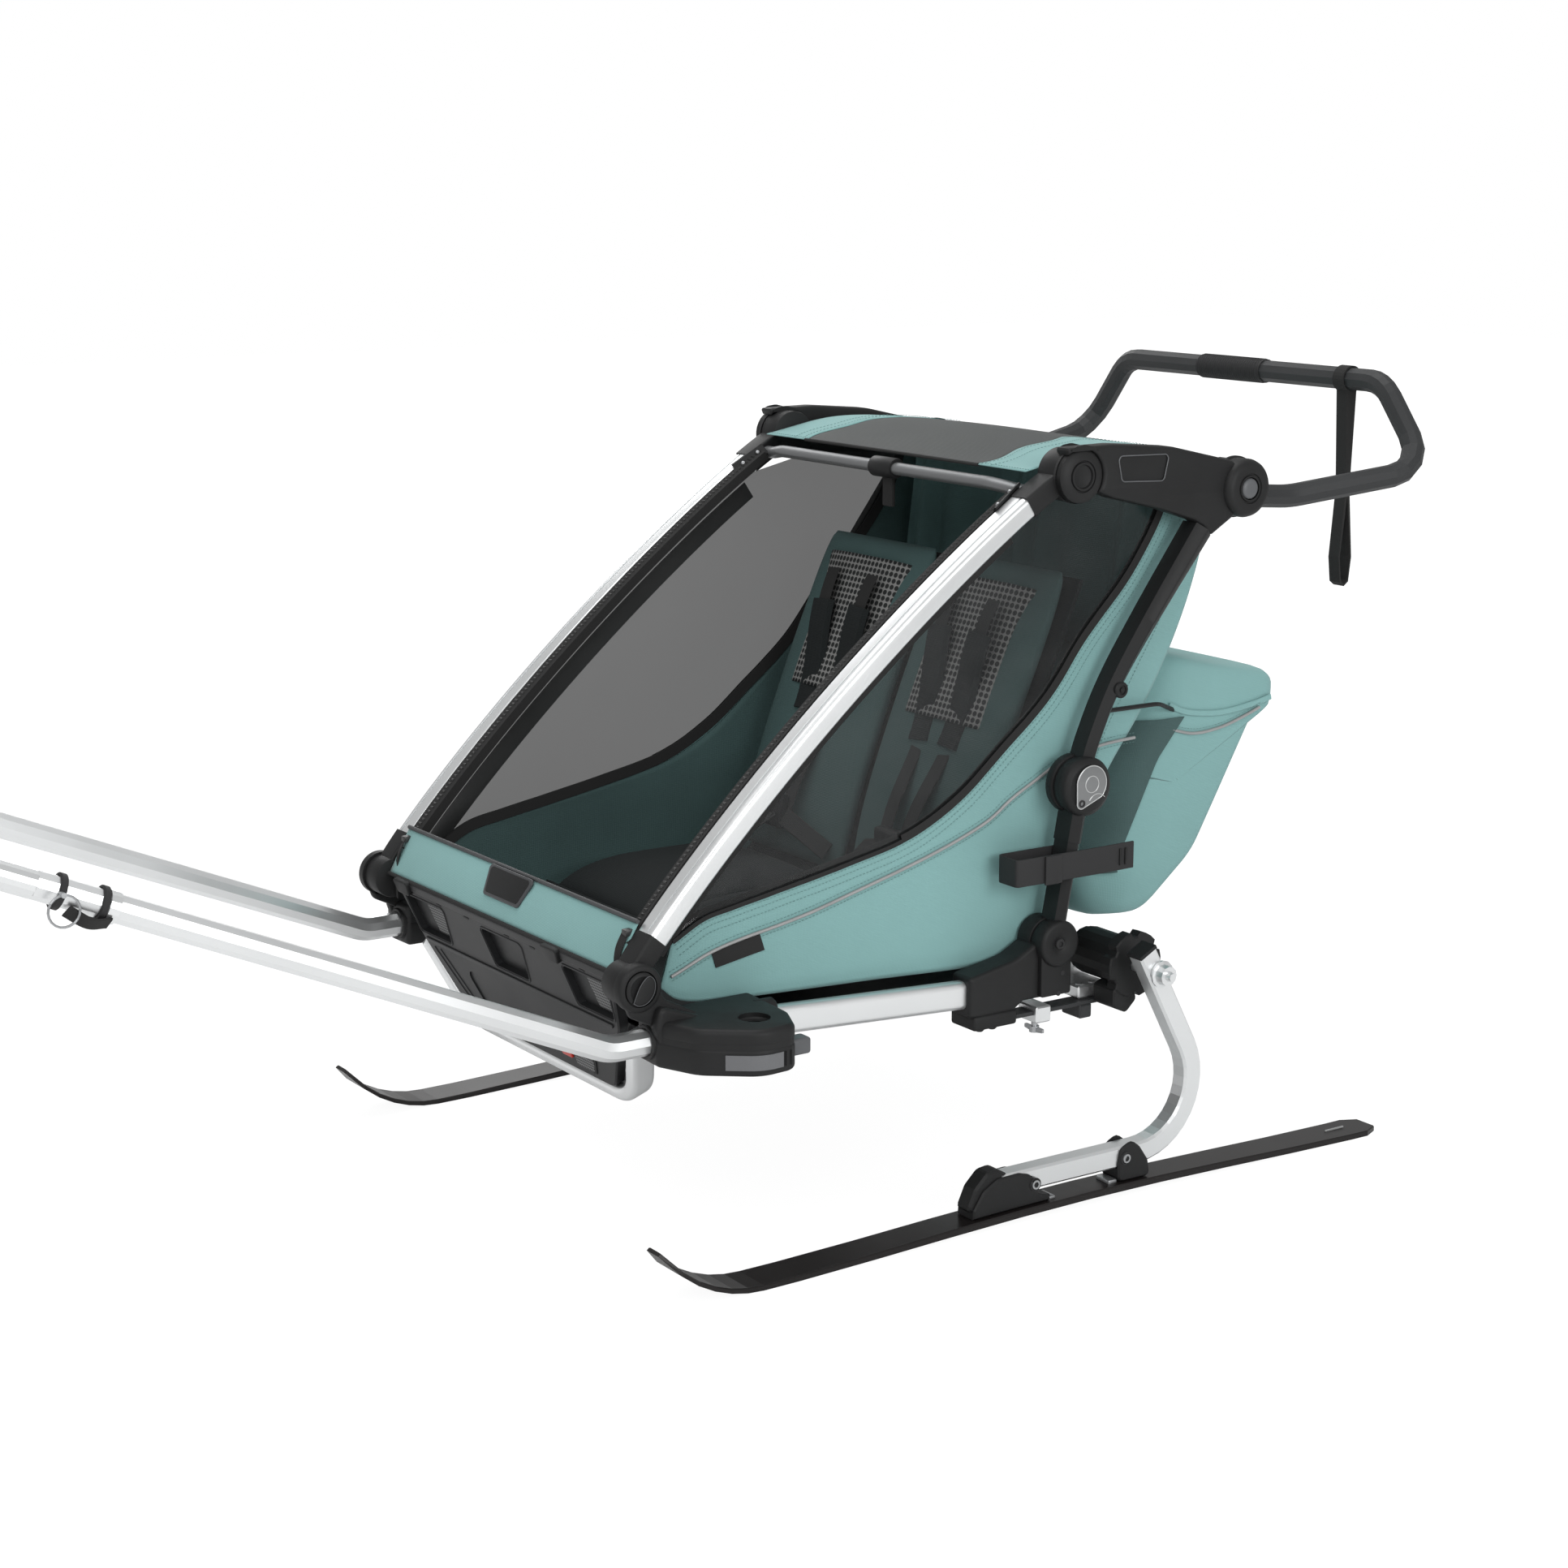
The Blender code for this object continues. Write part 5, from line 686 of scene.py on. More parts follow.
def carve(mesh, *tools):
    """Cuts the tools out of a mesh; they are used up."""
    material = mesh.materials[0]
    target = bpy.data.objects.new("target", mesh)
    bpy.context.scene.collection.objects.link(target)
    helpers = []
    for tool in tools:
        helper = bpy.data.objects.new("tool", tool)
        bpy.context.scene.collection.objects.link(helper)
        modifier = target.modifiers.new("cut", "BOOLEAN")
        modifier.operation = "DIFFERENCE"
        modifier.solver = "EXACT"
        modifier.object = helper
        helpers.append(helper)
    bpy.context.view_layer.update()
    done = target.evaluated_get(bpy.context.evaluated_depsgraph_get())
    result = bpy.data.meshes.new_from_object(done)
    for obj in [target] + helpers:
        bpy.data.objects.remove(obj)
    return welded(result, material, 0.000005)


def joined(meshes):
    """One mesh of several, each keeping its material."""
    work = bmesh.new()
    materials = []
    for mesh in meshes:
        material = mesh.materials[0]
        if material not in materials:
            materials.append(material)
        start = len(work.faces)
        work.from_mesh(mesh)
        work.faces.ensure_lookup_table()
        for face in work.faces[start:]:
            face.material_index = materials.index(material)
    result = bpy.data.meshes.new("piece")
    work.to_mesh(result)
    work.free()
    for material in materials:
        result.materials.append(material)
    for mesh in meshes:
        bpy.data.meshes.remove(mesh)
    return result


def place_piece(name, mesh, body, nodes, angle):
    """Puts a finished mesh into the scene, on its body."""
    mesh.name = name
    mesh.shade_smooth()
    mesh.set_sharp_from_angle(angle=math.radians(angle))
    obj = bpy.data.objects.new(name, mesh)
    bpy.context.scene.collection.objects.link(obj)
    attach(obj, body)
    if nodes:
        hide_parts(*nodes)
    return obj


def framed(meshes):
    """Joins meshes and shifts them from the side view's origin into the frame."""
    mesh = joined(meshes)
    mesh.transform(Matrix.Translation((0, -model_length_middle(), 0)))
    return mesh


def piece(name, meshes, body, nodes=(), angle=EDGE_ANGLE):
    """One piece of several meshes, riding on a body."""
    return place_piece(name, framed(meshes), body, nodes, angle)


def sheet_piece(name, rows, thick, material, nodes=()):
    """Smooth cloth piece on the base, from a grid of points."""
    return piece(name, [sheet_mesh(rows, thick, material)], "base", nodes, SMOOTH)


def pair(name, meshes, body, nodes=(), angle=EDGE_ANGLE):
    """A left piece and its right twin; body and node names end in their side where needed."""
    mesh = framed(meshes)
    made = []
    for side in ("left", "right"):
        if side == "right":
            mesh = mesh.copy()
            mesh.transform(Matrix.Scale(-1, 4, (1, 0, 0)))
            mesh.flip_normals()
        home = body if body in frame["bodies"] else body + "_" + side
        own = [node + "_" + side for node in nodes]
        made.append(place_piece(name + "_" + side, mesh, home, own, angle))
    return made


def soften(objects):
    """Gives each soft piece its own copy of its mesh."""
    for obj in objects:
        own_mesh(obj)


def feed(tree, socket, value):
    """Links another node's output to a socket, or sets the socket's value."""
    if isinstance(value, bpy.types.NodeSocket):
        tree.links.new(value, socket)
    else:
        socket.default_value = value


def node(tree, kind, inputs=None, **values):
    """New shader node with its settings; inputs are values or other nodes' outputs."""
    made = tree.nodes.new(kind)
    for key, value in values.items():
        setattr(made, key, value)
    for key, value in (inputs or {}).items():
        feed(tree, made.inputs[key], value)
    return made


def speckle(tree, place, scale, detail):
    """Cloudy noise between 0 and 1."""
    return node(tree, "ShaderNodeTexNoise", {"Vector": place, "Scale": scale, "Detail": detail}).outputs["Fac"]


def mapped(tree, value, low, high, first, second):
    """The value's range from low to high turned into the range from first to second."""
    ends = {"Value": value, "From Min": low, "From Max": high, "To Min": first, "To Max": second}
    return node(tree, "ShaderNodeMapRange", ends).outputs["Result"]


def two_tone(tree, factor, low, high, first, second):
    """The first colour where the factor is below low, the second where it is above high."""
    ramp = node(tree, "ShaderNodeValToRGB", {"Fac": factor})
    for element, place, tone in zip(ramp.color_ramp.elements, (low, high), (first, second)):
        element.position = place
        element.color = (*tone, 1.0)
    return ramp.outputs["Color"]


def woven(tree, place, spacing):
    """Height of crossed threads: bands along each axis that lies in the face."""
    facing = node(tree, "ShaderNodeSeparateXYZ", {"Vector": place["Normal"]})
    scale = 2 * math.pi / (BANDS_PER_UNIT * spacing)
    total = 0.0
    for axis in "XYZ":
        threads = node(tree, "ShaderNodeTexWave", {"Scale": scale, "Vector": place["Object"]}, wave_type="BANDS",
                       bands_direction=axis)
        size = node(tree, "ShaderNodeMath", {0: facing.outputs[axis]}, operation="ABSOLUTE")
        lies = mapped(tree, size.outputs[0], 0.35, 0.8, 1.0, 0.0)
        both = node(tree, "ShaderNodeMath", {0: threads.outputs["Fac"], 1: lies, 2: total}, operation="MULTIPLY_ADD")
        total = both.outputs[0]
    return total


def surface(name, colour, roughness, metallic=0.0, shade=0.1, patch=7.0, grain=850.0, bump=0.00006, weave=0.0, coat=0.0,
            sheen=0.0, alpha=1.0, stretch=(1.0, 1.0, 1.0), wave=0.0, specular=0.5):
    """Procedural finish: cloudy colour, fine grain or weave in the bump, and uneven roughness."""
    known = bpy.data.materials.get(name)
    if known:
        return known
    material = bpy.data.materials.new(name)
    material.use_nodes = True
    tree = material.node_tree
    place = node(tree, "ShaderNodeTexCoord").outputs
    scaled = node(tree, "ShaderNodeMapping", {"Vector": place["Object"], "Scale": stretch})
    cloud = speckle(tree, place["Object"], patch, 4.0)
    darker = [c * (1 - shade) for c in colour]
    lighter = [min(c * (1 + shade), 1.0) for c in colour]
    tint = two_tone(tree, cloud, 0.3, 0.72, darker, lighter)
    height = fine = speckle(tree, scaled.outputs["Vector"], grain, 2.0)
    if weave:
        threads = woven(tree, place, weave)
        height = node(tree, "ShaderNodeMath", {0: fine, 1: 0.6, 2: threads}, operation="MULTIPLY_ADD").outputs[0]
        mixed = node(tree, "ShaderNodeMix", {"Factor": 0.05, "A": tint, "B": threads}, data_type="RGBA",
                     blend_type="MULTIPLY")
        tint = mixed.outputs["Result"]
    relief = {"Height": height, "Strength": 1.0, "Distance": bump}
    if wave:
        swell = speckle(tree, place["Object"], 9.0, 1.0)
        swollen = node(tree, "ShaderNodeBump", {"Height": swell, "Strength": 1.0, "Distance": wave})
        relief["Normal"] = swollen.outputs["Normal"]
    finish = {
        "Base Color": tint,
        "Metallic": metallic,
        "Roughness": mapped(tree, cloud, 0.0, 1.0, max(roughness - 0.07, 0.02), min(roughness + 0.07, 1.0)),
        "Normal": node(tree, "ShaderNodeBump", relief).outputs["Normal"],
        "Specular IOR Level": specular,
        "Coat Weight": coat,
        "Coat Roughness": 0.08,
        "Sheen Weight": sheen,
        "Sheen Roughness": 0.45,
        "Alpha": alpha,
    }
    for key, value in finish.items():
        feed(tree, tree.nodes["Principled BSDF"].inputs[key], value)
    return material


def netting(name, threads, gap, pitch, alpha=1.0, lean=0.0):
    """Knitted mesh: round dark holes between lighter threads."""
    known = bpy.data.materials.get(name)
    if known:
        return known
    material = surface(name, threads, 0.75, bump=0.00008, alpha=alpha)
    tree = material.node_tree
    place = node(tree, "ShaderNodeTexCoord").outputs["Object"]
    leaned = node(tree, "ShaderNodeMapping", {"Vector": place, "Rotation": (-lean, 0.0, 0.0)}).outputs["Vector"]
    holes = {"Vector": leaned, "Scale": 1.0 / pitch, "Randomness": 0.0}
    cells = node(tree, "ShaderNodeTexVoronoi", holes, feature="F1", voronoi_dimensions="2D")
    tone = two_tone(tree, cells.outputs["Distance"], 0.36, 0.46, gap, threads)
    feed(tree, tree.nodes["Principled BSDF"].inputs["Base Color"], tone)
    return material


def metal():
    tone = bpy.context.scene.trailer_finish.metal
    return surface("satin_silver", tone, 0.34, 0.9, 0.03, 5.0, 420.0, 0.00003, stretch=(1.0, 0.15, 0.15))


def steel():
    return surface("grey_fixings", (0.42, 0.43, 0.44), 0.36, 0.85, 0.1, 30.0, 600.0, 0.00004)


def plastic():
    tone = bpy.context.scene.trailer_finish.plastic
    return surface("moulded_black", tone, 0.52, 0.0, 0.16, 16.0, 1400.0, 0.00009, specular=0.3)


def shell_plastic():
    return surface("charcoal_shell", (0.0135, 0.014, 0.015), 0.48, 0.0, 0.1, 12.0, 1500.0, 0.00008, specular=0.35)


def powder():
    return surface("charcoal_powder_coat", (0.026, 0.0275, 0.029), 0.5, 0.0, 0.08, 14.0, 1800.0, 0.0001, specular=0.4)


def cloth():
    finish = bpy.context.scene.trailer_finish
    return surface("teal_cloth", finish.cloth, 0.86, 0.0, 0.05, 5.0, 1500.0, 0.0001, finish.weave, sheen=0.12)


# Cabin cloth darkened to about a quarter for the inside faces and the seat back pads: painted shade.
def shade_darkened_lining():
    finish = bpy.context.scene.trailer_finish
    tone = [0.26 * c for c in finish.cloth]
    return surface("teal_cloth_painted_shade", tone, 0.9, 0.0, 0.08, 9.0, 1200.0, 0.00012, finish.weave * 1.3)


# Cabin cloth darkened to 0.4 for the cloth behind the seats: painted shade.
def curtain_in_painted_shade():
    tone = [0.4 * c for c in bpy.context.scene.trailer_finish.cloth]
    return surface("teal_curtain_painted_shade", tone, 0.9, 0.0, 0.1, 9.0, 1200.0, 0.00012, 0.0018)


def dark_cloth():
    return surface("dark_seat_cloth", (0.006, 0.009, 0.0095), 0.92, 0.0, 0.2, 12.0, 900.0, 0.00018, 0.0022)


def webbing():
    return surface("black_webbing", (0.012, 0.012, 0.013), 0.82, 0.0, 0.12, 20.0, 700.0, 0.00022, 0.0018)


def rubber():
    return surface("soft_black_rubber", (0.016, 0.016, 0.017), 0.72, 0.0, 0.12, 20.0, 900.0, 0.00007)


def thread():
    return surface("teal_thread", (0.12, 0.23, 0.225), 0.9, bump=0.00002)


def piping():
    return surface("grey_piping", (0.33, 0.335, 0.335), 0.45, 0.15, 0.08, 30.0, 900.0, 0.00006)


def film():
    shade = bpy.context.scene.trailer_finish.film
    tone = (0.022, 0.024, 0.025)
    return surface("smoked_film", tone, 0.12, 0.0, 0.1, 4.0, 60.0, 0.0, alpha=shade, coat=0.4, wave=0.01)


# The same smoked film as the near window, made greyer and far more opaque on the far side: painted shade.
def far_film_in_painted_shade():
    return surface("far_film_painted_shade_grey", (0.024, 0.025, 0.025), 0.4, 0.0, 0.1, 4.0, 60.0, 0.0, alpha=0.87, wave=0.003)


CAD_FINISH = {
    "silver": ["rear_cross_tube", "axle_tube", "ski_arm", "spring_clamp", "pull_pole_rear", "pull_pole_front"],
    "steel": ["clamp_screw", "pole_pin"],
    "plastic": ["floor_pan", "brake_drum", "ski_shoe", "ski_clamp", "bag_hoop"],
}


def dress_node(name, material):
    """Gives every solid of a carried-over CAD node its finish."""
    for known, obj in frame["nodes"].items():
        if known in (name, name + "_left", name + "_right"):
            obj.data.materials.clear()
            obj.data.materials.append(material)


# Cloth lines of the cabin, side view, from front to rear.
WINDOW_SILL = [
    (0.078, 0.392), (0.12, 0.413), (0.166, 0.422), (0.23, 0.433), (0.324, 0.45), (0.421, 0.472),
    (0.496, 0.509), (0.559, 0.558), (0.635, 0.622), (0.698, 0.699), (0.763, 0.766), (0.808, 0.83),
    (0.826, 0.874),
]
PANEL_FOOT = [
    (0.062, 0.338), (0.09, 0.318), (0.157, 0.3085), (0.36, 0.2985), (0.56, 0.2895), (0.625, 0.305),
    (0.668, 0.35), (0.688, 0.4), (0.7, 0.457), (0.738, 0.52), (0.79, 0.59), (0.832, 0.66),
    (0.868, 0.74), (0.888, 0.815), (0.882, 0.885),
]
PIPING_LINE = [
    (0.075, 0.35), (0.142, 0.375), (0.256, 0.396), (0.336, 0.415), (0.421, 0.436), (0.496, 0.458),
    (0.546, 0.478), (0.578, 0.499), (0.613, 0.517), (0.665, 0.541), (0.729, 0.553), (0.779, 0.556),
]
CLOTH_X = PANEL_INNER_X + PANEL_THICK


def panel_bulge(y, z):
    """How far the side cloth stands outward at a place: fuller low down behind the pod."""
    low = math.exp(-(((z - 0.365) / 0.06) ** 2)) * math.exp(-(((y - 0.36) / 0.24) ** 2))
    ripple = 0.0012 * noise.noise(Vector((9 * y, 9 * z, 0.3))) + 0.0006 * noise.noise(Vector((26 * y, 20 * z, 2.0)))
    return 0.006 * low + ripple


def between(lower, upper, count, steps, place):
    """Rows of points from one line up to another; place(point, share) sets each in space."""
    pairs = list(zip(along(lower, count), along(upper, count)))
    return [[place(a.lerp(b, k / steps), k / steps) for a, b in pairs] for k in range(steps + 1)]


def grid(columns, rows, place):
    """Rows of points, place(u, v) at even shares u of each row and v of the sheet."""
    return [[place(j / columns, k / rows) for j in range(columns + 1)] for k in range(rows + 1)]


def dark_piping():
    return surface("dark_piping", (0.055, 0.057, 0.06), 0.6, bump=0.00008)


def cloth_rows():
    """Outside of the side cloth, flat at its hems and bulging between them."""
    def place(point, share):
        hem = min(share, 1 - share, 0.12) / 0.12
        return (CLOTH_X + panel_bulge(*point) * hem, *point)

    return between(smooth(PANEL_FOOT, 8), smooth(WINDOW_SILL, 8), 150, 24, place)


def window_rows():
    """Film between the pillar, the arm and the cloth's upper edge, slightly wavy."""
    def place(point, share):
        dip = 0.004 * math.sin(math.pi * share) * (0.6 + 0.4 * math.sin(17 * point.x))
        return (CLOTH_X - 0.0018 - dip, *point)

    upper = pillar_run(0.075, 0.8, 24)
    upper += [by(TOP_HUB, 0.03, -0.024), by(HANDLE_HUB, -0.105, -0.002), by(HANDLE_HUB, -0.084, 0.004)]
    return between(smooth(WINDOW_SILL, 8), upper, 110, 20, place)


def on_cloth(line, lift, count=90):
    """A (y, z) line laid on the outside of the side cloth."""
    return [Vector((CLOTH_X + panel_bulge(*place) + lift, *place)) for place in along(smooth(line, 8), count)]


def beside(line, offset):
    """The line moved sideways, left of travel, in the side view."""
    return [tuple(Vector(p) + n * offset) for p, n in zip(line, normals_of(line))]


class FinishSettings(bpy.types.PropertyGroup):
    cloth: bpy.props.FloatVectorProperty(
        name="Cloth", description="Colour of the cabin cloth", subtype="COLOR", default=(0.215, 0.402, 0.395)
    )
    metal: bpy.props.FloatVectorProperty(
        name="Metal", description="Colour of the satin tubes", subtype="COLOR", default=(0.82, 0.835, 0.84)
    )
    plastic: bpy.props.FloatVectorProperty(
        name="Plastic", description="Colour of hubs, pods and arms", subtype="COLOR", default=(0.011, 0.0113, 0.0117)
    )
    film: bpy.props.FloatProperty(
        name="Film", description="How dark the near side window is", default=0.4, min=0.0, max=1.0
    )
    weave: bpy.props.FloatProperty(
        name="Weave", description="Distance between threads", unit="LENGTH", default=0.0016, min=0.0005
    )


class CabinSettings(bpy.types.PropertyGroup):
    cloth_thick: bpy.props.FloatProperty(
        name="Cloth", description="Thickness of the cabin cloth", unit="LENGTH", default=0.0012, min=0.0005
    )
    piping_radius: bpy.props.FloatProperty(
        name="Piping", description="Radius of the reflective piping", unit="LENGTH", default=0.0021, min=0.0005
    )
    binding_width: bpy.props.FloatProperty(
        name="Binding", description="Width of the window's edge tape", unit="LENGTH", default=0.011, min=0.002
    )


class TRAILER_OT_fixings(bpy.types.Operator):
    """Finish the solids that keep their own shape"""

    bl_idname = "trailer.fixings"
    bl_label = "Finish Fixings"

    def execute(self, context):
        finishes = {"silver": metal(), "steel": steel(), "plastic": plastic()}
        for kind, names in CAD_FINISH.items():
            for name in names:
                dress_node(name, finishes[kind])
        dress_node("front_shell", shell_plastic())
        dress_node("handlebar", powder())
        dress_node("leaf_spring", powder())
        dress_node("wrist_strap", webbing())
        tone = (0.01, 0.0082, 0.008)
        gloss = surface("ski_top_sheet", tone, 0.34, 0.0, 0.12, 3.0, 200.0, 0.00001, coat=0.06, specular=0.3)
        dress_node("ski", gloss)
        return {"FINISHED"}


def boot_section(grow):
    """Pillar section grown on every side, with softened corners."""
    inner, outer = PILLAR_INNER_X - grow, PILLAR_INNER_X + PILLAR_WIDTH + grow
    half = PILLAR_DEPTH / 2 + grow
    return rounded([(inner, -half), (outer, -half), (outer, half), (inner, half)], 0.004, 5)


def pillar_section():
    """Extruded profile: soft corners and a narrow groove near the outer front edge."""
    inner, outer, half = PILLAR_INNER_X, PILLAR_INNER_X + PILLAR_WIDTH, PILLAR_DEPTH / 2
    low = rounded([(inner, half), (inner, -half), (outer, -half), (outer, half)], [0.0, 0.004, 0.004, 0.007], 6)
    notch = [(outer - 0.0095, half), (outer - 0.01, half - 0.0026), (outer - 0.0122, half - 0.0026),
             (outer - 0.0128, half)]
    corner = rounded([(outer - 0.013, half), (inner, half), (inner, half - 0.01)], 0.004, 5, False)[1:-1]
    return low[1:] + notch + corner


class TRAILER_OT_pillars(bpy.types.Operator):
    """Bowed silver pillars with black boots, zip tapes and the roof cross tube"""

    bl_idname = "trailer.pillars"
    bl_label = "Pillars"

    def execute(self, context):
        bar = sweep(pillar_run(0.02, 0.94, 60), pillar_section(), metal())
        low_boot = sweep(pillar_run(0.018, 0.05, 8), boot_section(0.0012), plastic())
        top_boot = sweep(pillar_run(0.912, 0.062, 10), boot_section(0.0014), plastic())
        inner, outer = PILLAR_INNER_X - 0.0006, PILLAR_INNER_X + PILLAR_WIDTH
        eye = disc(FRONT_HUB_RADIUS - 0.003, FRONT_HUB, inner, HUB_FACE_X - HUB_PLATE, plastic())
        hub = disc(TOP_HUB_RADIUS, TOP_HUB, inner, outer, plastic())
        pair("bowed_pillar", [bar, low_boot, top_boot, eye, hub], "front_frame", ["front_pillar"])
        self.zips()
        self.roof_bar()
        return {"FINISHED"}

    def zips(self):
        """Tape with teeth behind each pillar, its slider near the foot and the strap that hangs from it."""
        line = beside(pillar_run(0.045, 0.885, 60), 0.004)
        tape = sweep(line, [(0.2725, -0.006), (0.2905, -0.006), (0.2905, 0.009), (0.2725, 0.0065)], webbing())
        metal_teeth = surface("zip_teeth", (0.05, 0.05, 0.05), 0.4, 0.4)
        fine = along(line, 230)
        teeth = []
        for place, normal in list(zip(fine, normals_of(fine)))[::2]:
            y, z = place + normal * 0.0082
            teeth.append(box((0.279, y - 0.0011, z - 0.0011), (0.2842, y + 0.0011, z + 0.0011), metal_teeth))
        y, z = Vector(line[1]) + normals_of(line)[1] * 0.011
        slider = box((0.2765, y - 0.007, z - 0.004), (0.287, y + 0.007, z + 0.004), metal_teeth, 0.0015)
        hang = [(0.2815, y - 0.004, z), (0.2815, y - 0.014, z - 0.02), (0.283, y - 0.017, z - 0.045),
                (0.2845, y - 0.016, z - 0.078)]
        pull = ribbon([Vector(p) for p in smooth(hang, 6)], 0.011, 0.0014, webbing(), Vector((0.3, -1, 0)))
        pair("zip_tape", [tape, joined(teeth), slider, pull], "front_frame")

    def roof_bar(self):
        """Roof cross tube, slightly flattened, with its middle clip and the plates at its ends."""
        near = roof_tube_path()
        far = [Vector((-p.x, p.y, p.z)) for p in reversed(near)]
        path = rounded(near + far, 0.045, 10, closed=False)
        grey = surface("grey_satin_tube", (0.2, 0.205, 0.21), 0.42, 0.6, 0.05, 6.0, 500.0, 0.00004)
        bar = tube(path, ROOF_TUBE_RADIUS, grey, 8)
        middle = path[len(path) // 2][2]
        for vertex in bar.vertices:
            vertex.co.z = middle + (vertex.co.z - middle) * 0.82
        y, z = near[2].yz
        profile = [(0.0, -0.024), (0.0125, -0.024), (0.0135, -0.022)]
        profile += [(r, -h) for r, h in reversed(profile)]
        clip = spun(profile, 0.01, (y, z), plastic())
        tab = box((-0.004, y + 0.004, z - 0.052), (0.018, y + 0.01, z), webbing(), 0.002)
        plates = []
        for sign in (1, -1):
            face = Vector((sign * -0.7, -0.4, 0.5))
            low, top = (Vector((sign * (PILLAR_INNER_X - inset), *by(pillar_point(share), -0.004, 0.01)))
                        for inset, share in ((0.002, 0.875), (0.01, 0.935)))
            plates.append(ribbon([low, low.lerp(top, 0.5), top], 0.02, 0.004, plastic(), face))
            rivet = [(0.0, 0.0062), (0.0022, 0.0058), (0.0032, 0.004), (0.0032, 0.0)]
            plates += [turned(rivet, low.lerp(top, share), face.normalized(), steel(), 20) for share in (0.25, 0.75)]
        piece("roof_bar", [bar, clip, tab] + plates, "front_frame", ["roof_cross_tube"])


class TRAILER_OT_arms(bpy.types.Operator):
    """Top arms with hub caps, bare badge recess, handle hubs and release buttons"""

    bl_idname = "trailer.arms"
    bl_label = "Top Arms"

    def execute(self, context):
        outline = [tuple(p) for p in along(arm_outline() + arm_outline()[:1], 220)[:-1]]
        base = side_plate(outline, ARM_INNER_X, ARM_OUTER_X, plastic(), 0.005)
        badge = rounded(around(TOP_HUB, (0.055, 0.022), (0.138, 0.02), (0.13, -0.013), (0.062, -0.01)), 0.006, 8)
        base = carve(base, side_plate(badge, ARM_OUTER_X - 0.0012, ARM_OUTER_X + 0.01, plastic()))
        badge_edge = tube(at_x(ARM_OUTER_X + 0.0002, badge), 0.0008, grey_plastic(), 2, True)
        profile = [(0.0, 0.0), *rim(HANDLE_HUB_RADIUS, (-0.004, 0.0), (0.0, 0.004), (0.0, 0.0325), (-0.0015, 0.0375),
                                    (-0.005, 0.0415), (-0.01, 0.043)),
                   (0.0195, 0.043), (0.0188, 0.0415), (0.0172, 0.0415), (0.0165, 0.0432), (0.0145, 0.0432),
                   (0.014, 0.036), (0.0, 0.036)]
        hub = spun(profile, HANDLE_HUB_FACE_X - 0.0432, HANDLE_HUB, plastic(), 72)
        profile = rim(HANDLE_HUB_RADIUS, (0.0012, 0.0), (0.002, 0.002), (0.002, 0.006), (-0.002, 0.0075))
        collar = spun(profile, ARM_INNER_X + 0.001, HANDLE_HUB, plastic(), 72)
        profile = [(0.0, 0.0), *rim(TOP_HUB_RADIUS, (0.0002, 0.0), (0.0002, 0.01), (-0.003, 0.0132)), (0.02, 0.0145),
                   (0.0192, 0.0128), (0.018, 0.0128), (0.0172, 0.015), (0.015, 0.015), (0.014, 0.012), (0.0085, 0.0105),
                   (0.0, 0.01)]
        cap = spun(profile, ARM_OUTER_X - 0.014, TOP_HUB, plastic(), 72)
        profile = rim(TOP_HUB_RADIUS, (0.0004, 0.0), (0.0012, 0.0), (0.0012, 0.004))
        groove = spun(profile, ARM_OUTER_X - 0.016, TOP_HUB, rubber(), 72)
        pair("top_arm_cover", [base, hub, collar, cap, groove, badge_edge], "rear_frame", ["top_arm"])
        profile = [(0.0, 0.0068), (0.006, 0.0069),
                   *rim(BUTTON_RADIUS, (-0.0025, 0.0064), (-0.0005, 0.0045), (0.0, 0.002), (0.0, 0.0)), (0.0, 0.0)]
        button = spun(profile, HANDLE_HUB_FACE_X - 0.0058, HANDLE_HUB, grey_plastic())
        pair("hub_button", [button], "button", ["release_button"])
        return {"FINISHED"}


def grey_plastic():
    return surface("grey_button", (0.095, 0.099, 0.105), 0.42, 0.0, 0.1, 20.0, 1200.0, 0.00006)


def ridge_section(inner, outer, half, chamfer):
    """Strut section: soft inner corners and an outer ridge between two facets."""
    side = [(inner, half - 0.002), (inner + 0.002, half), (outer - chamfer, half),
            (outer - chamfer + 0.001, half - 0.001), (outer, 0.0008)]
    return [(x, -y) for x, y in side] + side[::-1]


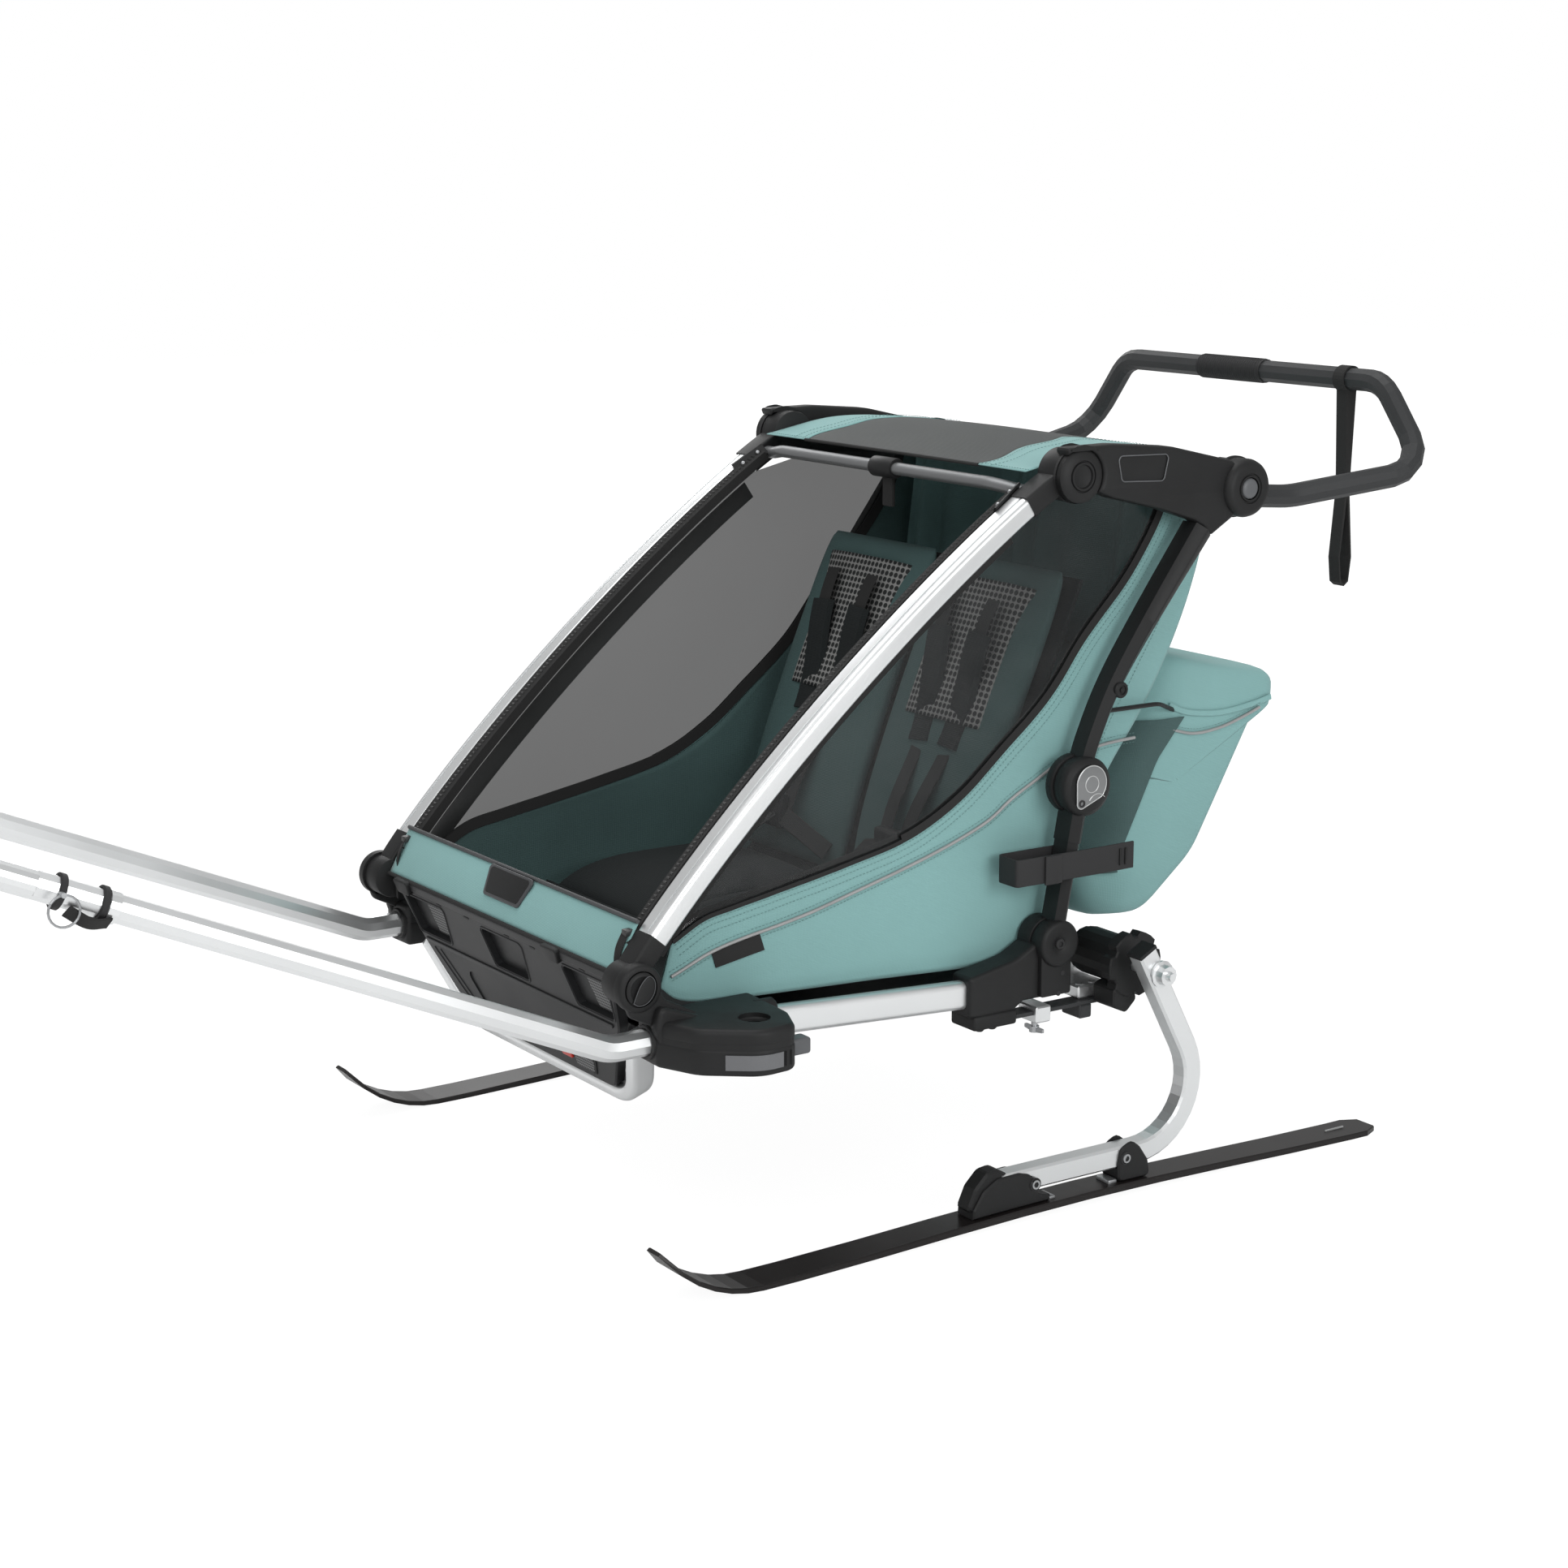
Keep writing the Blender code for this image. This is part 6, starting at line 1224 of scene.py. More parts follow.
class TRAILER_OT_struts(bpy.types.Operator):
    """Rear pillars with knee joint, lock lens and the rubber wheel straps"""

    bl_idname = "trailer.struts"
    bl_label = "Rear Pillars"

    def execute(self, context):
        self.upper()
        self.lower()
        self.wheel_straps()
        return {"FINISHED"}

    def upper(self):
        centre = along(smooth(strut_centre(), 10), 60)
        rings = []
        for i, (place, normal) in enumerate(zip(centre, normals_of(centre))):
            depth = 0.03 + (STRUT_DEPTH + 0.003 - 0.03) * min(1.0, 1.5 * i / 59)
            section = ridge_section(STRUT_INNER_X, STRUT_OUTER_X, depth / 2, 0.009)
            rings.append([(x, *(place + normal * offset)) for x, offset in section])
        bow = loft(rings, plastic())
        tongue = disc(KNEE_RADIUS - 0.003, KNEE, KNEE_INNER_DISC_X + 0.0004, KNEE_OUTER_DISC_X - 0.0004, plastic())
        profile = [(0.0, 0.0), (0.0085, 0.0), (0.0105, 0.002), (0.0105, 0.006), (0.009, 0.0078), (0.0062, 0.0082),
                   (0.0055, 0.0066), (0.0034, 0.0066), (0.003, 0.0082), (0.0, 0.0082)]
        boss = spun(profile, STRUT_OUTER_X - 0.006, by(KNEE, 0.052, 0.118), plastic(), 40)
        pair("rear_pillar_bow", [bow, tongue, boss], "rear_frame", ["rear_pillar_upper"])

    def lower(self):
        low, sleeve_line = ([tuple(Vector(KNEE).lerp(Vector(REAR_HUB), share)) for share in shares]
                            for shares in ((0.1, 0.5, 0.92), (0.12, 0.36)))
        section = ridge_section(STRUT_INNER_X, STRUT_OUTER_X, STRUT_DEPTH / 2 + 0.001, 0.008)
        strut = sweep(low, section, plastic())
        section = ridge_section(STRUT_INNER_X - 0.001, STRUT_OUTER_X + 0.0012, STRUT_DEPTH / 2 + 0.0022, 0.008)
        sleeve = sweep(sleeve_line, section, plastic())
        profile = [(0.0, 0.0), *rim(KNEE_RADIUS, (0.0, 0.0), (0.0, 0.0085), (-0.0025, 0.012), (-0.007, 0.0145),
                                    (-0.01, 0.0132)), (0.0, 0.0132)]
        outer = spun(profile, KNEE_OUTER_DISC_X, KNEE, plastic(), 72)
        inner = disc(KNEE_RADIUS, KNEE, STRUT_INNER_X - 0.002, KNEE_INNER_DISC_X, plastic(), 0.003, 72)
        high_at, low_at = around(KNEE, (0.003, 0.004), (-0.013, -0.019))
        drop = arc(high_at, 0.0235, -48, 172, 30) + arc(low_at, 0.0068, 176, 300, 12)
        face = KNEE_OUTER_DISC_X + 0.0128
        smoke = surface("smoke_lens", (0.16, 0.165, 0.168), 0.14, coat=0.7)
        lens = side_plate(drop, face, face + 0.0028, smoke, 0.0012)
        circle = arc(high_at, 0.0105, 0, 360, 36)[:-1]
        ring = tube(at_x(face + 0.0028, circle), 0.0006, pale_edge(), 2, True)
        edge = tube(at_x(face + 0.002, drop), 0.0008, pale_edge(), 2, True)
        wing = tube(at_x(face + 0.0028, arc(by(KNEE, 0.012, -0.024), 0.015, 40, 150, 14)), 0.0006, pale_edge(), 2)
        profile = [(0.0, 0.0), (0.0048, 0.0), (0.0048, 0.0012), (0.0026, 0.0014), (0.0024, 0.0), (0.0, 0.0)]
        screw = spun(profile, face + 0.0026, low_at, rubber(), 32)
        foot = disc(REAR_HUB_RADIUS - 0.002, REAR_HUB, HUB_LUG_INNER_X + 0.0004, HUB_LUG_OUTER_X - 0.0004, plastic())
        pair("rear_pillar_strut", [strut, sleeve, outer, inner, lens, ring, edge, wing, screw, foot], "struts",
             ["rear_pillar_lower"])

    def wheel_straps(self):
        y, z = (KNEE_Y + REAR_HUB_Y) / 2, (KNEE_Z + REAR_HUB_Z) / 2 + 0.002
        inner, outer = STRUT_INNER_X - 0.0016, STRUT_OUTER_X + 0.0016
        path = [(inner, y + 0.02), (inner, y - 0.092),
                *around((outer, y), (0.0, -0.092), (0.0, -0.04), (-0.001, -0.032), (0.0, -0.022), (0.0, 0.045),
                        (-0.002, 0.097))]
        strip = rounded(path, [0, 0.008, 0.004, 0.006, 0.004, 0.006, 0.05, 0], 6, closed=False)
        loop = plan_plate(band(strip, 0.0026), z - 0.0175, z + 0.0175, rubber(), 0.001)
        lip = around((outer, y), (0.0035, -0.05), (0.0035, -0.03), (0.001, -0.022))
        fold = plan_plate(band(lip, 0.0028), z - 0.0195, z + 0.0175, rubber(), 0.001)
        low, high = Vector((outer + 0.0002, y, z - 0.011)), Vector((outer + 0.0022, y + 0.0035, z + 0.011))
        steps = [Vector((0, step, 0)) for step in (0.072, 0.081)]
        slots = [box(low + step, high + step, plastic(), 0.0008) for step in steps]
        pair("wheel_strap_loop", [loop, fold] + slots, "struts", ["wheel_strap"])


def pale_edge():
    return surface("pale_lens_edge", (0.5, 0.51, 0.51), 0.25, 0.3)


class TRAILER_OT_base(bpy.types.Operator):
    """Rails, pods with hub cups and sockets, twist knobs, release tabs and rear castings"""

    bl_idname = "trailer.base"
    bl_label = "Base Castings"

    def execute(self, context):
        wide, high = RAIL_WIDTH / 2, RAIL_HEIGHT / 2
        rings = []
        for y in (RAIL_FRONT_Y, 0.27, 0.39, RAIL_REAR_Y):
            corners = around((RAIL_X, rail_point(y)[1]), (-wide, -high), (wide, -high), (wide, high), (-wide, high))
            rings.append([(x, y, z) for x, z in rounded(corners, 0.008, 7)])
        pair("side_rail", [loft(rings, metal())], "base", ["base_rail"])
        self.pods()
        self.knobs()
        self.castings()
        return {"FINISHED"}

    def pods(self):
        inner = PANEL_INNER_X + PANEL_THICK + 0.004
        flare = POLE_X + 0.62 * (POD_OUTER_X - POLE_X)
        plan = [(inner, POD_FRONT_Y), (POLE_X + POLE_RADIUS + 0.006, POD_FRONT_Y - 0.002), (flare, POD_FRONT_Y + 0.02),
                *around((POD_OUTER_X, CASTER_Y), (0.0, -0.022), (-0.004, 0.026)), (CASTER_X, POD_REAR_Y - 0.006),
                (inner, POD_REAR_Y)]
        outline = rounded(plan, [0.007, 0.012, 0.05, 0.045, 0.02, 0.02, 0.007], 10)
        lower = plan_plate(outline, POD_BOTTOM_Z, POD_BOTTOM_Z + 0.034, plastic(), 0.006)
        shrunk = [tuple(POD_MIDDLE + (Vector(p) - POD_MIDDLE) * 0.988) for p in outline]
        waist = plan_plate(shrunk, POD_BOTTOM_Z + 0.028, POD_TOP_Z - 0.012, plastic(), 0.001)
        caster = Vector((CASTER_X, CASTER_Y, 0.0))
        dish, bore = (rod(radius, caster + Vector((0, 0, low)), caster + Vector((0, 0, high)), plastic(), edge, steps)
                      for radius, low, high, edge, steps in (
                          (CASTER_DISH, POD_TOP_Z - 0.007, POD_TOP_Z + 0.01, 0.002, 48),
                          (CASTER_BORE, POD_BOTTOM_Z + 0.02, POD_TOP_Z, 0.001, 36)))
        upper = carve(plan_plate(outline, POD_BOTTOM_Z + 0.0345, POD_TOP_Z, plastic(), 0.007), dish, bore)
        profile = rim(POLE_RADIUS, (0.0006, 0.0), (0.004, 0.0), (0.0052, 0.002), (0.006, 0.03))
        socket = turned(profile, (POLE_X, POD_FRONT_Y - 0.004, POLE_Z), (0, 1, 0), plastic())
        profile = [(0.0, 0.0), *rim(CASTER_DISH, (-0.002, 0.0), (0.0036, 0.003), (0.004, 0.018))]
        boss = turned(profile, (CASTER_X, CASTER_Y, POD_BOTTOM_Z - 0.01), (0, 0, 1), plastic())
        glass = surface("grey_reflector", (0.115, 0.118, 0.125), 0.3, coat=0.4, grain=500.0, bump=0.00012)
        strips = [pod_strip(outline, 0.072, 0.136, 0.0012, (0.0085, 0.012, 0.022, 0.0265), 0.0014, glass)]
        start, end = ((RAIL_X + 0.018, POD_REAR_Y + step, POD_TOP_Z - 0.012) for step in (-0.02, 0.01))
        strips.append(rod(0.0125, start, end, plastic(), 0.003, 36))
        for y in (0.1385, 0.1425, 0.1465):
            strips.append(pod_strip(outline, y, y + 0.0014, 0.0016, (0.0085, 0.0265), 0.001, plastic()))
        meshes = [lower, waist, upper, socket, boss] + self.hub_cup() + strips
        pair("side_pod", meshes, "base", ["arm_pod"])
        low = (CASTER_X + 0.014, POD_REAR_Y - 0.03, POD_BOTTOM_Z + 0.012)
        high = (CASTER_X + 0.036, POD_REAR_Y + 0.002, POD_BOTTOM_Z + 0.032)
        key = box(Vector(low), Vector(high), grey_plastic(), 0.004, 4)
        pair("socket_key", [key], "tab", ["release_tab"])

    def hub_cup(self):
        """Cup of the lower front hub with the neck and fin that tie it to the pod."""
        inner = HUB_FACE_X - HUB_PLATE
        profile = [(0.0, 0.0), *rim(FRONT_HUB_RADIUS, (0.0, 0.0), (0.0, 0.0105), (-0.0015, 0.013), (-0.0035, 0.014)),
                   *rim(KNOB_RADIUS, (0.0016, 0.014), (0.001, 0.0085)), (0.0, 0.0085)]
        cup = spun(profile, inner, FRONT_HUB, plastic(), 72)
        line = [by(FRONT_HUB, -0.86 * FRONT_HUB_RADIUS, 0.0), by(FRONT_HUB, -0.012, -0.034),
                (POD_FRONT_Y + 0.002, POLE_Z + POLE_RADIUS + 0.004), (POD_FRONT_Y + 0.03, POD_BOTTOM_Z + 0.012),
                (POD_FRONT_Y + 0.07, POD_TOP_Z - 0.006), by(FRONT_HUB, 0.034, -0.018),
                by(FRONT_HUB, 0.86 * FRONT_HUB_RADIUS, 0.0)]
        neck = side_plate(rounded(line, 0.012, 8), inner, HUB_FACE_X - 0.0025, plastic(), 0.004)
        line = [(POD_FRONT_Y - 0.006, POLE_Z + POLE_RADIUS + 0.006), (POD_FRONT_Y + 0.004, POD_BOTTOM_Z + 0.02),
                (POD_FRONT_Y + 0.075, POD_TOP_Z - 0.008), by(FRONT_HUB, 0.02, -0.022)]
        fin = side_plate(rounded(line, 0.008, 6), HUB_FACE_X - 0.006, HUB_FACE_X + 0.01, plastic(), 0.005)
        return [cup, neck, fin]

    def knobs(self):
        seat = HUB_FACE_X - KNOB_SEAT + GAP
        profile = [(0.0, 0.0), *rim(KNOB_RADIUS, (0.0, 0.0), (0.0, 0.0062), (-0.0015, 0.0078), (-0.004, 0.0084),
                                    (-0.0055, 0.0076)), (0.0, 0.0076)]
        knob = spun(profile, seat, FRONT_HUB, plastic(), 64)
        drop = smooth(around(FRONT_HUB, (-0.0135, -0.0135), (-0.004, 0.006), (0.007, 0.0155), (0.015, 0.009),
                             (0.014, -0.005), (0.005, -0.0155), (-0.006, -0.0175), (-0.0135, -0.0135)), 8)[:-1]
        top = seat + 0.0076
        ridge = side_plate(drop, top - 0.002, top + 0.0044, plastic(), 0.0022)
        edge = tube(at_x(top + 0.0036, drop), 0.0004, grey_plastic(), 1, True)
        pair("hub_knob", [knob, ridge, edge], "knob", ["lock_knob"])

    def castings(self):
        z = rail_point(RAIL_REAR_Y)[1]
        outline = [(RAIL_REAR_Y - 0.026, z - 0.026), (RAIL_REAR_Y - 0.026, z + 0.026), by(REAR_HUB, -0.06, -0.014),
                   by(REAR_HUB, -0.03, 0.002), by(REAR_HUB, 0.022, 0.0), (REAR_HUB_Y + 0.022, BLOCK_TOP_Z + 0.008),
                   (BLOCK_REAR_Y + 0.012, BLOCK_TOP_Z + 0.008), (BLOCK_REAR_Y - 0.006, BLOCK_TOP_Z - 0.003),
                   (BLOCK_FRONT_Y + 0.012, BLOCK_TOP_Z - 0.003)]
        outline = rounded(outline, [0.005, 0.006, 0.06, 0.02, 0.003, 0.004, 0.004, 0.003, 0.004], 8)
        body = side_plate(outline, CASTING_INNER_X, CASTING_OUTER_X + 0.0015, plastic(), 0.005)
        cheek = [by(REAR_HUB, -0.026, -0.008), by(REAR_HUB, 0.022, -0.008), (REAR_HUB_Y + 0.022, BLOCK_TOP_Z + 0.01),
                 (REAR_HUB_Y - 0.026, BLOCK_TOP_Z + 0.01)]
        plate = side_plate(rounded(cheek, 0.004, 5), CASTING_OUTER_X - 0.004, HUB_LUG_OUTER_X + 0.006, plastic(), 0.002)
        profile = [(0.0, 0.0), *rim(REAR_HUB_RADIUS, (0.0, 0.0), (0.0, 0.012), (-0.002, 0.015), (-0.005, 0.016)),
                   (0.0105, 0.0135), (0.0085, 0.0125), (0.0085, 0.012), (0.0, 0.012)]
        hub = spun(profile, HUB_LUG_FACE_X - 0.016, REAR_HUB, plastic(), 72)
        inner = disc(REAR_HUB_RADIUS, REAR_HUB, CASTING_INNER_X, HUB_LUG_INNER_X, plastic(), 0.002, 64)
        profile = [(0.0, 0.0), (0.0068, 0.0), (0.0068, 0.0025), (0.0058, 0.0034), (0.0036, 0.0034), (0.0034, 0.0014),
                   (0.0, 0.0014)]
        bolt = spun(profile, HUB_LUG_FACE_X - 0.004, REAR_HUB, rubber(), 36)
        low, high = (LEAF_X - 0.03, BLOCK_FRONT_Y, BLOCK_BOTTOM_Z), (LEAF_X + 0.02, BLOCK_REAR_Y, BLOCK_TOP_Z)
        mount = box(low, high, plastic(), 0.004, 4)
        studs = []
        for y in (BLOCK_FRONT_Y + 0.02, BLOCK_FRONT_Y + 0.04):
            start, end = ((LEAF_X + 0.004, y, BLOCK_BOTTOM_Z + step) for step in (-0.0055, 0.003))
            studs.append(rod(0.0062, start, end, plastic(), 0.002, 24))
        holes = [disc(0.0032, at, HUB_LUG_OUTER_X + 0.004, HUB_LUG_OUTER_X + 0.0064, rubber(), 0.0004, 20)
                 for at in around(REAR_HUB, (0.008, -0.04), (0.002, -0.066))]
        meshes = [body, plate, hub, inner, bolt, mount] + studs + holes
        pair("rear_socket", meshes, "base", ["rear_casting"])


def pod_strip(outline, start, end, lift, heights, thick, material):
    """Sheet on the pod's outer wall between two y values, at heights above its bottom, pushed out by lift."""
    part = []
    for point in along(list(outline) + [outline[0]], 600):
        if point.x > 0.35 and start <= point.y <= end:
            part.append(tuple(point + (point - POD_MIDDLE).normalized() * lift))
    return sheet_mesh([[(x, y, POD_BOTTOM_Z + h) for x, y in part] for h in heights], thick, material)


def shell_plate(outline, thick, proud, material, edge=0.001, radius=0.004):
    """Small plate on the shell's face, standing proud of it."""
    placing = shell_placing(thick) @ Matrix.Translation((0, 0, -proud))
    return slab(rounded(outline, radius, 5), thick, placing, material, edge)


class TRAILER_OT_shell(bpy.types.Operator):
    """Rim, clips, vents and ledge of the front shell, its bumper, the ski fittings and the pole's tether"""

    bl_idname = "trailer.shell"
    bl_label = "Front Shell"

    def execute(self, context):
        self.front()
        self.bumper()
        self.tethers()
        self.ski_fittings()
        self.grip()
        return {"FINISHED"}

    def front(self):
        mesh = netting("vent_mesh", (0.2, 0.203, 0.205), (0.03, 0.03, 0.031), 0.004, 1.0, math.pi / 2)
        meshes = [shell_plate(trapezium(0.276, 0.27, -0.001, 0.011), 0.006, 0.003, shell_plastic(), 0.002),
                  shell_plate(trapezium(0.24, 0.237, 0.0815, 0.0875), 0.005, 0.0022, shell_plastic())]
        for x in (-0.245, 0.145):
            meshes.append(shell_plate(trapezium(0.02, 0.015, -0.004, 0.016, x), 0.008, 0.008, plastic(), 0.002))
        for x in (-0.16, -0.085, 0.02, 0.085, 0.205):
            slot = trapezium(0.007, 0.006, 0.0145, 0.0172, x)
            meshes.append(shell_plate(slot, 0.002, 0.0006, rubber(), 0.0003, 0.001))
        for sign in (-1, 1):
            patch = [(-0.012, 0.027), (0.028, 0.027), (0.045, 0.046), (0.039, 0.071), (-0.002, 0.071)]
            meshes.append(shell_plate([(0.205 * sign + x, drop) for x, drop in patch], 0.0014, -0.0076, mesh, 0.0004))
        for middle in (-0.205, 0.0, 0.205):
            opening = rounded(trapezium(0.0545, 0.044, 0.0195, 0.0765, middle), 0.007, 5)
            path = [shell_placing(0.0) @ Vector((*place, 0.0)) for place in opening]
            meshes.append(tube(path, 0.0013, shell_plastic(), 2, True))
        lens = surface("red_lens", (0.42, 0.012, 0.02), 0.22, coat=0.5)
        for outline, *rest in (
            ([(0.098, 0.154), (0.156, 0.154), (0.144, 0.181), (0.098, 0.181)], 0.003, 0.0016, plastic(), 0.001),
            ([(0.101, 0.157), (0.151, 0.157), (0.141, 0.178), (0.101, 0.178)], 0.002, 0.0022, mesh, 0.0004),
            ([(0.062, 0.158), (0.093, 0.158), (0.093, 0.171), (0.07, 0.171)], 0.004, 0.0032, lens, 0.001, 0.002),
        ):
            meshes.append(shell_plate(outline, *rest))
        for offset in (0.0, 0.016):
            line = band([(-0.225 + offset, 0.094), (-0.15 + offset, 0.18)], 0.0022)
            placing = shell_placing(0.003) @ Matrix.Translation((0, 0, -0.0012))
            meshes.append(slab(line, 0.003, placing, shell_plastic(), 0.0006))
        piece("shell_fittings", meshes, "base")

    def bumper(self):
        low = SHELL_DROP + BUMPER_WALL / 2 + GAP
        centre = [(SHELL_MID_HALF + 0.016, SHELL_MID_DROP + 0.01), (SHELL_HALF + 0.014, low)]
        centre += [(-x, drop) for x, drop in reversed(centre)]
        path = rounded(centre, [0.0, 0.06, 0.06, 0.0], 12, closed=False)
        bar = slab(band(path, BUMPER_WALL), BUMPER_DEPTH, shell_placing(BUMPER_DEPTH), metal(), 0.0085, rounds=6)
        piece("front_bumper", [bar], "base", ["bumper_tube"])

    def tethers(self):
        ahead = pole_direction().normalized()
        start, end = pole_place(POLE_PIN_REACH - 0.006), pole_place(POLE_PIN_REACH - 0.05)
        profile = rim(POLE_RADIUS, (0.0004, 0.0), (0.0036, 0.001), (0.0036, 0.007), (0.0004, 0.008))
        rings = [turned(profile, at, tuple(ahead), rubber(), 40) for at in (start, end)]
        drop = Vector((0.012, 0.0, -0.017))
        loop = smooth([start + drop, start.lerp(end, 0.5) + drop * 1.35, end + drop], 8)
        strap = ribbon([Vector(p) for p in loop], 0.019, 0.003, webbing(), Vector((0.7, 0.0, -0.7)))
        pair("pole_tether", rings + [strap], "pole")

    def ski_fittings(self):
        """Caps on the ski arms, bolts of shoes and clamps, small plates and the line across the tail."""
        top, corner = Vector((ARM_TOP_Y, ARM_TOP_Z)), Vector((ARM_CORNER_Y, ARM_RUN_Z))
        down = (corner - top).normalized()
        wide, deep = ARM_TUBE_WIDTH / 2 + 0.0004, ARM_TUBE_DEPTH / 2 + 0.0004
        section = around((SKI_X, 0.0), (-wide, -deep), (wide, -deep), (wide, deep), (-wide, deep))
        fittings = [sweep([tuple(top - down * 0.0016), tuple(top + down * 0.003)], section, plastic())]
        bolt = [(0.0, 0.0008), (0.0034, 0.0008), (0.0036, 0.0026), (0.0058, 0.0026), (0.0062, 0.0), (0.0, 0.0)]
        washer = [(0.0066, 0.0), (0.0086, 0.0), (0.0084, 0.001), (0.0068, 0.001)]
        for at in ((0.52, 0.043), (0.6665, 0.048)):
            fittings.append(spun(bolt, SKI_X + CHEEK_WIDTH / 2, at, steel(), 36))
            fittings.append(spun(washer, SKI_X + CHEEK_WIDTH / 2, at, rubber(), 36))
        for front, rear, top in ((0.5445, 0.556, 0.0205), (0.642, 0.656, 0.0215)):
            fittings.append(box((SKI_X - 0.012, front, 0.013), (SKI_X + 0.013, rear, top), steel(), 0.0015))
        fittings.append(box((SKI_X - 0.0008, 1.031, 0.008), (SKI_X + 0.0008, 1.064, 0.0098), pale_edge()))
        pair("ski_fittings", fittings, "base")

    def grip(self):
        """Ribbed sleeve round the middle of the push bar."""
        path = [Vector((x, BAR_REAR_Y, BAR_TOP_Z)) for x in (-0.095, -0.03, 0.035)]
        profile = rim(BAR_RADIUS, (0.001, -0.0008), (0.0019, 0.0), (0.001, 0.0008))
        ribs = [spun(profile, -0.092 + 0.0045 * k, (BAR_REAR_Y, BAR_TOP_Z), rubber(), 32) for k in range(28)]
        piece("grip_sleeve", [tube(path, BAR_RADIUS + 0.0012, rubber(), 8)] + ribs, "handle")


class TRAILER_OT_side_panels(bpy.types.Operator):
    """Side cloth with its film window, bindings, piping and seams"""

    bl_idname = "trailer.side_panels"
    bl_label = "Side Panels"

    def execute(self, context):
        cabin = context.scene.trailer_cabin
        mesh = sheet_mesh(cloth_rows(), cabin.cloth_thick, cloth())
        panels = pair("side_cloth", [mesh], "base", ["side_panel"], SMOOTH)
        # The far window's film is the darker copy of the near one: painted shade.
        soft = [sheet_piece("window_film_left", window_rows(), 0.0, film()),
                sheet_piece("window_film_right", mirrored(window_rows()), 0.0, far_film_in_painted_shade())]
        # Darkened inner sheet just inside the side cloth: painted shade on the cabin's inside.
        rows = [[(x - 0.0032, y, z) for x, y, z in row] for row in cloth_rows()[1:-1]]
        soft += pair("side_inner_painted_shade", [sheet_mesh(rows, 0.0008, shade_darkened_lining())], "base", (), SMOOTH)
        soft += self.bindings(cabin.binding_width)
        soft += self.trims(cabin.piping_radius)
        soften(panels + soft)
        return {"FINISHED"}

    def bindings(self, wide):
        """Black tapes round the window, outside and in."""
        sill = smooth(WINDOW_SILL, 8)
        inner = [p - Vector((0.0052, 0, 0)) for p in on_cloth(beside(sill, 0.001), 0.0, 200)]
        border = beside(pillar_run(0.06, 0.82, 40), -PILLAR_DEPTH / 2 - 0.013)
        tapes = [ribbon(path, width, thick, webbing(), OUTWARD) for path, width, thick in (
            (on_cloth(beside(sill[:40], -0.001), 0.0012, 120), 0.5 * wide, 0.0007),
            (on_cloth(beside(sill[39:], 0.002), 0.0012, 120), wide, 0.0007),
            (at_x(CLOTH_X + 0.0012, border), 0.026, 0.0008),
            (inner, 1.5 * wide, 0.0009))]
        return pair("window_binding", tapes, "base")

    def trims(self, radius):
        """Reflective piping, rows of stitches and the bare tag low down at the front."""
        cord = tube(on_cloth(PIPING_LINE, radius), radius, piping(), 3)
        sill, cord_line = smooth(WINDOW_SILL, 8), smooth(PIPING_LINE, 8)
        seams = [(on_cloth(beside(line, offset), 0.001, 300)) for line, offset in (
            (sill, -0.006), (sill, -0.012), (sill, -0.02), (cord_line, -0.006), (cord_line, 0.006))]
        seams.append(on_cloth(REAR_SEAM, 0.001, 200))

        def tag_place(u, v):
            y, z = 0.13 + 0.068 * u + 0.007 * v, 0.3735 + 0.012 * u - 0.0225 * v
            return (CLOTH_X + panel_bulge(y, z) + 0.0016, y, z)

        tag = sheet_mesh(grid(8, 4, tag_place), 0.001, webbing())
        threads = [stitches(seam, OUTWARD) for seam in seams]
        return pair("side_trim", [cord] + threads + [tag], "base")


def roof_edge(share):
    """Half width of the roof's netting at a place from the front edge to its rear end."""
    return 0.188 + 0.01 * math.sin(7.0 * share + 0.4) + 0.006 * math.sin(19 * share)


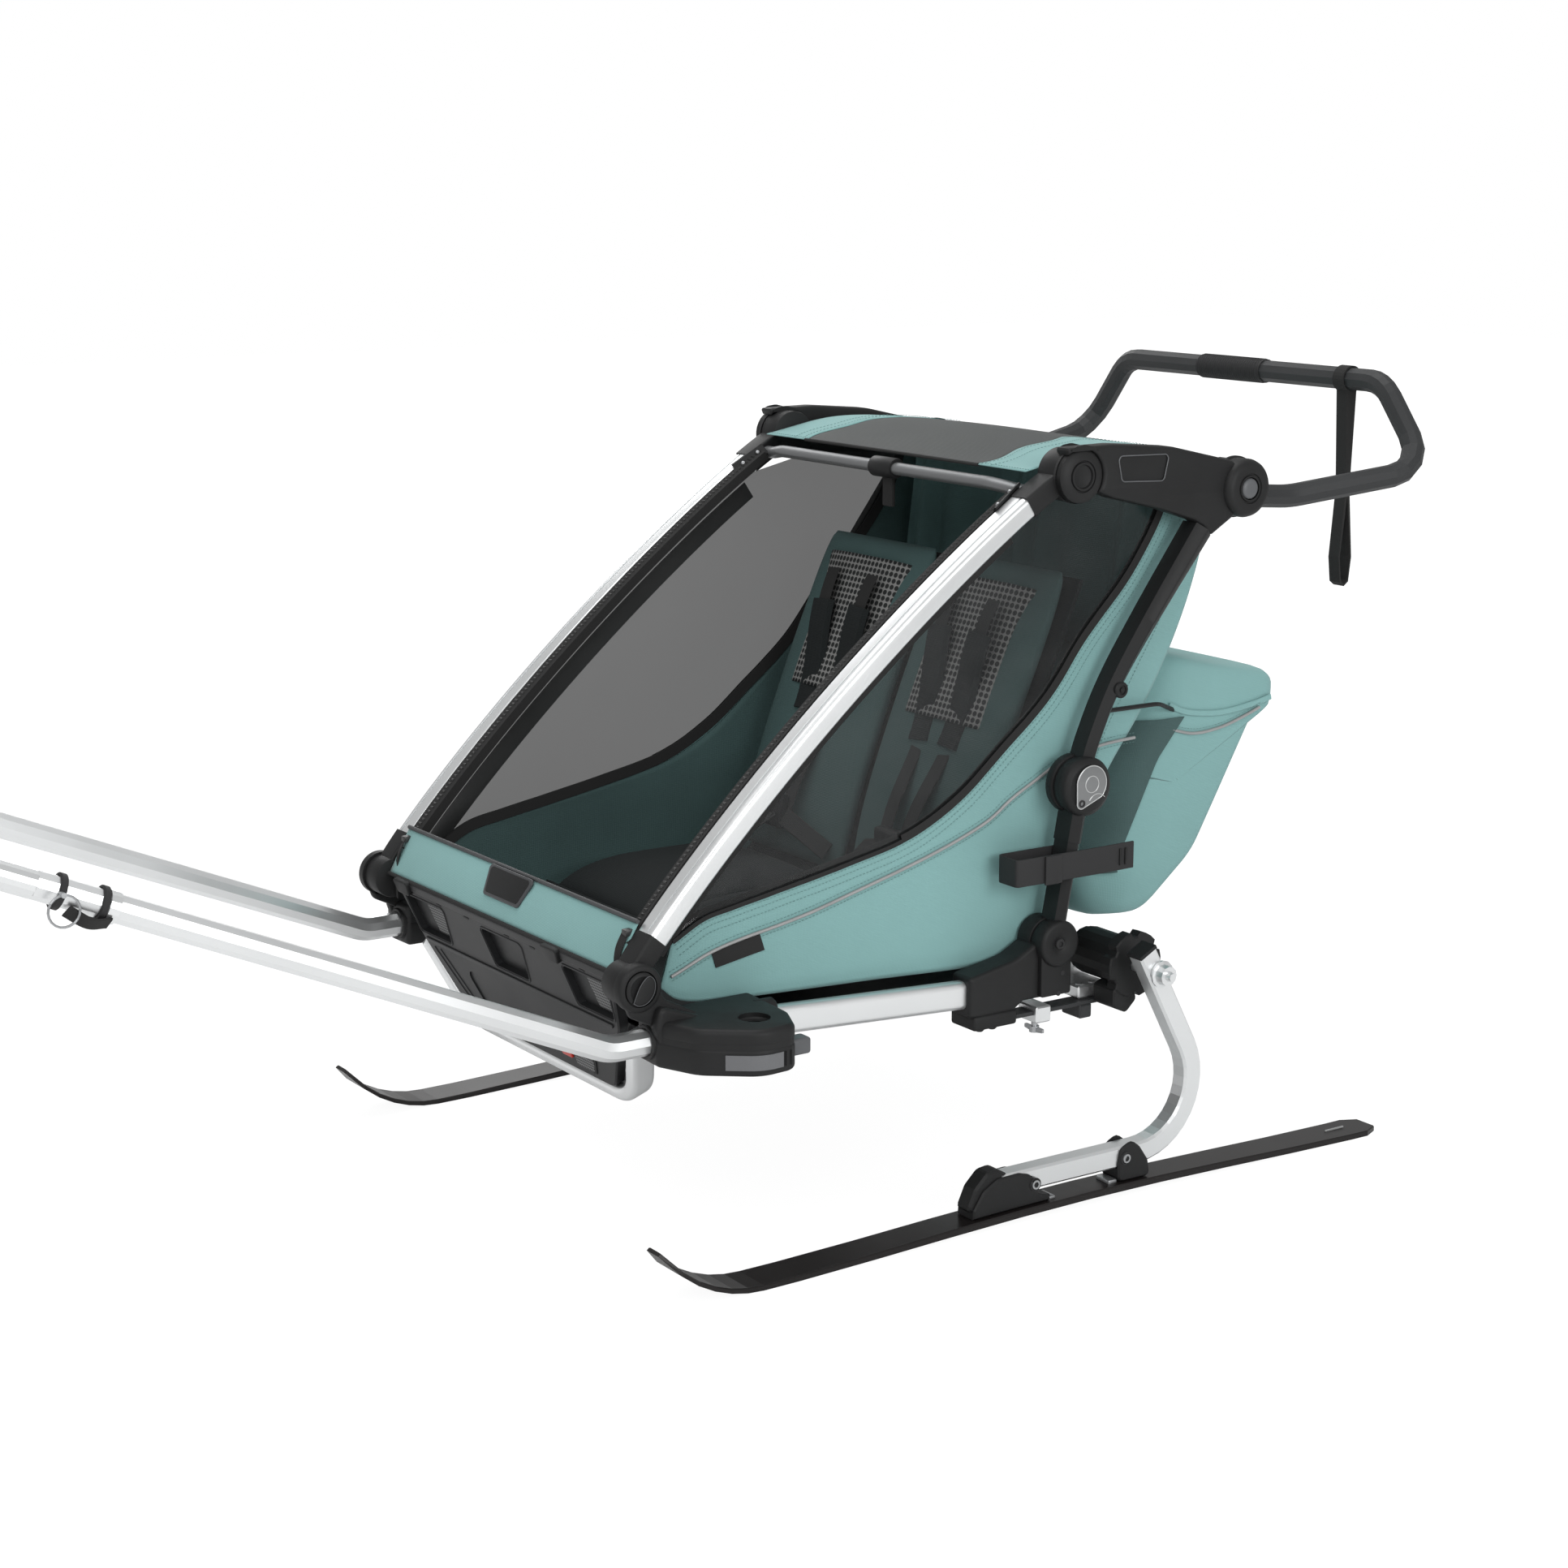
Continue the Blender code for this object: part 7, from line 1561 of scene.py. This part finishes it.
class TRAILER_OT_roof(bpy.types.Operator):
    """Roof and back in one curved sheet, with the netting between its side strips"""

    bl_idname = "trailer.roof"
    bl_label = "Roof and Back"

    def execute(self, context):
        thick = context.scene.trailer_cabin.cloth_thick
        line = along(smooth(back_line(), 10), 140)
        half = ROOF_HALF_WIDTH + 0.0005
        net_rows, strip_rows, back_rows = [], [], []
        for i, (place, normal) in enumerate(zip(line, normals_of(line))):
            inner = roof_edge(min(i / ROOF_END, 1.0))

            def spot(x, lift=0.0):
                crown = 0.01 * (1 - (x / half) ** 2) * max(0.0, 1 - abs(i - 24) / 26)
                sag = 0.0
                if i > ROOF_END:
                    deep = min((i - ROOF_END) / 30, 1.0)
                    fold = noise.noise(Vector((7 * x, 5 * place[0], 4 * place[1])))
                    sag = -0.004 * deep * (1 - (x / half) ** 4) + 0.006 * deep * fold * (1 - abs(x) / half * 0.5)
                return (x, *(place + normal * (crown + sag + lift)))

            if i <= ROOF_END:
                net_rows.append([spot(inner * (2 * k / 32 - 1)) for k in range(33)])
                strip_rows.append([spot(inner - 0.004 + (half - inner + 0.004) * k / 10, 0.0009) for k in range(11)])
            if i >= ROOF_END - 1:
                back_rows.append([spot(half * (2 * k / 60 - 1)) for k in range(61)])
        roof_net = netting("roof_netting", (0.1, 0.108, 0.107), (0.018, 0.02, 0.02), 0.003, 0.94)
        net = sheet_mesh(net_rows, thick, roof_net)
        sheets = [sheet_mesh(rows, thick, cloth()) for rows in (back_rows, strip_rows, mirrored(strip_rows))]
        roof = piece("roof_and_back", [sheets[0], net] + sheets[1:], "base", ["canopy"], SMOOTH)
        seams = []
        for sign in (1, -1):
            paths = [[(row[k][0], row[k][1], row[k][2] + 0.0012) for row in strip_rows] for k in (1, 3)]
            paths.append([(x, y + 0.006, z + 0.0014) for x, y, z in strip_rows[0]])
            for path in paths:
                seams.append(stitches([Vector((sign * x, y, z)) for x, y, z in path], Vector((0, 0, 1))))
        seams.append(tube([Vector(place) for place in net_rows[0]], 0.0022, webbing(), 2))
        trim = piece("roof_seams", seams, "base")
        soften([roof, trim])
        return {"FINISHED"}


class TRAILER_OT_sill(bpy.types.Operator):
    """Cloth strip across the front of the cabin, with its binding and a bare plate"""

    bl_idname = "trailer.sill"
    bl_label = "Front Sill"

    def execute(self, context):
        low, high = (Vector((SHELL_TOP_Y + y, SHELL_TOP_Z + z)) for y, z in ((0.001, 0.0019), (0.032, 0.0585)))
        half = PILLAR_INNER_X - 0.001
        out = Vector((-(high - low).y, (high - low).x)).normalized()

        def place(u, v):
            bow = 0.0035 * math.sin(math.pi * v) * (1 - (2 * u - 1) ** 6)
            return (half * (2 * u - 1), *(low.lerp(high, v) + out * bow))

        rows = grid(60, 10, place)
        strip = sheet_piece("sill_cloth", rows, 0.0014, cloth(), ["front_sill"])
        hem = tube([Vector((x, y, z + 0.001)) for x, y, z in rows[-1]], 0.0028, dark_piping(), 4)
        foot = tube([Vector((x, y - 0.001, z)) for x, y, z in rows[0]], 0.0024, webbing(), 3)
        piece("sill_binding", [hem, foot], "base")
        down = (low - high).normalized()
        origin = high + out * 0.0045
        placing = Matrix(((1, 0, 0, 0), (0, down.x, out.x, origin.x), (0, down.y, out.y, origin.y), (0, 0, 0, 1)))
        shield = rounded(trapezium(0.056, 0.044, 0.001, 0.041), 0.006, 6)
        plate = slab(shield, 0.003, placing, surface("sill_plate", (0.05, 0.052, 0.056), 0.42), 0.0012)
        inset = rounded(trapezium(0.05, 0.04, 0.004, 0.037), 0.005, 6)
        field = slab(inset, 0.0012, placing @ Matrix.Translation((0, 0, 0.0014)), plastic(), 0.0004)
        piece("sill_badge_plate", [plate, field], "base")
        soften([strip])
        return {"FINISHED"}


class TRAILER_OT_seats(bpy.types.Operator):
    """Two padded seats with netting backs, harnesses and the cabin's inner cloth; back pads and rear cloth wear teal
    darkened as painted shade
    """

    bl_idname = "trailer.seats"
    bl_label = "Seats"

    def execute(self, context):
        bench, back = smooth(BENCH_LINE, 10), smooth(SEAT_BACK_LINE, 10)
        made = []
        for side, sign in (("left", 1), ("right", -1)):
            left, right = sorted((sign * 0.01, sign * 0.256))
            seat = cushion(bench, left, right, 0.058, dark_cloth())
            made.append(piece("bench_pad_" + side, [seat], "base", ["seat"], SMOOTH))
            # Back pads in the darkened teal: painted shade.
            rest = cushion(back, left, right, 0.04, shade_darkened_lining())
            made.append(piece("back_pad_" + side, [rest], "base", (), SMOOTH))
            made.append(self.mesh_back(side, left, right, back))
            made.append(self.harness(side, sign, back))
        section = [(-0.257, -0.03), (0.257, -0.03), (0.257, -0.024), (-0.257, -0.024)]
        board = sweep(along(bench[4:] + back, 50), section, dark_cloth())
        made.append(piece("seat_board", [board], "base"))
        self.footwell()
        made.append(self.curtain_in_painted_shade())
        soften(made)
        return {"FINISHED"}

    def mesh_back(self, side, left, right, back):
        upper = along(back, 60)[30:56]
        rows = []
        for place, normal in zip(upper, normals_of(upper)):
            stations = [(left + 0.03 + (right - left - 0.06) * k / 20, 0.0225 - 0.01 * abs(2 * k / 20 - 1) ** 3)
                        for k in range(21)]
            rows.append([(x, *(place + normal * lift)) for x, lift in stations])
        net = netting("seat_netting", (0.24, 0.24, 0.235), (0.01, 0.012, 0.012), 0.0086, 1.0, math.radians(68.0))
        return sheet_piece("mesh_back_" + side, rows, 0.0008, net)

    def harness(self, side, sign, back):
        """Shoulder straps with pads, lap straps and a buckle."""
        line = along(back, 40)
        normals = normals_of(line)
        middle = sign * 0.133
        face = Vector((0, *normals[20]))
        meshes = []
        for offset in (-0.045, 0.045):
            path = [Vector((middle + offset * (0.35 + 0.65 * i / 34),
                            *(line[i] + normals[i] * (0.026 + 0.01 * math.sin(i * 0.25))))) for i in range(34, 4, -1)]
            meshes.append(ribbon(path, 0.025, 0.002, webbing(), face))
            meshes.append(ribbon(path[4:18], 0.046, 0.011, dark_cloth(), face))
        low = Vector((middle, *(line[5] + normals[5] * 0.04)))
        crotch = [Vector((middle, 0.4, 0.372)), Vector((middle, 0.45, 0.392)), low]
        meshes.append(ribbon(crotch, 0.032, 0.006, webbing(), Vector((0, -0.5, 1))))
        meshes.append(box(low - Vector((0.026, 0.01, 0.024)), low + Vector((0.026, 0.008, 0.024)), plastic(), 0.006, 4))
        for start in (Vector((middle + s * 0.105, 0.52, 0.375)) for s in (-1, 1)):
            lap = [start, start.lerp(low, 0.5) + Vector((0, -0.012, 0.01)), low]
            meshes.append(ribbon(lap, 0.025, 0.002, webbing(), Vector((0, -1, 0.6))))
        return piece("harness_" + side, meshes, "base")

    def footwell(self):
        line = along(smooth(FOOTWELL_LINE, 8), 30)
        rows = [[(0.262 * (2 * k / 40 - 1), y, z + 0.0012 * noise.noise(Vector((18 * k / 40, 30 * y, 9 * z))))
                 for k in range(41)] for y, z in line]
        well = sheet_piece("footwell_cloth", rows, 0.0012, dark_cloth())

    def curtain_in_painted_shade(self):
        """Loose cloth behind the seats, in folds that deepen downwards, in teal darkened as painted shade."""
        def place(u, v):
            fold = (0.004 + 0.006 * v) * math.sin(0.42 * 120 * u + 2.0 * math.sin(0.11 * 120 * u))
            y, z = by(HANDLE_HUB, -0.068 - 0.03 * v, 0.016 - 0.235 * v)
            return (0.268 * (2 * u - 1), y + fold, z)

        drape = sheet_piece("rear_curtain", grid(120, 24, place), 0.001, curtain_in_painted_shade())
        return drape


def bag_taper(y, z):
    """Share by which the bag is narrower near its front line than at its full width."""
    return max(0.0, 1 - (y - front_of_bag(z)) / 0.06)


def bag_ring(outline, x, scale):
    """Side outline of the bag at one station across, shrunk towards its middle."""
    centre = Vector((0.872, 0.48))
    ring = []
    for point in outline:
        place = centre + (Vector(point) - centre) * scale
        width = x * (1 - 0.13 * min(bag_taper(*place), 1.0) ** 1.5)
        swell = 0.004 * noise.noise(Vector((5 * x, 8 * place.x, 7 * place.y)))
        ring.append((width, place.x + swell, place.y + 0.6 * swell))
    return ring


def front_of_bag(z):
    """Front line of the bag, side view, at a height."""
    for (z0, y0), (z1, y1) in zip(BAG_FRONT, BAG_FRONT[1:]):
        if z <= z1:
            return y0 + (y1 - y0) * max(z - z0, 0.0) / (z1 - z0)
    return BAG_FRONT[-1][1]


class TRAILER_OT_bag(bpy.types.Operator):
    """Cargo bag that sags behind the cabin, with its lid, piping and light"""

    bl_idname = "trailer.bag"
    bl_label = "Cargo Bag"

    def execute(self, context):
        outline = rounded(bag_outline(), [0.05, 0.014, 0.02, 0.012, 0.014, 0.12, 0.06, 0.03, 0.06], 10)
        outline = [tuple(p) for p in along(outline + [bag_outline()[0]], 160)][:-1]
        stations = [(-s, k) for s, k in reversed(BAG_STATIONS[1:])] + BAG_STATIONS
        rings = [bag_ring(outline, BAG_HALF_WIDTH * s, k) for s, k in stations]
        bag = piece("bag_body", [loft(rings, cloth())], "bag", ["cargo_bag"], SMOOTH)
        # Lid trim, plus darker strips that paint the cabin's shade on the bag's front flanks.
        trims = self.lid(context.scene.trailer_cabin.piping_radius) + self.bag_shade_strips(context.scene.trailer_finish.cloth)
        trim = piece("bag_trim", trims, "bag")
        for obj in (bag, trim):
            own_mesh(obj)
        low, high = light_box()
        holder = box(low, (high.x, high.y - 0.007, high.z), plastic(), 0.002)
        red = surface("red_lens", (0.5, 0.035, 0.02), 0.22, coat=0.5)
        lens = box((low.x, high.y - 0.0072, low.z), high, red, 0.0025, 3)
        piece("bag_light", [holder, lens], "light", ["tail_light"])
        return {"FINISHED"}

    def lid(self, radius):
        """Piping, lip and stitches along the lid's edges."""
        half = BAG_HALF_WIDTH
        meshes = []
        for sign in (1, -1):
            side = at_x(sign * (half + 0.0035), along(smooth(LID_PIPING, 8), 50))
            meshes.append(tube(side, radius, piping(), 3))
            lip = at_x(sign * (half + 0.003), along(smooth(LID_EDGE, 8), 50))
            meshes.append(ribbon(lip, 0.008, 0.0022, cloth(), Vector((sign, 0, 0))))
            meshes.append(stitches([p + Vector((sign * 0.001, 0, 0.006)) for p in side], OUTWARD))
        rear = [Vector((half * (2 * k / 30 - 1) * 0.985, 1.025, 0.5655)) for k in range(31)]
        return meshes + [tube(rear, radius, piping(), 3)]

    def bag_shade_strips(self, tone):
        """Darker teal strips on the front part of the bag's flanks, wider towards the top: painted shade where the
        cabin shades the bag.
        """
        painted_shade_tone = surface("bag_flank_painted_shade", [0.24 * c for c in tone], 0.9, 0.0, 0.08, 7.0, 1400.0, 0.0001, 0.0018)

        def place(u, v):
            z = 0.372 + 0.196 * v
            y = front_of_bag(z) + 0.003 + (0.056 + 0.036 * v) * u
            return (BAG_HALF_WIDTH * (1 - 0.13 * bag_taper(y, z) ** 1.5) + 0.0055, y, z)

        rows = grid(8, 20, place)
        return [sheet_mesh(side, 0.0014, painted_shade_tone) for side in (rows, mirrored(rows))]


class TRAILER_OT_studio(bpy.types.Operator):
    """Pale floor, soft lamps and the camera"""

    bl_idname = "trailer.studio"
    bl_label = "Studio"

    def execute(self, context):
        scene = context.scene
        scene.view_settings.view_transform = "Standard"
        rows = [[(x, y, 0.0) for x in FLOOR_LINES] for y in FLOOR_LINES]
        floor = bpy.data.objects.new("studio_floor", sheet_mesh(rows, 0.0, floor_paint()))
        floor.location.z = -0.0005
        scene.collection.objects.link(floor)
        world = bpy.data.worlds.new("studio_light")
        world.use_nodes = True
        tree = world.node_tree
        rays = node(tree, "ShaderNodeLightPath").outputs
        both = {0: rays["Is Camera Ray"], 1: rays["Is Transmission Ray"]}
        seen = node(tree, "ShaderNodeMath", both, operation="MAXIMUM").outputs[0]
        background = tree.nodes["Background"].inputs
        feed(tree, background["Strength"], mapped(tree, seen, 0.0, 1.0, 0.5, 1.0))
        background["Color"].default_value = (1.0, 1.0, 1.0, 1.0)
        scene.world = world
        for name, place, aim, size, power in LAMPS:
            lamp = bpy.data.lights.new(name, "AREA")
            lamp.shape = "DISK"
            lamp.size = size
            lamp.energy = power
            obj = bpy.data.objects.new(name, lamp)
            obj.location = place
            obj.rotation_euler = (Vector(aim) - Vector(place)).to_track_quat("-Z", "Y").to_euler()
            scene.collection.objects.link(obj)
        lens = bpy.data.cameras.new("photo_view")
        lens.sensor_width = 36.0
        lens.lens = CAMERA_LENS
        lens.clip_end = 60.0
        camera = bpy.data.objects.new("photo_view", lens)
        side, rise = CAMERA_ROUND, CAMERA_UP
        ahead = Vector((-math.sin(side) * math.cos(rise), math.cos(side) * math.cos(rise), -math.sin(rise)))
        x, y, z = CAMERA_PLACE
        camera.location = (x, y - model_length_middle(), z)
        camera.rotation_euler = ahead.to_track_quat("-Z", "Y").to_euler()
        scene.collection.objects.link(camera)
        scene.camera = camera
        return {"FINISHED"}


def floor_paint():
    """White sweep that keeps a soft part of the object's shadow."""
    material = surface("white_sweep", (0.86, 0.86, 0.86), 0.9, shade=0.01, bump=0.00001, specular=0.0)
    tree = material.node_tree
    seen = node(tree, "ShaderNodeLightPath").outputs["Is Camera Ray"]
    place = node(tree, "ShaderNodeTexCoord").outputs["Object"]
    reach = node(tree, "ShaderNodeVectorMath", {0: place}, operation="LENGTH").outputs["Value"]
    fade = mapped(tree, reach, 1.2, 3.2, 0.84, 1.0)
    share = node(tree, "ShaderNodeMath", {0: seen, 1: fade}, operation="MULTIPLY").outputs[0]
    glow = node(tree, "ShaderNodeEmission", {"Strength": 1.12}).outputs["Emission"]
    paint = tree.nodes["Principled BSDF"].outputs["BSDF"]
    mixed = node(tree, "ShaderNodeMixShader", {"Fac": share, 1: paint, 2: glow}).outputs["Shader"]
    feed(tree, tree.nodes["Material Output"].inputs["Surface"], mixed)
    return material


BUILDERS = [
    TRAILER_OT_fixings,
    TRAILER_OT_pillars,
    TRAILER_OT_arms,
    TRAILER_OT_struts,
    TRAILER_OT_base,
    TRAILER_OT_shell,
    TRAILER_OT_side_panels,
    TRAILER_OT_roof,
    TRAILER_OT_sill,
    TRAILER_OT_seats,
    TRAILER_OT_bag,
    TRAILER_OT_studio,
]


class TRAILER_PT_panel(bpy.types.Panel):
    """Lists the trailer's settings and builders"""

    bl_idname = "TRAILER_PT_panel"
    bl_label = "Ski Trailer"
    bl_space_type = "VIEW_3D"
    bl_region_type = "UI"
    bl_category = "Trailer"

    def draw(self, context):
        for settings in (context.scene.trailer_finish, context.scene.trailer_cabin):
            for name in settings.bl_rna.properties.keys():
                if name not in ("rna_type", "name"):
                    self.layout.prop(settings, name)
        for builder in BUILDERS:
            self.layout.operator(builder.bl_idname)


CLASSES = [FinishSettings, CabinSettings, *BUILDERS, TRAILER_PT_panel]


def register():
    for kind in CLASSES:
        bpy.utils.register_class(kind)
    bpy.types.Scene.trailer_finish = bpy.props.PointerProperty(type=FinishSettings)
    bpy.types.Scene.trailer_cabin = bpy.props.PointerProperty(type=CabinSettings)


def unregister():
    del bpy.types.Scene.trailer_cabin
    del bpy.types.Scene.trailer_finish
    for kind in reversed(CLASSES):
        bpy.utils.unregister_class(kind)


def main():
    register()
    for builder in BUILDERS:
        group, name = builder.bl_idname.split(".")
        getattr(getattr(bpy.ops, group), name)()


if __name__ == "__main__":
    main()
